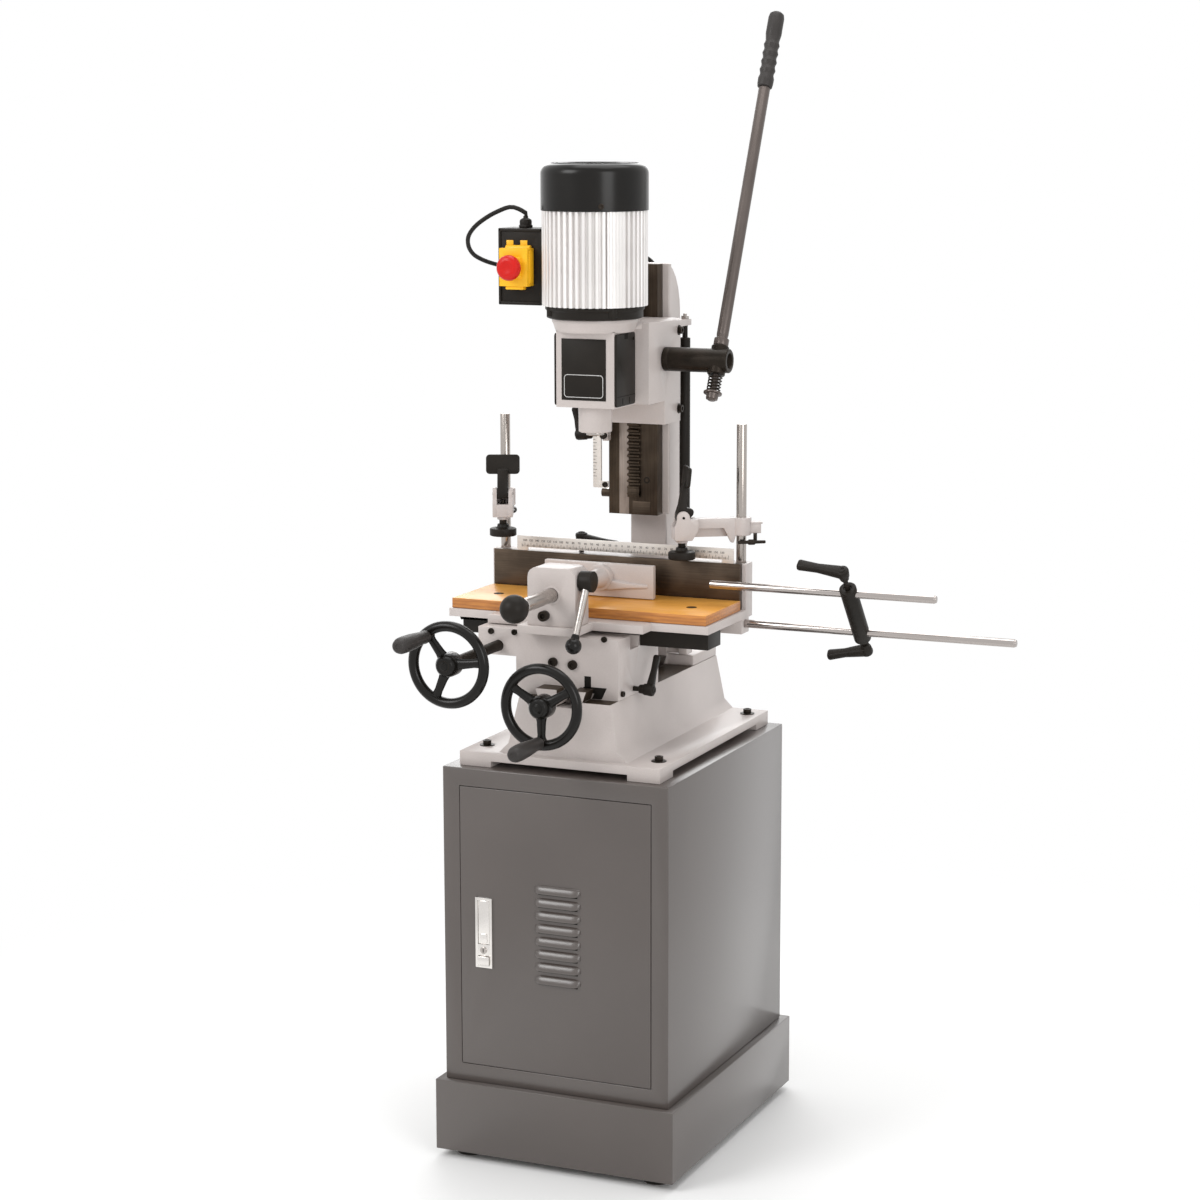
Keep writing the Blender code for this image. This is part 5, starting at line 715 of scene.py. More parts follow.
@dataclass
class RatchetLever:
    """A clamping lever: stem, coned hub with a cap screw, and a flat handle.

    It stands on its foot along a way, and its handle runs off sideways. The hub starts at the
    distance hub, and is as high as height. The handle is as long as reach and as thick as stout
    says, where 1 is slim.
    """

    node: str
    foot: tuple
    way: tuple
    handle: tuple
    hub: float
    height: float
    reach: float
    stout: float = 1.0

    def build(self) -> None:
        """Make the lever in place of its plain solid."""
        foot, way = Vector(self.foot), Vector(self.way).normalized()
        high = self.height
        stem = Bench.turned(self.node + "_stem", [(-1, 3.6), (self.hub + 1, 3.6)], foot, way, 0.0, 24)
        profile = [(0, 5.6), (1, 6.4), (high * 0.3, 7.0), (high * 0.34, 8.2), (high - 4, 9.4),
                   (high - 1, 8.8), (high, 7.0), (high + 0.1, 5.2), (high + 1.4, 5.0), (high + 1.5, 3.0),
                   (high + 0.4, 2.6)]
        hub = Bench.turned(self.node + "_hub", profile, foot + way * self.hub, way, 0.2, 32)
        far = self.reach
        widths = [(2, 6.6, 5.6), (12, 6.0, 5.2), (far * 0.55, 4.6, 4.2), (far * 0.82, 5.2, 4.4),
                  (far - 3, 5.6, 4.6), (far - 0.6, 5.0, 3.8), (far, 3.6, 2.6)]
        stations = [(along, wide * self.stout, thick * self.stout) for along, wide, thick in widths]
        handle = Bench.bar(self.node + "_handle", stations, foot + way * (self.hub + high - 6.4),
                           self.handle, way)
        fitted(Bench.joined(self.node + "_dressed", [stem, hub, handle]), SATIN_BLACK, self.node,
               self.node)


@dataclass
class MainsCord:
    """The free cord, its coil behind the cabinet, the plug and the gland."""

    radius: float = 3.25
    points: int = 80
    route: tuple = (
        (-105, -157, 1370.0), (-113, -157, 1376.5), (-125, -157, 1378.5), (-148, -156, 1372.5),
        (-180, -152, 1356), (-208, -135, 1334), (-220, -95, 1306), (-205, -30, 1286), (-150, 20, 1278),
        (-90, 45, 1286), (-48, 48, 1299), (-20, 56, 1300.5), (-8, 81, 1290), (-7, 104, 1260),
        (-8, 113, 1210), (-10, 112, 1100), (-12, 112, 950), (-14, 112, 800), (-18, 116, 745),
        (-30, 138, 715), (-50, 160, 696), (-80, 166, 660), (-102, 169, 600), (-112, 170, 540),
        (-118, 170, 300), (-120, 172, 170), (-122, 180, 120), (-124, 182, 50), (-120, 185, 12),
        (-102, 190, -5.5), (-70, 193, -8.5),
    )
    gland_foot: tuple = (-105, -157, 1349.0)
    gland_top: float = 1363.5
    gland_profile: tuple = ((0, 9.6), (4, 9.6), (4, 8.7), (5.2, 8.7), (9, 8.9), (11.5, 8.0), (13, 5.8),
                            (14.0, 3.6), (17, 3.45))
    ground: float = -12.0
    clearance: float = 0.3
    lead: float = 7.0
    coil_centre: tuple = (-30.0, 232.0)
    coil_radius: float = 39.0
    coil_step: float = 8.0
    loop_points: int = 24
    turns_in: float = 2.0
    turns_up: float = 0.5
    turns_out: float = 2.5
    tube_rings: int = 420
    tube_sides: int = 12

    def coil(self) -> list[Vector]:
        """Loops of the coil: two turns spiral in, half a turn climbs, the rest spiral out.

        Returns:
            The coil's points, with a short straight stretch at each end.
        """
        low = self.ground + self.radius + self.clearance
        points = []
        for step in range(int((self.turns_in + self.turns_up + self.turns_out) * self.loop_points) + 1):
            turn = step / self.loop_points
            inward = min(turn, self.turns_in)
            climbed = min(max(turn - self.turns_in, 0), self.turns_up)
            outward = max(turn - self.turns_in - self.turns_up, 0)
            radius = self.coil_radius - self.coil_step * (inward - outward)
            angle = math.tau * turn - math.pi / 2
            height = low + self.coil_step * climbed / self.turns_up
            middle_x, middle_y = self.coil_centre
            points.append(Vector((middle_x + radius * math.cos(angle),
                                  middle_y + radius * math.sin(angle), height)))
        points.insert(0, points[0] - Vector((self.lead, 0, 0)))
        points.append(points[-1] + Vector((self.lead, 0, 0)))
        return points

    @staticmethod
    def length(points: Sequence[Vector]) -> float:
        """Length along a row of points."""
        return sum((there - here).length for here, there in zip(points, points[1:]))

    def smooth(self, knots: Sequence[Vector], count: int) -> list[Vector]:
        """Evenly spaced points on a smooth curve through knots.

        Args:
            knots: The places that the curve runs through.
            count: How many points to return.

        Returns:
            The points, with the first and last knots at the ends.
        """
        padded = [2 * knots[0] - knots[1], *knots, 2 * knots[-1] - knots[-2]]
        fine = []
        for before, first, second, after in zip(padded, padded[1:], padded[2:], padded[3:]):
            for step in range(24):
                t = step / 24
                bend = (2 * before - 5 * first + 4 * second - after) * t ** 2
                fine.append(0.5 * (2 * first + (second - before) * t + bend
                                   + (3 * first - before - 3 * second + after) * t ** 3))
        fine.append(knots[-1])
        spacing = self.length(fine) / (count - 1)
        points = [fine[0]]
        travelled = 0.0
        for here, there in zip(fine, fine[1:]):
            length = (there - here).length
            while travelled + length >= spacing * len(points) and len(points) < count - 1:
                points.append(here.lerp(there, (spacing * len(points) - travelled) / length))
            travelled += length
        return points + [fine[-1]]

    def path(self) -> list[Vector]:
        """The cord's whole centreline.

        Returns:
            Points from the gland to the plug, in millimetres.
        """
        coil = self.coil()
        start = Vector((*self.gland_foot[:2], self.gland_top))
        end = coil[0] - Vector((self.clearance, 0, 0))
        knots = [Vector(point) for point in self.route] + [end - Vector((2 * self.radius, 0, 0))]
        return [start, *self.smooth(knots, self.points - 2), end, *coil[1:]]

    def build(self) -> None:
        path = self.path()
        finer = self.smooth(path, self.tube_rings)
        ways = [(there - here).normalized() for here, there in zip(finer[:-1], finer[1:])]
        ways.append(ways[-1])
        side = Vector((1, 0, 0))
        angles = [math.tau * (step + 0.5) / self.tube_sides for step in range(self.tube_sides)]
        rings = []
        for point, way in zip(finer, ways):
            side = (side - way * side.dot(way)).normalized()
            up = way.cross(side)
            rings.append([point + (side * math.cos(a) + up * math.sin(a)) * self.radius for a in angles])
        cord = Bench.skinned("cord", rings)
        cord.data.materials.clear()
        cord.data.materials.append(RUBBER.material())
        plug = dressed("plug", RUBBER, "stand", 1.6)
        gland = Bench.turned("gland", self.gland_profile, self.gland_foot, Axis.Z.value, 0.3, 32)
        nut = Bench.turned("gland_nut", [(0.2, 11.0), (3.6, 11.0)], self.gland_foot, Axis.Z.value, 0.4, 6)
        gland = Bench.joined("gland", [gland, nut])
        fitted(gland, SATIN_BLACK, "head", "cable_gland")
        line = [place(point) for point in finer]
        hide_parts("mains_cord", "cord_coil")
        place((-10, 112, 800))
        place((-10, 112, 1255))
        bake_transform(cord)
        LOG.info("cord is %.3f m long", self.length(path) * MM)


@dataclass
class Stand:
    """Plinth, cabinet, door with louvers and latch, base casting and column."""

    louvers: int = 8
    louver_pitch: float = 19.2
    louver_left: float = -30.5
    louver_right: float = 41.4
    louver_foot: float = 271.0
    louver_stations: tuple = ((0.0, 0.04), (1.5, 0.42), (4, 0.72), (8, 0.94), (13, 1.0))
    louver_section: tuple = ((0.3, 12.5), (-1.8, 11.6), (-4.4, 8.6), (-6.2, 4.4), (-6.8, 0.8),
                             (-6.2, 0.0), (0.3, 0.0))
    door_face: float = -300.0
    bare_above: float = 682.5
    bare_behind: float = -283.0
    slides: tuple = (-71, 25)
    slide_width: float = 46.0
    way_right: float = 35.0
    way_foot: float = 917.6
    latch_x: tuple = (-125.2, -98.4)
    latch_z: tuple = (283.8, 389.2)
    latch_y: tuple = (-303.5, -299.5)
    latch_bar: float = 4.2
    key: tuple = (-111.8, -303.2, 310.4)
    foot_profile: tuple = ((0.05, 19.5), (2, 21.4), (9.5, 21.4), (12.4, 18.0))
    ground: float = -12.0
    base_bolts: tuple = ((-136, -236), (136, -236), (-136, 118), (136, 118))
    base_foot: float = 600.3
    column_bolts: tuple = ((-46, 83), (46, 83))
    column_foot: float = 697.4
    feet: tuple = ((-150, -273), (150, -273), (-150, 136), (150, 136))

    def build(self) -> None:
        """Make every piece of the stand."""
        dressed("plinth", SHEET_PAINT, "stand", 1.2)
        dressed("cabinet_shell", SHEET_PAINT, "stand", 1.2)
        dressed("cabinet_door", SHEET_PAINT, "cabinet_door", 0.8)
        dressed("latch_handle", BRIGHT, "latch_handle", 0.8)
        dressed("latch_button", BRIGHT, "latch_button", 0.6)
        base = dressed("base_casting", CAST_PAINT, "stand", 1.8)
        painted(base, WAY_STEEL, self.is_bare)
        dressed("column_casting", CAST_PAINT, "stand", 1.8)
        dressed("column_way", WAY_STEEL, "stand", 0.5, self.narrowed)
        # Dark strips on the base's top, one each side of the ridge.
        tops = []
        for x in self.slides:
            tops.append(Bench.slab(f"slide_top_{x}", (x, x + self.slide_width), (-261.0, 53.0),
                                   (681.1, 681.4), 0.1))
        fitted(Bench.joined("dark_top_strips", tops), WAY_STEEL, "stand")
        strip = Bench.slab("way_strip", (-26.5, -10.8), (-0.45, 0.5), (self.way_foot, 1291.0), 0.1)
        fitted(strip, WAY_STRIP, "stand")
        notch = Bench.slab("way_notch", (-5, 23.5), (-0.25, 0.5), (self.way_foot, 937.5), 0.1)
        fitted(notch, GROUND, "stand")
        foot = Bench.slab("rack_foot", (-11, 8), (-6.4, 0.5), (944, 957.5), 0.5)
        fitted(foot, WAY_STEEL, "stand")
        dressed("gas_spring_rod", CHROME, "stand", 0.3)
        self.make_louvers()
        self.make_latch()
        self.make_feet()
        self.make_bolts()

    def is_bare(self, middle: Vector, out: Vector) -> bool:
        """Whether a face of the base belongs to the bare top that the saddle slides on."""
        return middle.z > self.bare_above and middle.y > self.bare_behind and out.y > -0.5

    def narrowed(self, corner: Vector) -> Vector:
        """Bring the way's right side to where the photograph shows it."""
        return Vector((self.way_right, corner.y, corner.z)) if corner.x > self.way_right + 5 else corner

    def make_louvers(self) -> None:
        """Pressed louvers of the door, each a hood that opens downwards, with painted shade under each.
        """
        feet = [self.louver_foot + row * self.louver_pitch for row in range(self.louvers)]
        made = [self.louver(f"louver_{row}", foot) for row, foot in enumerate(feet)]
        fitted(Bench.joined("louvers", made), SHEET_PAINT, "cabinet_door")
        # Painted shade: a near-black strip under each louver stands for the dark opening beneath it.
        slots = []
        for row, foot in enumerate(feet):
            slots.append(Bench.slab(f"slot_{row}", (self.louver_left + 5, self.louver_right - 5),
                                    (self.door_face - 0.35, self.door_face + 0.6),
                                    (foot - 2.4, foot + 1.0), 0.1))
        fitted(Bench.joined("louver_opening_shade", slots), MARKS_AND_SHADE, "cabinet_door")

    def louver(self, name: str, foot: float) -> Thing:
        """One louver, swept along the door with rounded ends.

        Args:
            name: The piece's name.
            foot: The height of its open edge.

        Returns:
            A closed mesh.
        """
        length = self.louver_right - self.louver_left
        row = list(self.louver_stations)
        row += [(length - along, share) for along, share in reversed(self.louver_stations)]
        rings = []
        for along, share in row:
            ring = []
            for out, up in self.louver_section:
                depth = out * share if out < 0 else out
                height = 6.0 + (up - 6.0) * (0.45 + 0.55 * share)
                ring.append((self.louver_left + along, self.door_face + depth, foot + height))
            rings.append(ring)
        return Bench.skinned(name, rings, 0.0, sharp=50.0)

    def make_latch(self) -> None:
        """Bright frame, key cylinder with the painted shade of its keyway, and the paddle's pull."""
        left, right = self.latch_x
        low, high = self.latch_z
        face, back = self.latch_y
        bar = self.latch_bar
        bars = [
            Bench.slab("latch_left", (left, left + bar), (face, back), (low, high), 0.5),
            Bench.slab("latch_right", (right - bar, right), (face, back), (low, high), 0.5),
            Bench.slab("latch_top", (left + 0.1, right - 0.1), (face + 0.1, back - 0.1),
                       (high - bar, high), 0.5),
            Bench.slab("latch_foot", (left + 0.1, right - 0.1), (face + 0.1, back - 0.1),
                       (low, low + 4.4), 0.5),
            Bench.slab("latch_bridge", (left + 3, right - 3), (face + 0.2, back + 0.1), (301.6, 319.2),
                       0.4),
        ]
        fitted(Bench.joined("latch_frame", bars), BRIGHT, "cabinet_door")
        ring = Bench.turned("key_ring", [(-1, 5.2), (1.6, 5.2), (2.2, 4.4)], self.key, FORWARD, 0.2, 32)
        fitted(ring, STEEL, "cabinet_door")
        # Painted shade: a near-black strip for the dark keyway.
        slot = Bench.slab("keyway_shade", (-112.3, -111.3), (-305.9, -305.2), (307.4, 313.4), 0.1)
        fitted(slot, MARKS_AND_SHADE, "cabinet_door")
        pull = Bench.slab("paddle_pull", (-117.5, -106.0), (-304.4, -302.6), (322.0, 335.0), 0.8)
        fitted(pull, BRIGHT, "latch_handle")

    def make_feet(self) -> None:
        """Round rubber feet under the plinth."""
        made = []
        for row, spot in enumerate(self.feet):
            made.append(Bench.turned(f"foot_{row}", self.foot_profile, (*spot, self.ground), Axis.Z.value,
                                     0.6))
        fitted(Bench.joined("feet", made), RUBBER, "stand")

    def make_bolts(self) -> None:
        """Bolts that hold the base to the cabinet and the column to the base."""
        made = []
        for row, spot in enumerate(self.base_bolts):
            made.append(Bench.bolt(f"base_bolt_{row}", (*spot, self.base_foot), Axis.Z.value, 6.2, 6.5,
                                   11.0))
        for row, spot in enumerate(self.column_bolts):
            made.append(Bench.bolt(f"column_bolt_{row}", (*spot, self.column_foot), Axis.Z.value, 7.0,
                                   8.0, 11.5))
        fitted(Bench.joined("base_bolts", made), OXIDE, "stand")
        screw = Bench.turned("way_screw", [(0, 5.0), (0.4, 5.0), (0.4, 3.0), (0.1, 2.6)], (18, 0.2, 970),
                             FORWARD)
        pin = Bench.turned("stop_pin_cap", [(0, 7.3), (13.8, 7.3), (14.2, 6.6)], (-43.6, 10.0, 947.3),
                           (-1, 0, 0), 0.3, 32)
        fitted(screw, OXIDE, "stand")
        fitted(pin, BRIGHT, "stand")


@dataclass
class Handwheel:
    """A three-spoked handwheel that faces the operator, with its turning grip."""

    name: str
    centre: tuple
    grip_angle: float
    body: str
    grip_body: str
    shaft_node: str
    rim: float = 55.0
    wire: float = 7.6
    spokes: int = 3
    grip_at: float = 50.0
    spoke_sections: tuple = ((10, 9.5, 6.0), (22, 7.2, 5.0), (40, 6.2, 4.2), (52, 7.6, 4.6))
    hub_profile: tuple = ((-15, 14.5), (-13, 17.2), (2, 17.2), (9, 16.0), (14.6, 12.0), (14.9, 7.5),
                          (12.5, 7.0))
    nut_profile: tuple = ((11, 7.4), (15.1, 7.4), (15.3, 5.6), (16.4, 5.4), (16.8, 3.0), (16.9, 0.5))
    grip_profile: tuple = ((9.7, 7.6), (11, 9.0), (16, 9.6), (20, 8.7), (30, 9.6), (52, 11.4), (74, 12.0),
                           (86, 11.6), (92, 9.8), (94.6, 7.2), (95.3, 3.5), (94.2, 3.0))

    def spoke(self, row: int) -> Thing:
        """One flat spoke that widens towards the hub.

        Args:
            row: Which spoke, from 0.

        Returns:
            A closed mesh.
        """
        angle = self.grip_angle + math.tau * row / self.spokes
        ray = Vector((math.cos(angle), 0, math.sin(angle)))
        across = Vector((-ray.z, 0, ray.x))
        out = Vector(FORWARD)
        rings = []
        for along, wide, thick in self.spoke_sections:
            ring = []
            for step in range(12):
                turn = math.tau * step / 12
                offset = across * (wide * math.cos(turn)) + out * (thick * math.sin(turn))
                ring.append(Vector(self.centre) + ray * along + offset)
            rings.append(ring)
        return Bench.skinned(f"{self.name}_spoke_{row}", rings)

    def build(self) -> None:
        """Rim, spokes, hub and grip."""
        centre = Vector(self.centre)
        section = []
        for step in range(16):
            angle = math.tau * step / 16
            section.append((self.wire * math.sin(angle), self.rim + self.wire * math.cos(angle)))
        rim = Bench.turned(self.name + "_rim", section, centre, FORWARD, sides=72, closed=True)
        hub = Bench.turned(self.name + "_hub", self.hub_profile, centre, FORWARD, 0.5)
        ray = Vector((math.cos(self.grip_angle), 0, math.sin(self.grip_angle)))
        grip_foot = centre + ray * self.grip_at
        boss = Bench.turned(self.name + "_boss", [(-4, 7.5), (7.8, 7.5), (8.8, 6.8)], grip_foot, FORWARD,
                            0.3, 28)
        parts = [rim, hub, boss] + [self.spoke(row) for row in range(self.spokes)]
        fitted(Bench.joined(self.name, parts), BLACK, self.body, self.shaft_node)
        nut = Bench.turned(self.name + "_nut", self.nut_profile, centre, FORWARD, 0.3, 24)
        fitted(nut, BLACK, self.body)
        grip = Bench.turned(self.name + "_grip", self.grip_profile, grip_foot, FORWARD, 0.2)
        fitted(grip, GRIP, self.grip_body, self.grip_body)


@dataclass
class Head:
    """Headstock casting, chuck doors, motor and switch."""

    spindle: tuple = (0.0, -149.0)
    seat_profile: tuple = ((1203, 56), (1207, 58), (1214, 60), (1217, 62), (1221.6, 62))
    nose_profile: tuple = ((1057.6, 22.0), (1058.6, 24.0), (1094, 24.4), (1096, 25.5))
    bushing_profile: tuple = ((1053.0, 12.5), (1054.0, 13.2), (1058.6, 13.2))
    lug_top: float = 1208.0
    door_x: tuple = (45.7, 48.7)
    door_y: tuple = (-184.6, -115.5)
    door_z: tuple = (1097.5, 1201.0)
    flange_profile: tuple = ((1221.9, 66), (1223.3, 69.4), (1233, 69.4), (1235, 71.5), (1239.6, 71.5),
                             (1239.7, 68))
    flange_lugs: int = 4
    lug_spread: float = 66.0
    fins: int = 48
    fin_root: float = 69.6
    bare_root: float = 75.6
    bare_fins: tuple = (5, 6, 7)
    housing_z: tuple = (1240.0, 1374.9)
    cover_foot: tuple = ((1375.2, 74.5), (1375.25, 77.3), (1427, 77.3))
    cover_round: float = 14.0
    cover_top: float = 1441.5
    grilles: int = 5
    grille_inner: float = 40.0
    grille_pitch: float = 5.2
    grille_section: tuple = ((1440.6, 0.0), (1442.4, 0.6), (1442.4, 2.2), (1440.6, 2.8))
    box_x: tuple = (-137.6, -68.4)
    box_y: tuple = (-181.6, -179.0)
    box_z: tuple = (1240.0, 1348.4)
    lugs: tuple = (-125, -103)
    button_profile: tuple = ((183.5, 8.8), (212.8, 8.8), (212.8, 15.0), (214.2, 17.9), (217.5, 18.4),
                             (220.5, 17.9), (223.6, 15.8), (225.2, 12.4), (225.6, 9.2), (224.8, 6.0),
                             (224.4, 1.0))
    gibs: tuple = ((6, 1195), (6, 1079))
    spring_at: tuple = (60.0, 47.0)

    def build(self) -> None:
        """Make every piece that the head carries."""
        dressed("headstock", CAST_PAINT, "head", 1.8, self.trimmed)
        dressed("gas_spring_tube", SATIN_BLACK, "head", 0.3)
        dressed("spindle", STEEL, "spindle", 0.3)
        self.make_rings()
        self.make_door_details()
        self.make_plate()
        self.make_motor()
        self.make_switch()
        self.make_screws()

    def trimmed(self, corner: Vector) -> Vector:
        """Draw the seat's wide disc into the neck, and thin the lug of the gas spring.

        Args:
            corner: A corner of the casting's plain solid.

        Returns:
            Where the corner goes.
        """
        away = Vector((corner.x - self.spindle[0], corner.y - self.spindle[1], 0))
        if corner.z > 1204 and 66 < away.length < 71 and corner.y < -112:
            return corner - away * 0.2
        if corner.y > 20:
            return Vector((corner.x, corner.y, min(corner.z, self.lug_top)))
        return corner

    def ring(self, name: str, profile: Sequence[Point], bevel: float = 0.4, sides: int = 72) -> Thing:
        """A ring or disc about the spindle."""
        return Bench.turned(name, profile, (*self.spindle, 0.0), Axis.Z.value, bevel, sides)

    def make_rings(self) -> None:
        """Smooth seat and nose of the casting."""
        seat = self.ring("head_seat", self.seat_profile)
        nose = self.ring("head_nose", self.nose_profile, 0.3)
        fitted(Bench.joined("head_collars", [seat, nose]), CAST_PAINT, "head")
        bushing = self.ring("chisel_bushing", self.bushing_profile, 0.3, 40)
        fitted(bushing, STEEL, "head")

    def make_door_details(self) -> None:
        """The two chuck doors, with their lines, the painted shade of their slots and notches, and hinge
        pins.
        """
        outline = self.rounded(self.door_y, self.door_z, 4.5)
        for side, way in (("right", 1), ("left", -1)):
            name = f"chuck_door_{side}"
            inner, outer = (place_x * way for place_x in self.door_x)
            door = Bench.prism(name + "_dressed", outline, (inner, outer), Axis.X, 0.8)
            fitted(door, SATIN_BLACK, name, name)
            face = sorted((outer - 0.4 * way, outer + 0.12 * way))
            # The line is a dark joint; the two slots and the notch are near-black marks of painted shade
            # for their dark openings.
            cuts = [
                Bench.slab(f"door_line_{side}", face, (-183, -117), (1111.4, 1112.2), 0.0),
                Bench.slab(f"door_slot_a_{side}", face, (-163, -160.4), (1100, 1109), 0.0),
                Bench.slab(f"door_slot_b_{side}", face, (-139, -136.4), (1100, 1109), 0.0),
                Bench.slab(f"door_notch_{side}", face, (-155, -143), (1193, 1200.8), 0.0),
            ]
            fitted(Bench.joined(f"door_cuts_{side}", cuts), MARKS_AND_SHADE, name)
            pin = Bench.turned(f"door_pin_{side}", [(-1, 2.6), (1.0, 2.6), (1.3, 1.8)],
                               (outer, -121.5, 1192), (way, 0, 0), 0.2, 24)
            fitted(pin, OXIDE, name)

    def make_plate(self) -> None:
        """Bare nameplate with a plain lined border."""
        plate = Bench.slab("nameplate", (-36.5, 32.6), (-185.9, -184.8), (1106, 1194), 0.25)
        fitted(plate, SATIN_BLACK, "head")
        outer = self.rounded((-32.5, 28.6), (1110, 1143), 5.0)
        inner = self.rounded((-31.5, 27.6), (1111, 1142), 4.2)
        rings = []
        for level, loop in ((-186.05, outer), (-186.05, inner), (-185.7, inner), (-185.7, outer)):
            rings.append([(x, level, z) for x, z in loop])
        fitted(Bench.skinned("plate_border", rings, closed=True), PLATE_LINE, "head")

    @staticmethod
    def rounded(x: Point, z: Point, radius: float) -> list[Point]:
        """Outline of a rectangle with round corners.

        Args:
            x: Its two limits across.
            z: Its two limits up.
            radius: The radius of its corners.

        Returns:
            Flat pairs, in order round the outline.
        """
        loop = []
        corners = ((x[1] - radius, z[1] - radius, 0), (x[0] + radius, z[1] - radius, 1),
                   (x[0] + radius, z[0] + radius, 2), (x[1] - radius, z[0] + radius, 3))
        for middle_x, middle_z, quarter in corners:
            for step in range(6):
                angle = math.pi / 2 * (quarter + step / 5)
                loop.append((middle_x + radius * math.cos(angle), middle_z + radius * math.sin(angle)))
        return loop

    def make_motor(self) -> None:
        """Flange, finned housing and fan cover."""
        flange = self.ring("motor_flange_ring", self.flange_profile)
        lugs = []
        for row in range(self.flange_lugs):
            spot = (*self.round_spindle(self.lug_spread, math.radians(45 + 90 * row)), 1225.8)
            lugs.append(Bench.turned(f"flange_lug_{row}", [(0, 7.5), (13.8, 7.5)], spot, Axis.Z.value,
                                     0.6, 24))
        fitted(Bench.joined("motor_flange_dressed", [flange, *lugs]), SATIN_BLACK, "head", "motor_flange")
        outline = [self.round_spindle(radius, angle) for radius, angle in self.fin_outline()]
        rings = [[(*spot, level) for spot in outline] for level in self.housing_z]
        housing = Bench.skinned("motor_housing_dressed", rings, 0.0, sharp=35.0)
        fitted(housing, ALUMINIUM, "head", "motor_housing")
        self.make_cover()

    def round_spindle(self, radius: float, angle: float) -> Point:
        """A flat pair at a radius and an angle about the spindle."""
        return (self.spindle[0] + radius * math.cos(angle), self.spindle[1] + radius * math.sin(angle))

    def make_cover(self) -> None:
        """Fan cover with its rounded shoulder, its grille and its screw."""
        top, size = self.cover_top, self.cover_round
        inner = self.cover_foot[-1][1] - size
        shoulder = []
        for step in range(1, 9):
            angle = math.pi / 2 * step / 8
            shoulder.append((top - size + size * math.sin(angle), inner + size * math.cos(angle)))
        profile = [*self.cover_foot, *shoulder, (top, self.grille_inner), (top - 1.1, 38), (top - 1.1, 8)]
        parts = [self.ring("cover_shell", profile, 0.0)]
        for row in range(self.grilles):
            radius = self.grille_inner + row * self.grille_pitch
            section = [(level, radius + out) for level, out in self.grille_section]
            parts.append(Bench.turned(f"grille_{row}", section, (*self.spindle, 0), Axis.Z.value, 0.0, 64,
                                      True))
        screw = Bench.bolt("cover_screw", (39.0, -215.4, 1382.5), (0.508, -0.862, 0), 4.2, 1.8)
        fitted(Bench.joined("fan_cover_dressed", parts), BLACK, "head", "fan_cover")
        fitted(screw, OXIDE, "head")

    def fin_outline(self) -> list[Point]:
        """Outline of the finned housing, with one bare stretch where a plate would go.

        Returns:
            Pairs of radius and angle.
        """
        outline = []
        pitch = math.tau / self.fins
        for fin in range(self.fins):
            middle = pitch * fin + math.radians(-90 + 3.75)
            root = self.bare_root if fin in self.bare_fins else self.fin_root
            for share, radius in ((-0.50, root), (-0.33, root), (-0.24, 75.0), (-0.14, 76.0),
                                  (0.14, 76.0), (0.24, 75.0), (0.33, root)):
                outline.append((radius, middle + pitch * share))
        return outline

    def make_switch(self) -> None:
        """Switch box with its rim, yellow lid with its lip and ribs, two lugs, and the stop button."""
        box = Bench.carried("switch_box", 1.6)
        x, y, z = self.box_x, self.box_y, self.box_z
        rim = [
            Bench.slab("box_rim_left", (x[0], -133.4), y, z, 1.0),
            Bench.slab("box_rim_right", (-72.0, x[1]), y, z, 1.0),
            Bench.slab("box_rim_foot", x, y, (z[0], 1244.2), 1.0),
            Bench.slab("box_rim_head", x, y, (1344.2, z[1]), 1.0),
        ]
        fitted(Bench.joined("switch_box_dressed", [box, *rim]), SATIN_BLACK, "head", "switch_box")
        lid = Bench.carried("switch_lid", 1.4)
        extras = [
            Bench.slab("lid_lip", (-118, -90), (-200, -188), (1262.5, 1268.5), 1.4),
            Bench.slab("lid_rib_left", (-127.0, -125.4), (-196, -182), (1272, 1318), 0.5),
            Bench.slab("lid_rib_right", (-82.6, -81.0), (-196, -182), (1272, 1318), 0.5),
            Bench.slab("lid_collar", (-116.5, -91.5), (-204.6, -202.0), (1279, 1309), 1.2),
        ]
        fitted(Bench.joined("switch_lid_dressed", [lid, *extras]), YELLOW, "switch_lid", "switch_lid")
        lugs = []
        for x in self.lugs:
            lugs.append(Bench.slab(f"lug_{x}", (x, x + 11), (-180.3, -179.0), (1318, 1332), 0.25))
        fitted(Bench.joined("lid_lugs", lugs), YELLOW, "head")
        button = Bench.turned("stop_button_dressed", self.button_profile, (-104, 0, 1294.4), FORWARD, 0.2,
                              48)
        fitted(button, RED, "stop_button", "stop_button")

    def make_screws(self) -> None:
        """Gib screws on the right back edge, the depth stop's knob, and the gas spring's eye."""
        made = []
        for row, spot in enumerate(self.gibs):
            made.append(Bench.bolt(f"gib_screw_{row}", (66.6, *spot), Axis.X.value, 5.5, 5.0, 7.5))
        made.append(Bench.turned("depth_knob", [(0, 3.2), (2, 3.2), (2.1, 5.4), (8, 5.4), (9, 4.4)],
                                 (-44, -14, 1036.4), FORWARD, 0.2, 24))
        fitted(Bench.joined("head_screws", made), OXIDE, "head")
        eye = [
            Bench.turned("spring_stud",
                         [(-6, 3.2), (0, 3.2), (0.2, 6.2), (5.0, 6.2), (5.2, 3.2), (8.4, 3.0)],
                         (*self.spring_at, self.lug_top + 0.2), Axis.Z.value, 0.3, 6),
            Bench.turned("spring_eye", [(0, 4.6), (1, 5.6), (8, 5.6), (9, 4.6)],
                         (*self.spring_at, 1199.0), Axis.Z.value, 0.3, 24),
        ]
        fitted(Bench.joined("spring_mount", eye), STEEL, "head")


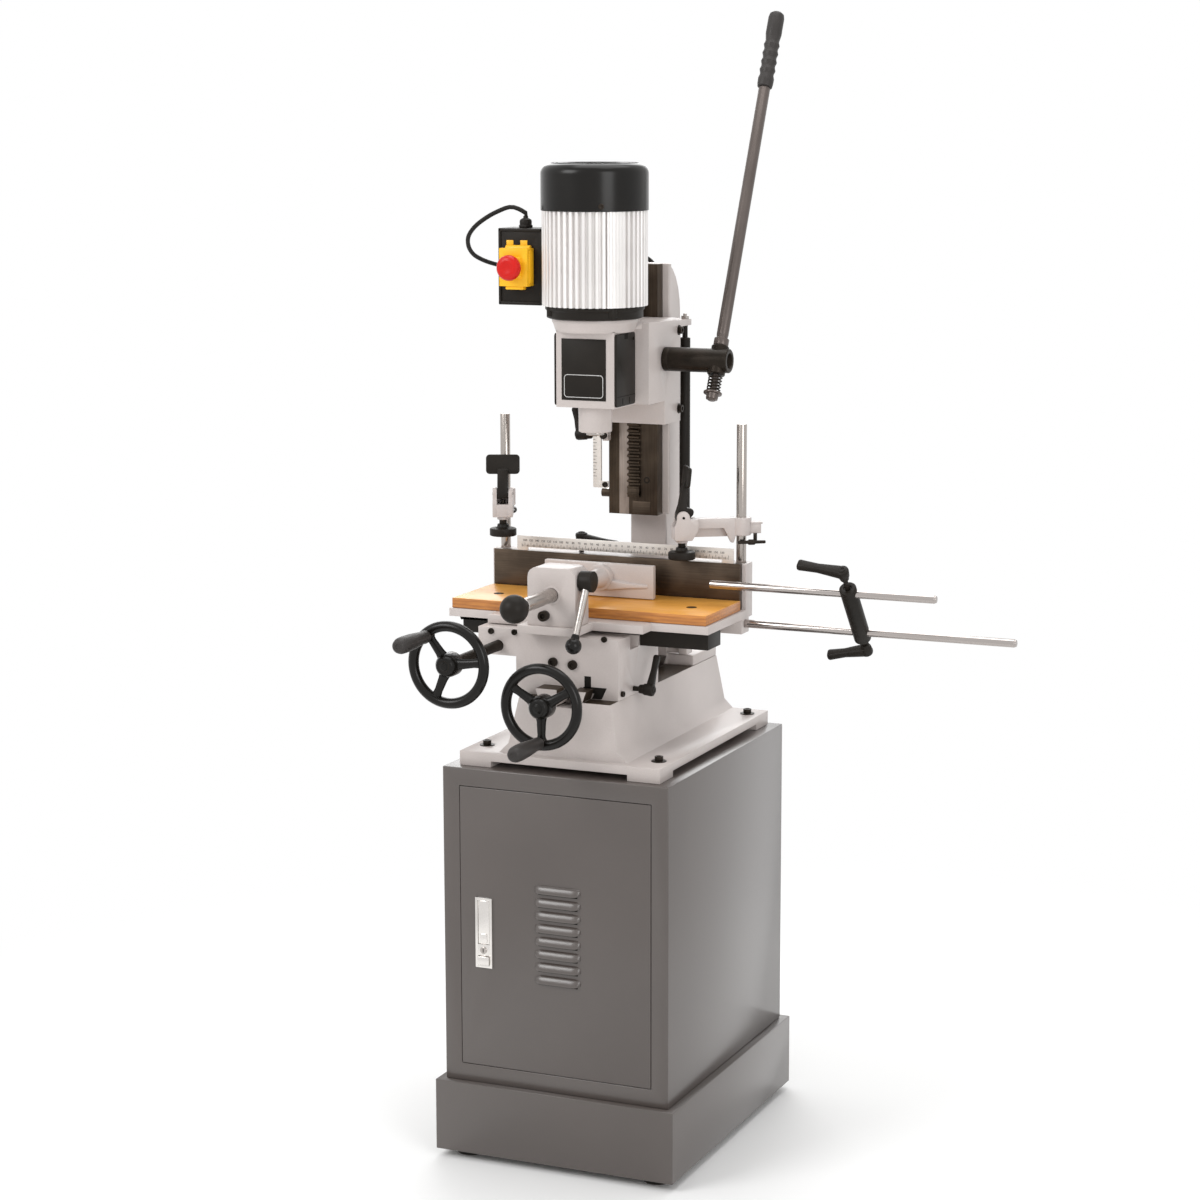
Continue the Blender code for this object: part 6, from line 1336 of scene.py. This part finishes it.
@dataclass
class Feed:
    """Feed pinion, lever hub, lever rod, grip and spring."""

    pivot: tuple = (150.0, -47.0, 1156.8)
    lean: float = 25.2
    hub_start: float = 67.3
    tube_profile: tuple = ((0, 16.0), (0.6, 17.6), (8, 17.6), (8.5, 17.2), (9.3, 17.2), (9.8, 17.6),
                           (99.5, 17.6), (100.5, 16.6), (100.6, 11.6), (99, 11.0), (94.5, 10.4))
    boss_profile: tuple = ((-22, 11.5), (-21, 13), (21, 13), (22, 11.5))
    rod_profile: tuple = ((-61.5, 5.0), (-59.5, 6.0), (-59.4, 8.6), (-51.4, 9.0), (-51.3, 13.4),
                          (-48.9, 13.6), (-48.7, 5.0), (22.3, 5.0), (22.4, 10.4), (24, 11.0), (33, 11.0),
                          (35, 8.0), (40, 8.75), (430.8, 8.75))
    grip_foot: tuple = ((431.3, 9.5), (432.5, 11.0), (438, 11.8))
    groove: tuple = ((0, 12.0), (5, 10.4), (8.5, 10.4))
    grooves: int = 5
    groove_start: float = 446.0
    groove_pitch: float = 13.5
    grip_end: tuple = ((518, 12.0), (544, 12.0), (550, 10.8), (553, 7.4), (553.7, 3.0))

    @property
    def up(self) -> Vector:
        """The direction of the lever."""
        angle = math.radians(self.lean)
        return Vector((0, math.sin(angle), math.cos(angle)))

    def build(self) -> None:
        """Make the feed's pieces."""
        dressed("feed_pinion", STEEL, "feed_pinion", 0.2)
        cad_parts["lever_spring"].data.materials.clear()
        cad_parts["lever_spring"].data.materials.append(OXIDE.material())
        start = (self.hub_start, *self.pivot[1:])
        tube = Bench.turned("hub_tube", self.tube_profile, start, Axis.X.value, 0.2, 48)
        boss = Bench.turned("hub_boss", self.boss_profile, self.pivot, self.up, 0.3)
        fitted(Bench.joined("lever_hub_dressed", [tube, boss]), OXIDE, "lever_hub", "lever_hub")
        rod = Bench.turned("lever_rod_dressed", self.rod_profile, self.pivot, self.up, 0.2)
        fitted(rod, LEVER_STEEL, "lever_rod", "lever_rod")
        profile = list(self.grip_foot)
        for row in range(self.grooves):
            foot = self.groove_start + row * self.groove_pitch
            profile += [(foot + along, radius) for along, radius in self.groove]
        profile += self.grip_end
        grip = Bench.turned("lever_grip_dressed", profile, self.pivot, self.up, 0.3)
        fitted(grip, GRIP, "lever_rod", "lever_grip")


@dataclass
class DepthStop:
    """Depth scale with its marks, and its lock lever."""

    marks: int = 19
    mark_foot: float = 975.0
    mark_pitch: float = 5.0
    mark_left: float = -59.6
    long_mark: float = 6.0
    short_mark: float = 3.6
    mark_width: float = 0.6

    def build(self) -> None:
        """Make the scale, its marks and its lever."""
        dressed("depth_scale", RULE_STEEL, "depth_scale", 0.3)
        RatchetLever("depth_lock_lever", foot=(-53.0, -12.0, 1036.2), way=(-1, 0, 0),
                     handle=(-0.24, 0, 1), hub=13.0, height=25.0, reach=41.0).build()
        marks = []
        for row in range(self.marks):
            foot = self.mark_foot + row * self.mark_pitch
            reach = self.short_mark if row % 2 else self.long_mark
            marks.append(Bench.slab(f"depth_mark_{row}", (self.mark_left, self.mark_left + reach),
                                    (-22.12, -21.9), (foot, foot + self.mark_width), 0.0))
        fitted(Bench.joined("depth_marks", marks), MARKS_AND_SHADE, "depth_scale")
        screw = Bench.bolt("scale_foot_screw", (-40, -21.8, 963.3), FORWARD, 4.2, 3.2)
        fitted(screw, OXIDE, "depth_scale")


@dataclass
class CrossSlide:
    """Saddle with its screws and lock lever, the cross screw, the traverse pinion and both handwheels."""

    front: float = -232.8
    small_screws: tuple = ((-129, 770), (-91.5, 771), (50.4, 770.5))
    large_screws: tuple = ((-30, 731.5), (1, 729.8))
    # Outline of the painted shade in the gap between the saddle's dovetail and the ridge.
    gap_outline: tuple = ((11.0, 695.0), (18.8, 699.2), (53.9, 699.3), (46.2, 683.2), (44.0, 682.2),
                          (30.5, 682.2), (34.3, 690.3), (12.0, 690.6))

    def build(self) -> None:
        """Make the saddle and what turns in it."""
        dressed("saddle", CAST_PAINT, "saddle", 1.6)
        RatchetLever("saddle_lock_lever", foot=(72.0, -177.0, 690.3), way=(1, 0, 0),
                     handle=(0, 0.53, 0.85), hub=9.0, height=22.5, reach=53.0).build()
        dressed("cross_screw", STEEL, "cross_drive", 0.3)
        dressed("traverse_pinion", OXIDE, "traverse_drive", 0.3)
        Handwheel("cross_wheel", centre=(0.0, -340.0, 688.3), grip_angle=math.radians(-90),
                  body="cross_drive", grip_body="cross_grip", shaft_node="cross_handwheel").build()
        Handwheel("traverse_wheel", centre=(-118.0, -394.0, 749.6), grip_angle=math.radians(127),
                  body="traverse_drive", grip_body="traverse_grip",
                  shaft_node="traverse_handwheel").build()
        made = []
        for row, (x, z) in enumerate(self.small_screws):
            made.append(Bench.bolt(f"saddle_small_{row}", (x, self.front, z), FORWARD, 4.4, 3.2))
        for row, (x, z) in enumerate(self.large_screws):
            made.append(Bench.bolt(f"saddle_large_{row}", (x, self.front, z), FORWARD, 7.0, 5.0))
        made.append(Bench.bolt("saddle_side_screw", (72.2, -222, 690.5), Axis.X.value, 4.2, 4.2))
        fitted(Bench.joined("saddle_screws", made), OXIDE, "saddle")
        # Painted shade: near-black marks on the saddle's front for its dark slot and for the gap between
        # its dovetail and the ridge.
        slot = Bench.slab("saddle_slot_shade", (18.8, 29.2), (-233.3, -232.0), (697.8, 714.6), 0.2)
        gap = Bench.prism("saddle_gap_shade", self.gap_outline, (-233.3, -232.5), Axis.Y, 0.0)
        fitted(Bench.joined("saddle_slot_shade", [slot, gap]), MARKS_AND_SHADE, "saddle")


@dataclass
class Table:
    """Table casting, beech board, fence with its ruler, and the fence lever."""

    board_screws: tuple = ((-172, -118, 0), (138, -118, 0))
    marked: tuple = (-175.0, 169.0)
    zero: float = -6.0
    first_mark: int = -165
    last_mark: int = 170
    last_ten: int = 16
    mark_y: tuple = (-38.12, -37.9)
    mark_foot: float = 864.4
    mark_half: float = 0.22
    ten_mark: float = 6.0
    five_mark: float = 4.2
    single_mark: float = 2.8
    number_foot: float = 872.6
    number_size: float = 4.6

    def build(self) -> None:
        """Make the table's pieces."""
        casting = dressed("table_casting", CAST_PAINT, "table", 1.4)
        painted(casting, SATIN_BLACK, lambda middle, out: middle.z < 776.9 and -205 < middle.y < -52)
        dressed("table_top", WOOD, "table", 1.0)
        dressed("fence_plate", GROUND, "table", 0.6)
        dressed("ruler", RULE_STEEL, "table", 0.25)
        RatchetLever("fence_lock_lever", foot=(-84.6, -10.0, 858.4), way=(0, 0, 1), handle=(1, 0, -0.13),
                     hub=9.0, height=19.0, reach=60.0).build()
        self.make_board_screws()
        self.make_ruler_marks()

    def make_board_screws(self) -> None:
        """Countersunk holes of the board as dark rings of painted shade, with their screw heads."""
        sink = ((804.25, 7.6), (804.55, 7.6))
        screw = ((804.2, 5.6), (804.75, 5.4), (804.75, 2.0), (804.6, 1.6))
        holes, heads = [], []
        for row, spot in enumerate(self.board_screws):
            holes.append(Bench.turned(f"countersink_{row}", sink, spot, Axis.Z.value, 0.0, 32))
            heads.append(Bench.turned(f"screw_head_{row}", screw, spot, Axis.Z.value, 0.0, 32))
        # Painted shade: near-black rings round the heads for the dark countersinks.
        fitted(Bench.joined("board_hole_shade", holes), MARKS_AND_SHADE, "table")
        fitted(Bench.joined("board_screws", heads), OXIDE, "table")

    def make_ruler_marks(self) -> None:
        """Marks at every second and every fifth millimetre, and a number at every tenth."""
        marks = []
        for step in range(self.first_mark, self.last_mark + 1):
            x = self.zero + step
            odd = step % 5 and step % 2
            if odd or not self.marked[0] < x < self.marked[1]:
                continue
            height = self.single_mark if step % 5 else self.five_mark if step % 10 else self.ten_mark
            marks.append(Bench.slab(f"mark_{step}", (x - self.mark_half, x + self.mark_half), self.mark_y,
                                    (self.mark_foot, self.mark_foot + height), 0.0))
        fitted(Bench.joined("ruler_marks", marks), MARKS_AND_SHADE, "table")
        numbers = []
        for ten in range(-self.last_ten, self.last_ten + 1):
            numbers.append(self.number(str(abs(ten * 10)), self.zero + ten * 10))
        fitted(Bench.joined("ruler_numbers", numbers), MARKS_AND_SHADE, "table")

    def number(self, words: str, x: float) -> Thing:
        """One number above its mark.

        Args:
            words: Its figures.
            x: The place of its mark.

        Returns:
            A mesh as thick as ink.
        """
        Bench.clear()
        bpy.ops.object.text_add()
        label = bpy.context.active_object
        label.data.body = words
        label.data.size = self.number_size * MM
        label.data.align_x = "CENTER"
        label.data.extrude = 0.05 * MM
        label.data.resolution_u = 2
        bpy.ops.object.convert(target="MESH")
        label = bpy.context.active_object
        spot = place((x, -38.1, self.number_foot))
        label.data.transform(Matrix.Translation(spot) @ Matrix.Rotation(math.pi / 2, 4, "X"))
        return label


@dataclass
class Clamp:
    """Clamp block, sliding bar with jaw and knob, and the clamp lever."""

    bar: tuple = (-19.0, 834.4)
    jaw_face: float = -87.0
    boss_profile: tuple = ((0, 20.5), (1.5, 20), (8, 19.4), (8.1, 15))
    sleeve_profile: tuple = ((94, 16.5), (99, 14.0), (128, 12.6), (146, 12.4), (147, 9.0))
    rod_profile: tuple = ((140, 10), (356, 10), (357, 9.4), (357.1, 8.4), (368, 8.4))
    bush_section: tuple = ((240, 10.3), (262.6, 10.3), (262.6, 13.7), (240, 13.7))
    knob_neck: tuple = ((360, 9.6), (363, 12.0))
    knob_centre: float = 386.3
    knob_radius: float = 20.4
    hub_start: tuple = (18.3, -243.0, 854.4)
    hub_profile: tuple = ((0.3, 14.0), (0.8, 15.2), (19.5, 15.2), (20.7, 14.0))
    lever_start: tuple = (28.65, -243.0, 854.4)
    lever_lean: float = 30.5
    lever_profile: tuple = ((13, 6.0), (20, 5.8), (88, 4.9))
    ball_neck: tuple = ((82, 5.2), (86, 6.2))
    ball_centre: float = 98.5
    ball_radius: float = 11.8
    rib_sections: tuple = ((-100, 3.0, 1.0), (-60, 5.0, 5.0), (-36, 9.5, 6.0), (-2, 9.5, 6.0),
                           (22, 5.0, 5.0), (56, 3.0, 1.0))
    rib_middle: float = 824.0

    def build(self) -> None:
        """Make the clamp's pieces."""
        dressed("clamp_block", CAST_PAINT, "table", 3.0)
        self.make_bar()
        self.make_lever()
        screw = Bench.bolt("clamp_set_screw", (-29.5, -261.8, 804.5), FORWARD, 7.6, 10.0)
        fitted(screw, OXIDE, "table")

    def on_bar(self, name: str, profile: Sequence[Point], bevel: float, closed: bool = False) -> Thing:
        """Turn a profile about the bar, with its distances from the front of the column's way."""
        return Bench.turned(name, profile, (self.bar[0], 0, self.bar[1]), FORWARD, bevel, 48, closed)

    def make_bar(self) -> None:
        """Jaw with its rib and boss, then the sleeve, the rod, the block's bush and the knob."""
        jaw = Bench.slab("jaw_plate", (-111, 65), (self.jaw_face, -77), (805.4, 855.4), 1.6)
        rib = self.rib()
        boss = Bench.turned("jaw_boss", self.boss_profile, (self.bar[0], self.jaw_face, self.bar[1]),
                            FORWARD, 0.5)
        fitted(Bench.joined("clamp_jaw", [jaw, rib, boss]), CAST_PAINT, "clamp_bar", "clamp_bar")
        fitted(self.on_bar("jaw_sleeve", self.sleeve_profile, 0.4), CAST_PAINT, "clamp_bar")
        fitted(self.on_bar("clamp_bar_rod", self.rod_profile, 0.2), STEEL, "clamp_bar")
        fitted(self.on_bar("clamp_bush", self.bush_section, 0.3, True), CAST_PAINT, "table")
        knob = [*self.knob_neck, *Bench.ball(self.knob_centre, self.knob_radius, 13.0, 16)]
        fitted(self.on_bar("clamp_knob", knob, 0.0), SATIN_BLACK, "clamp_bar")

    def make_lever(self) -> None:
        """Hub, rod and ball of the clamp lever."""
        hub = Bench.turned("clamp_hub", self.hub_profile, self.hub_start, Axis.X.value, 0.2, 48)
        fitted(hub, SATIN_BLACK, "clamp_lever", "clamp_lever")
        angle = math.radians(self.lever_lean)
        down = Vector((0, -math.sin(angle), -math.cos(angle)))
        rod = Bench.turned("clamp_lever_rod", self.lever_profile, self.lever_start, down, 0.0, 32)
        fitted(rod, STEEL, "clamp_lever")
        profile = [*self.ball_neck,
                   *Bench.ball(self.ball_centre, self.ball_radius, self.ball_neck[-1][1], 12)]
        ball = Bench.turned("clamp_lever_ball", profile, self.lever_start, down, 0.0)
        fitted(ball, BLACK, "clamp_lever")

    def rib(self) -> Thing:
        """The rib along the front of the jaw, thick at the boss and thin at its ends.

        Returns:
            A closed mesh.
        """
        rings = []
        root, middle = self.jaw_face + 0.5, self.rib_middle
        for x, high, out in self.rib_sections:
            face, half = self.jaw_face - out, high * 0.7
            rings.append([(x, root, middle - high), (x, face, middle - half), (x, face, middle + half),
                          (x, root, middle + high)])
        return Bench.skinned("jaw_rib", rings, 0.8)


@dataclass
class HoldDown:
    """One hold-down: post, arm, cam lever and pad.

    The arm starts at its height on the post, and runs off at an angle. The pad hangs at its
    reach, the cam lever is as high as top above the arm's foot, and the collar's split lip
    sticks out behind the post.
    """

    side: str
    post: tuple
    arm_height: float
    angle: float
    reach: float
    top: float
    lip: float
    hinge: float = 35.0
    ear: float = 9.6
    pad_profile: tuple = ((-27.8, 18.6), (-26.8, 20.0), (-17.5, 20.0), (-16.4, 18.6), (-16.3, 12),
                          (-14.5, 9.0), (-10.2, 8.4), (-10.1, 5.0))
    pad_stem: tuple = ((-12.9, 5.6), (20.0, 5.6), (21, 3.0), (26.0, 3.0))
    collar_profile: tuple = ((6.2, 13.6), (7.4, 14.9), (31.4, 14.9), (32.6, 13.6))
    wing_profile: tuple = ((-21, 1.6), (-20, 2.4), (-6, 2.6), (-4, 4.2), (4, 4.2), (6, 2.6), (20, 2.4),
                           (21, 1.6))
    paddle_half: float = 25.2
    paddle_height: float = 29.0
    paddle_lean: float = 0.10

    def build(self) -> None:
        """Make the hold-down's pieces."""
        side = self.side
        dressed(f"post_{side}", CHROME, f"post_{side}", 0.5)
        self.make_arm()
        self.make_lever()
        tip = self.spot(self.reach, 0, 0)
        pad = Bench.turned(f"hold_pad_{side}_disc", self.pad_profile, tip, Axis.Z.value, 0.3, 48)
        fitted(pad, SATIN_BLACK, f"hold_pad_{side}", f"hold_pad_{side}")
        stem = Bench.turned(f"hold_pad_{side}_stem", self.pad_stem, tip, Axis.Z.value, 0.2, 28)
        fitted(stem, OXIDE, f"hold_pad_{side}")

    def spot(self, along: float, up: float, across: float) -> Vector:
        """A place on the hold-down.

        Args:
            along: How far along its arm, from the post.
            up: How high above the arm's foot.
            across: How far to the side of the arm.

        Returns:
            The place on the machine.
        """
        turn = math.radians(self.angle)
        ray = Vector((math.cos(turn), math.sin(turn), 0))
        side = Vector((-ray.y, ray.x, 0))
        return Vector((*self.post, self.arm_height)) + ray * along + side * across + Vector((0, 0, up))

    def make_arm(self) -> None:
        """Collar, arched beam, fork with round ears, and the collar's clamping screw."""
        side, far, lip = self.side, self.reach, self.lip
        turns = [math.pi * (step / 10 - 0.08) for step in range(12)]
        ear = [(far + self.ear * math.cos(turn),
                self.hinge + self.ear * math.sin(turn)) for turn in turns]
        cheek = [(far - 13, 1.0), (far + 12, 1.0), (far + 13, 4), (far + 13, 22), (far + 10.5, 27), *ear,
                 (far - 11, 32.4), (far - 22, 32.4), (far - 22, 16)]
        beam = [(10, 6.4), (13.0, -4), (16.5, -4), (28, 18.0), (far - 24, 18.0), (far - 14, 9),
                (far - 12, 9), (far - 12, 32.4), (10, 32.4)]
        back = [(12, 4.0), (far - 14, 4.0), (far - 14, 32.0), (12, 32.0)]
        fork = [(far - 12.6, 1.0), (far + 12.6, 1.0), (far + 12.6, 20), (far - 12.6, 20)]
        tab = [(-12, 9), (2 - lip, 9), (2 - lip, 24), (-12, 24)]
        tab_lip = [(-12, 23), (-lip, 23), (-lip, 26), (-12, 26)]
        tip = self.spot(far, 0, 0)
        parts = [
            Bench.turned(f"collar_{side}", self.collar_profile, self.spot(0, 0, 0), Axis.Z.value, 0.3,
                         40),
            Bench.pushed(f"beam_{side}", beam, (-2.0, 9.5), self.spot, 0.8),
            Bench.pushed(f"beam_back_{side}", back, (-9.5, -2.2), self.spot, 0.8),
            Bench.pushed(f"cheek_a_{side}", cheek, (8.6, 15.0), self.spot, 0.9),
            Bench.pushed(f"cheek_b_{side}", cheek, (-15.0, -8.6), self.spot, 0.9),
            Bench.pushed(f"fork_{side}", fork, (-12, 12), self.spot, 0.9),
            Bench.turned(f"fork_boss_{side}", [(-3.5, 7.8), (-3.0, 8.8), (1.5, 8.8)], tip, Axis.Z.value,
                         0.3, 32),
            Bench.pushed(f"tab_{side}", tab, (-3, 9), self.spot, 0.8),
            Bench.pushed(f"tab_lip_{side}", tab_lip, (-4, 10), self.spot, 0.6),
        ]
        arm = Bench.joined(f"hold_arm_{side}_dressed", parts)
        fitted(arm, CAST_PAINT, f"hold_arm_{side}", f"hold_arm_{side}")
        way = self.spot(1, 0, 0) - self.spot(0, 0, 0)
        screw = [
            Bench.turned(f"wing_{side}", self.wing_profile, self.spot(-13, -3.4, 12), way, 0.2, 20),
            Bench.turned(f"wing_stem_{side}", [(-4, 2.8), (9.5, 2.8)], self.spot(-19, 0, 9), Axis.Z.value,
                         0.2, 20),
        ]
        fitted(Bench.joined(f"arm_screw_{side}", screw), OXIDE, f"hold_arm_{side}")
        pin = []
        for across, out in ((14.6, 1), (-14.6, -1)):
            pin.append(Bench.turned(f"cam_pin_{side}_{out}", [(0, 2.0), (0.9, 2.0)],
                                    self.spot(far, self.hinge, across),
                                    self.spot(0, 0, out) - self.spot(0, 0, 0), 0.1, 20))
        fitted(Bench.joined(f"cam_pins_{side}", pin), MARKS_AND_SHADE, f"hold_arm_{side}")

    def make_lever(self) -> None:
        """Cam lever with its heel, its stem and its rounded paddle."""
        side, far, top = self.side, self.reach, self.top
        stem = [(far + 8.0, 28.4), (far + 9.6, 33), (far + 8.6, 42), (far + 5.0, 53),
                (far + 0.5, 53 + (top - 63) * 0.55), (far - 3.5, top - 20), (far - 9.6, top - 20),
                (far - 6.4, 53), (far - 6.2, 49), (far - 15.0, 46.5), (far - 16.6, 43),
                (far - 15.6, 38.5), (far - 8, 30), (far, 27.6)]
        shank = Bench.pushed(f"cam_shank_{side}", stem, (-8.0, 8.0), self.spot, 0.8)
        outline = Head.rounded((-self.paddle_half, self.paddle_half), (top - self.paddle_height, top),
                               5.5)
        rings = []
        for along in (-9.3, -4.8):
            rings.append([self.spot(far + along - (up - top + 14) * self.paddle_lean, up, across)
                          for across, up in outline])
        paddle = Bench.skinned(f"cam_paddle_{side}", rings, 1.4)
        fitted(Bench.joined(f"cam_lever_{side}_dressed", [shank, paddle]), SATIN_BLACK,
               f"cam_lever_{side}", f"cam_lever_{side}")


@dataclass
class SideStop:
    """The two side rods, their connector and its levers."""

    lower: tuple = (-30.0, 769.4)
    upper: tuple = (-84.9, 834.4)
    lower_reach: tuple = (140.0, 599.0)
    upper_reach: tuple = (154.0, 497.0)
    radius: float = 6.0
    neck: float = 5.2
    connector_x: float = 367.0
    barrel_foot: tuple = ((-14.5, 10.9), (-13.5, 12.5))
    barrel_end: tuple = ((11, 12.5), (12.4, 10.9), (12.5, 6.0), (10.5, 5.6))
    lever_stout: float = 1.35

    def build(self) -> None:
        """Make the side stop's pieces."""
        self.make_rod("lower_stop_rod", self.lower_reach, self.lower)
        self.make_rod("upper_stop_rod", self.upper_reach, self.upper)
        low, high = Vector((self.connector_x, *self.lower)), Vector((self.connector_x, *self.upper))
        way = (high - low).normalized()
        size = (high - low).length
        barrel = [*self.barrel_foot, *((size + along, radius) for along, radius in self.barrel_end)]
        body = Bench.turned("rod_connector_dressed", barrel, low, way, 0.3, 40)
        fitted(body, SATIN_BLACK, "rod_connector", "rod_connector")
        RatchetLever("connector_lever_upper", foot=tuple(high + way * 11), way=tuple(way),
                     handle=(-1, 0, 0.11), hub=20.0, height=21.0, reach=68.0,
                     stout=self.lever_stout).build()
        RatchetLever("connector_lever_lower", foot=tuple(low - way * 14), way=tuple(-way),
                     handle=(-1, 0, -0.2), hub=13.0, height=20.0, reach=60.0,
                     stout=self.lever_stout).build()

    def make_rod(self, name: str, reach: Point, line: Point) -> None:
        """One side rod with a groove near its end.

        Args:
            name: The solid that it stands for, which is also its body.
            reach: Its two ends across the machine.
            line: The depth and height that it lies at.
        """
        left, right = reach
        end = right - left
        profile = [(0, self.neck), (0.8, self.radius), (end - 3.0, self.radius), (end - 2.6, self.neck),
                   (end - 1.0, self.neck), (end, 4.4)]
        rod = Bench.turned(name + "_dressed", profile, (left, *line), Axis.X.value, 0.2, 32)
        fitted(rod, CHROME_SIDE, name, name)


@dataclass
class Studio:
    """Floor, softboxes, world and camera."""

    azimuth: float = 23.738
    elevation: float = 9.817
    roll: float = -0.151
    lens: float = 86.33
    stand_at: tuple = (1671.2, -3934.2, 1526.8)
    floor_size: float = 16.0
    fade: tuple = (0.75, 1.7)
    aim: tuple = (0, 0, 0.9)
    grey_light: float = 0.62
    lamps: tuple = (
        ("key", (-2.6, -3.4, 3.4), (2.2, 2.2), 95.0),
        ("fill", (3.6, -3.0, 2.2), (2.0, 2.6), 60.0),
        ("top", (0.0, 0.6, 4.4), (3.0, 3.0), 70.0),
        ("back", (-1.6, 3.4, 2.6), (2.4, 2.4), 40.0),
    )

    def build(self) -> None:
        """Set up everything that isn't the machine."""
        self.make_camera()
        self.make_floor()
        self.make_lamps()
        self.make_world()
        bpy.context.scene.view_settings.view_transform = "Standard"

    def make_camera(self) -> None:
        """The photograph's camera."""
        a, e, r = (math.radians(angle) for angle in (self.azimuth, self.elevation, self.roll))
        back = Vector((math.sin(a) * math.cos(e), -math.cos(a) * math.cos(e), math.sin(e)))
        right = Vector((math.cos(a), math.sin(a), 0))
        up = back.cross(right)
        across = right * math.cos(r) + up * math.sin(r)
        up = up * math.cos(r) - right * math.sin(r)
        lens = bpy.data.cameras.new("camera")
        lens.lens = self.lens
        lens.sensor_width = 36.0
        lens.clip_end = 50.0
        camera = bpy.data.objects.new("camera", lens)
        bpy.context.scene.collection.objects.link(camera)
        turn = Matrix((across, up, back)).transposed().to_4x4()
        camera.matrix_world = Matrix.Translation(place(self.stand_at)) @ turn
        bpy.context.scene.camera = camera

    def rays(self, tree: Tree) -> Value:
        """Tell the rays that show the background from those that light the machine.

        Args:
            tree: The material that asks.

        Returns:
            1 for camera, glossy and transmission rays, and 0 for the rest.
        """
        paths = tree.tree.nodes.new("ShaderNodeLightPath")
        seen = [Value(tree, paths.outputs[label]) for label in ("Is Camera Ray", "Is Glossy Ray",
                                                                "Is Transmission Ray")]
        total = seen[0] + seen[1] + seen[2]
        return tree.add("ShaderNodeMath", {"operation": "MINIMUM"}, {0: total, 1: 1.0})

    def make_floor(self) -> None:
        """Pale floor that keeps the shadow near the machine and fades to white."""
        Bench.clear()
        bpy.ops.mesh.primitive_plane_add(size=self.floor_size)
        floor = bpy.context.active_object
        floor.name = "floor"
        bpy.ops.object.mode_set(mode="EDIT")
        bpy.ops.mesh.subdivide(number_cuts=3)
        bpy.ops.object.mode_set(mode="OBJECT")
        tree = Tree("pale_floor")
        broad = tree.noise(1.5, 2.0)
        tree.shade(Base_Color=tree.mixed(broad, (0.90, 0.90, 0.895), (0.92, 0.92, 0.915)), Roughness=0.7)
        where = Value(tree, tree.coordinates.outputs["Object"])
        far = tree.add("ShaderNodeVectorMath", {"operation": "LENGTH"}, {0: where},
                       "Value").step(*self.fade)
        glow = tree.tree.nodes.new("ShaderNodeEmission")
        blend = tree.tree.nodes.new("ShaderNodeMixShader")
        tree.feed(blend.inputs[0], far * self.rays(tree))
        tree.tree.links.new(tree.shader.outputs[0], blend.inputs[1])
        tree.tree.links.new(glow.outputs[0], blend.inputs[2])
        tree.tree.links.new(blend.outputs[0], tree.tree.nodes["Material Output"].inputs[0])
        floor.data.materials.append(tree.material)

    def make_lamps(self) -> None:
        """Softboxes round the machine, each turned to its middle."""
        for name, spot, size, power in self.lamps:
            data = bpy.data.lights.new(name, "AREA")
            data.shape = "RECTANGLE"
            data.size, data.size_y = size
            data.energy = power
            lamp = bpy.data.objects.new(name, data)
            bpy.context.scene.collection.objects.link(lamp)
            lamp.location = spot
            lamp.rotation_euler = (Vector(self.aim) - Vector(spot)).to_track_quat("-Z", "Y").to_euler()

    def make_world(self) -> None:
        """White background for seen rays, and plain grey light for the rest."""
        world = bpy.data.worlds.new("studio")
        bpy.context.scene.world = world
        world.use_nodes = True
        nodes, links = world.node_tree.nodes, world.node_tree.links
        paths = nodes.new("ShaderNodeLightPath")
        seen = nodes.new("ShaderNodeMath")
        seen.operation = "MAXIMUM"
        both = nodes.new("ShaderNodeMath")
        both.operation = "MAXIMUM"
        links.new(paths.outputs["Is Glossy Ray"], both.inputs[0])
        links.new(paths.outputs["Is Transmission Ray"], both.inputs[1])
        links.new(paths.outputs["Is Camera Ray"], seen.inputs[0])
        links.new(both.outputs[0], seen.inputs[1])
        strength = nodes.new("ShaderNodeMapRange")
        strength.inputs["To Min"].default_value = self.grey_light
        strength.inputs["To Max"].default_value = 1.0
        links.new(seen.outputs[0], strength.inputs["Value"])
        links.new(strength.outputs[0], nodes["Background"].inputs["Strength"])
        nodes["Background"].inputs["Color"].default_value = (1, 1, 1, 1)


def main() -> None:
    """Build the studio and every sub-assembly in order."""
    logging.basicConfig(level=logging.INFO, format="%(name)s: %(message)s")
    assemblies = [
        Studio(), MainsCord(), Stand(), Head(), Feed(), DepthStop(), CrossSlide(), Table(), Clamp(),
        HoldDown("right", post=(174.0, -12.0), arm_height=892.1, angle=212.6, reach=89.0, top=109.0,
                 lip=30.0),
        HoldDown("left", post=(-210.0, -12.0), arm_height=916.1, angle=-67.2, reach=88.0, top=93.0,
                 lip=26.5),
        SideStop(),
    ]
    for assembly in assemblies:
        assembly.build()
        LOG.info("%s is built", type(assembly).__name__)
    Bench.clear()


if __name__ == "__main__":
    main()
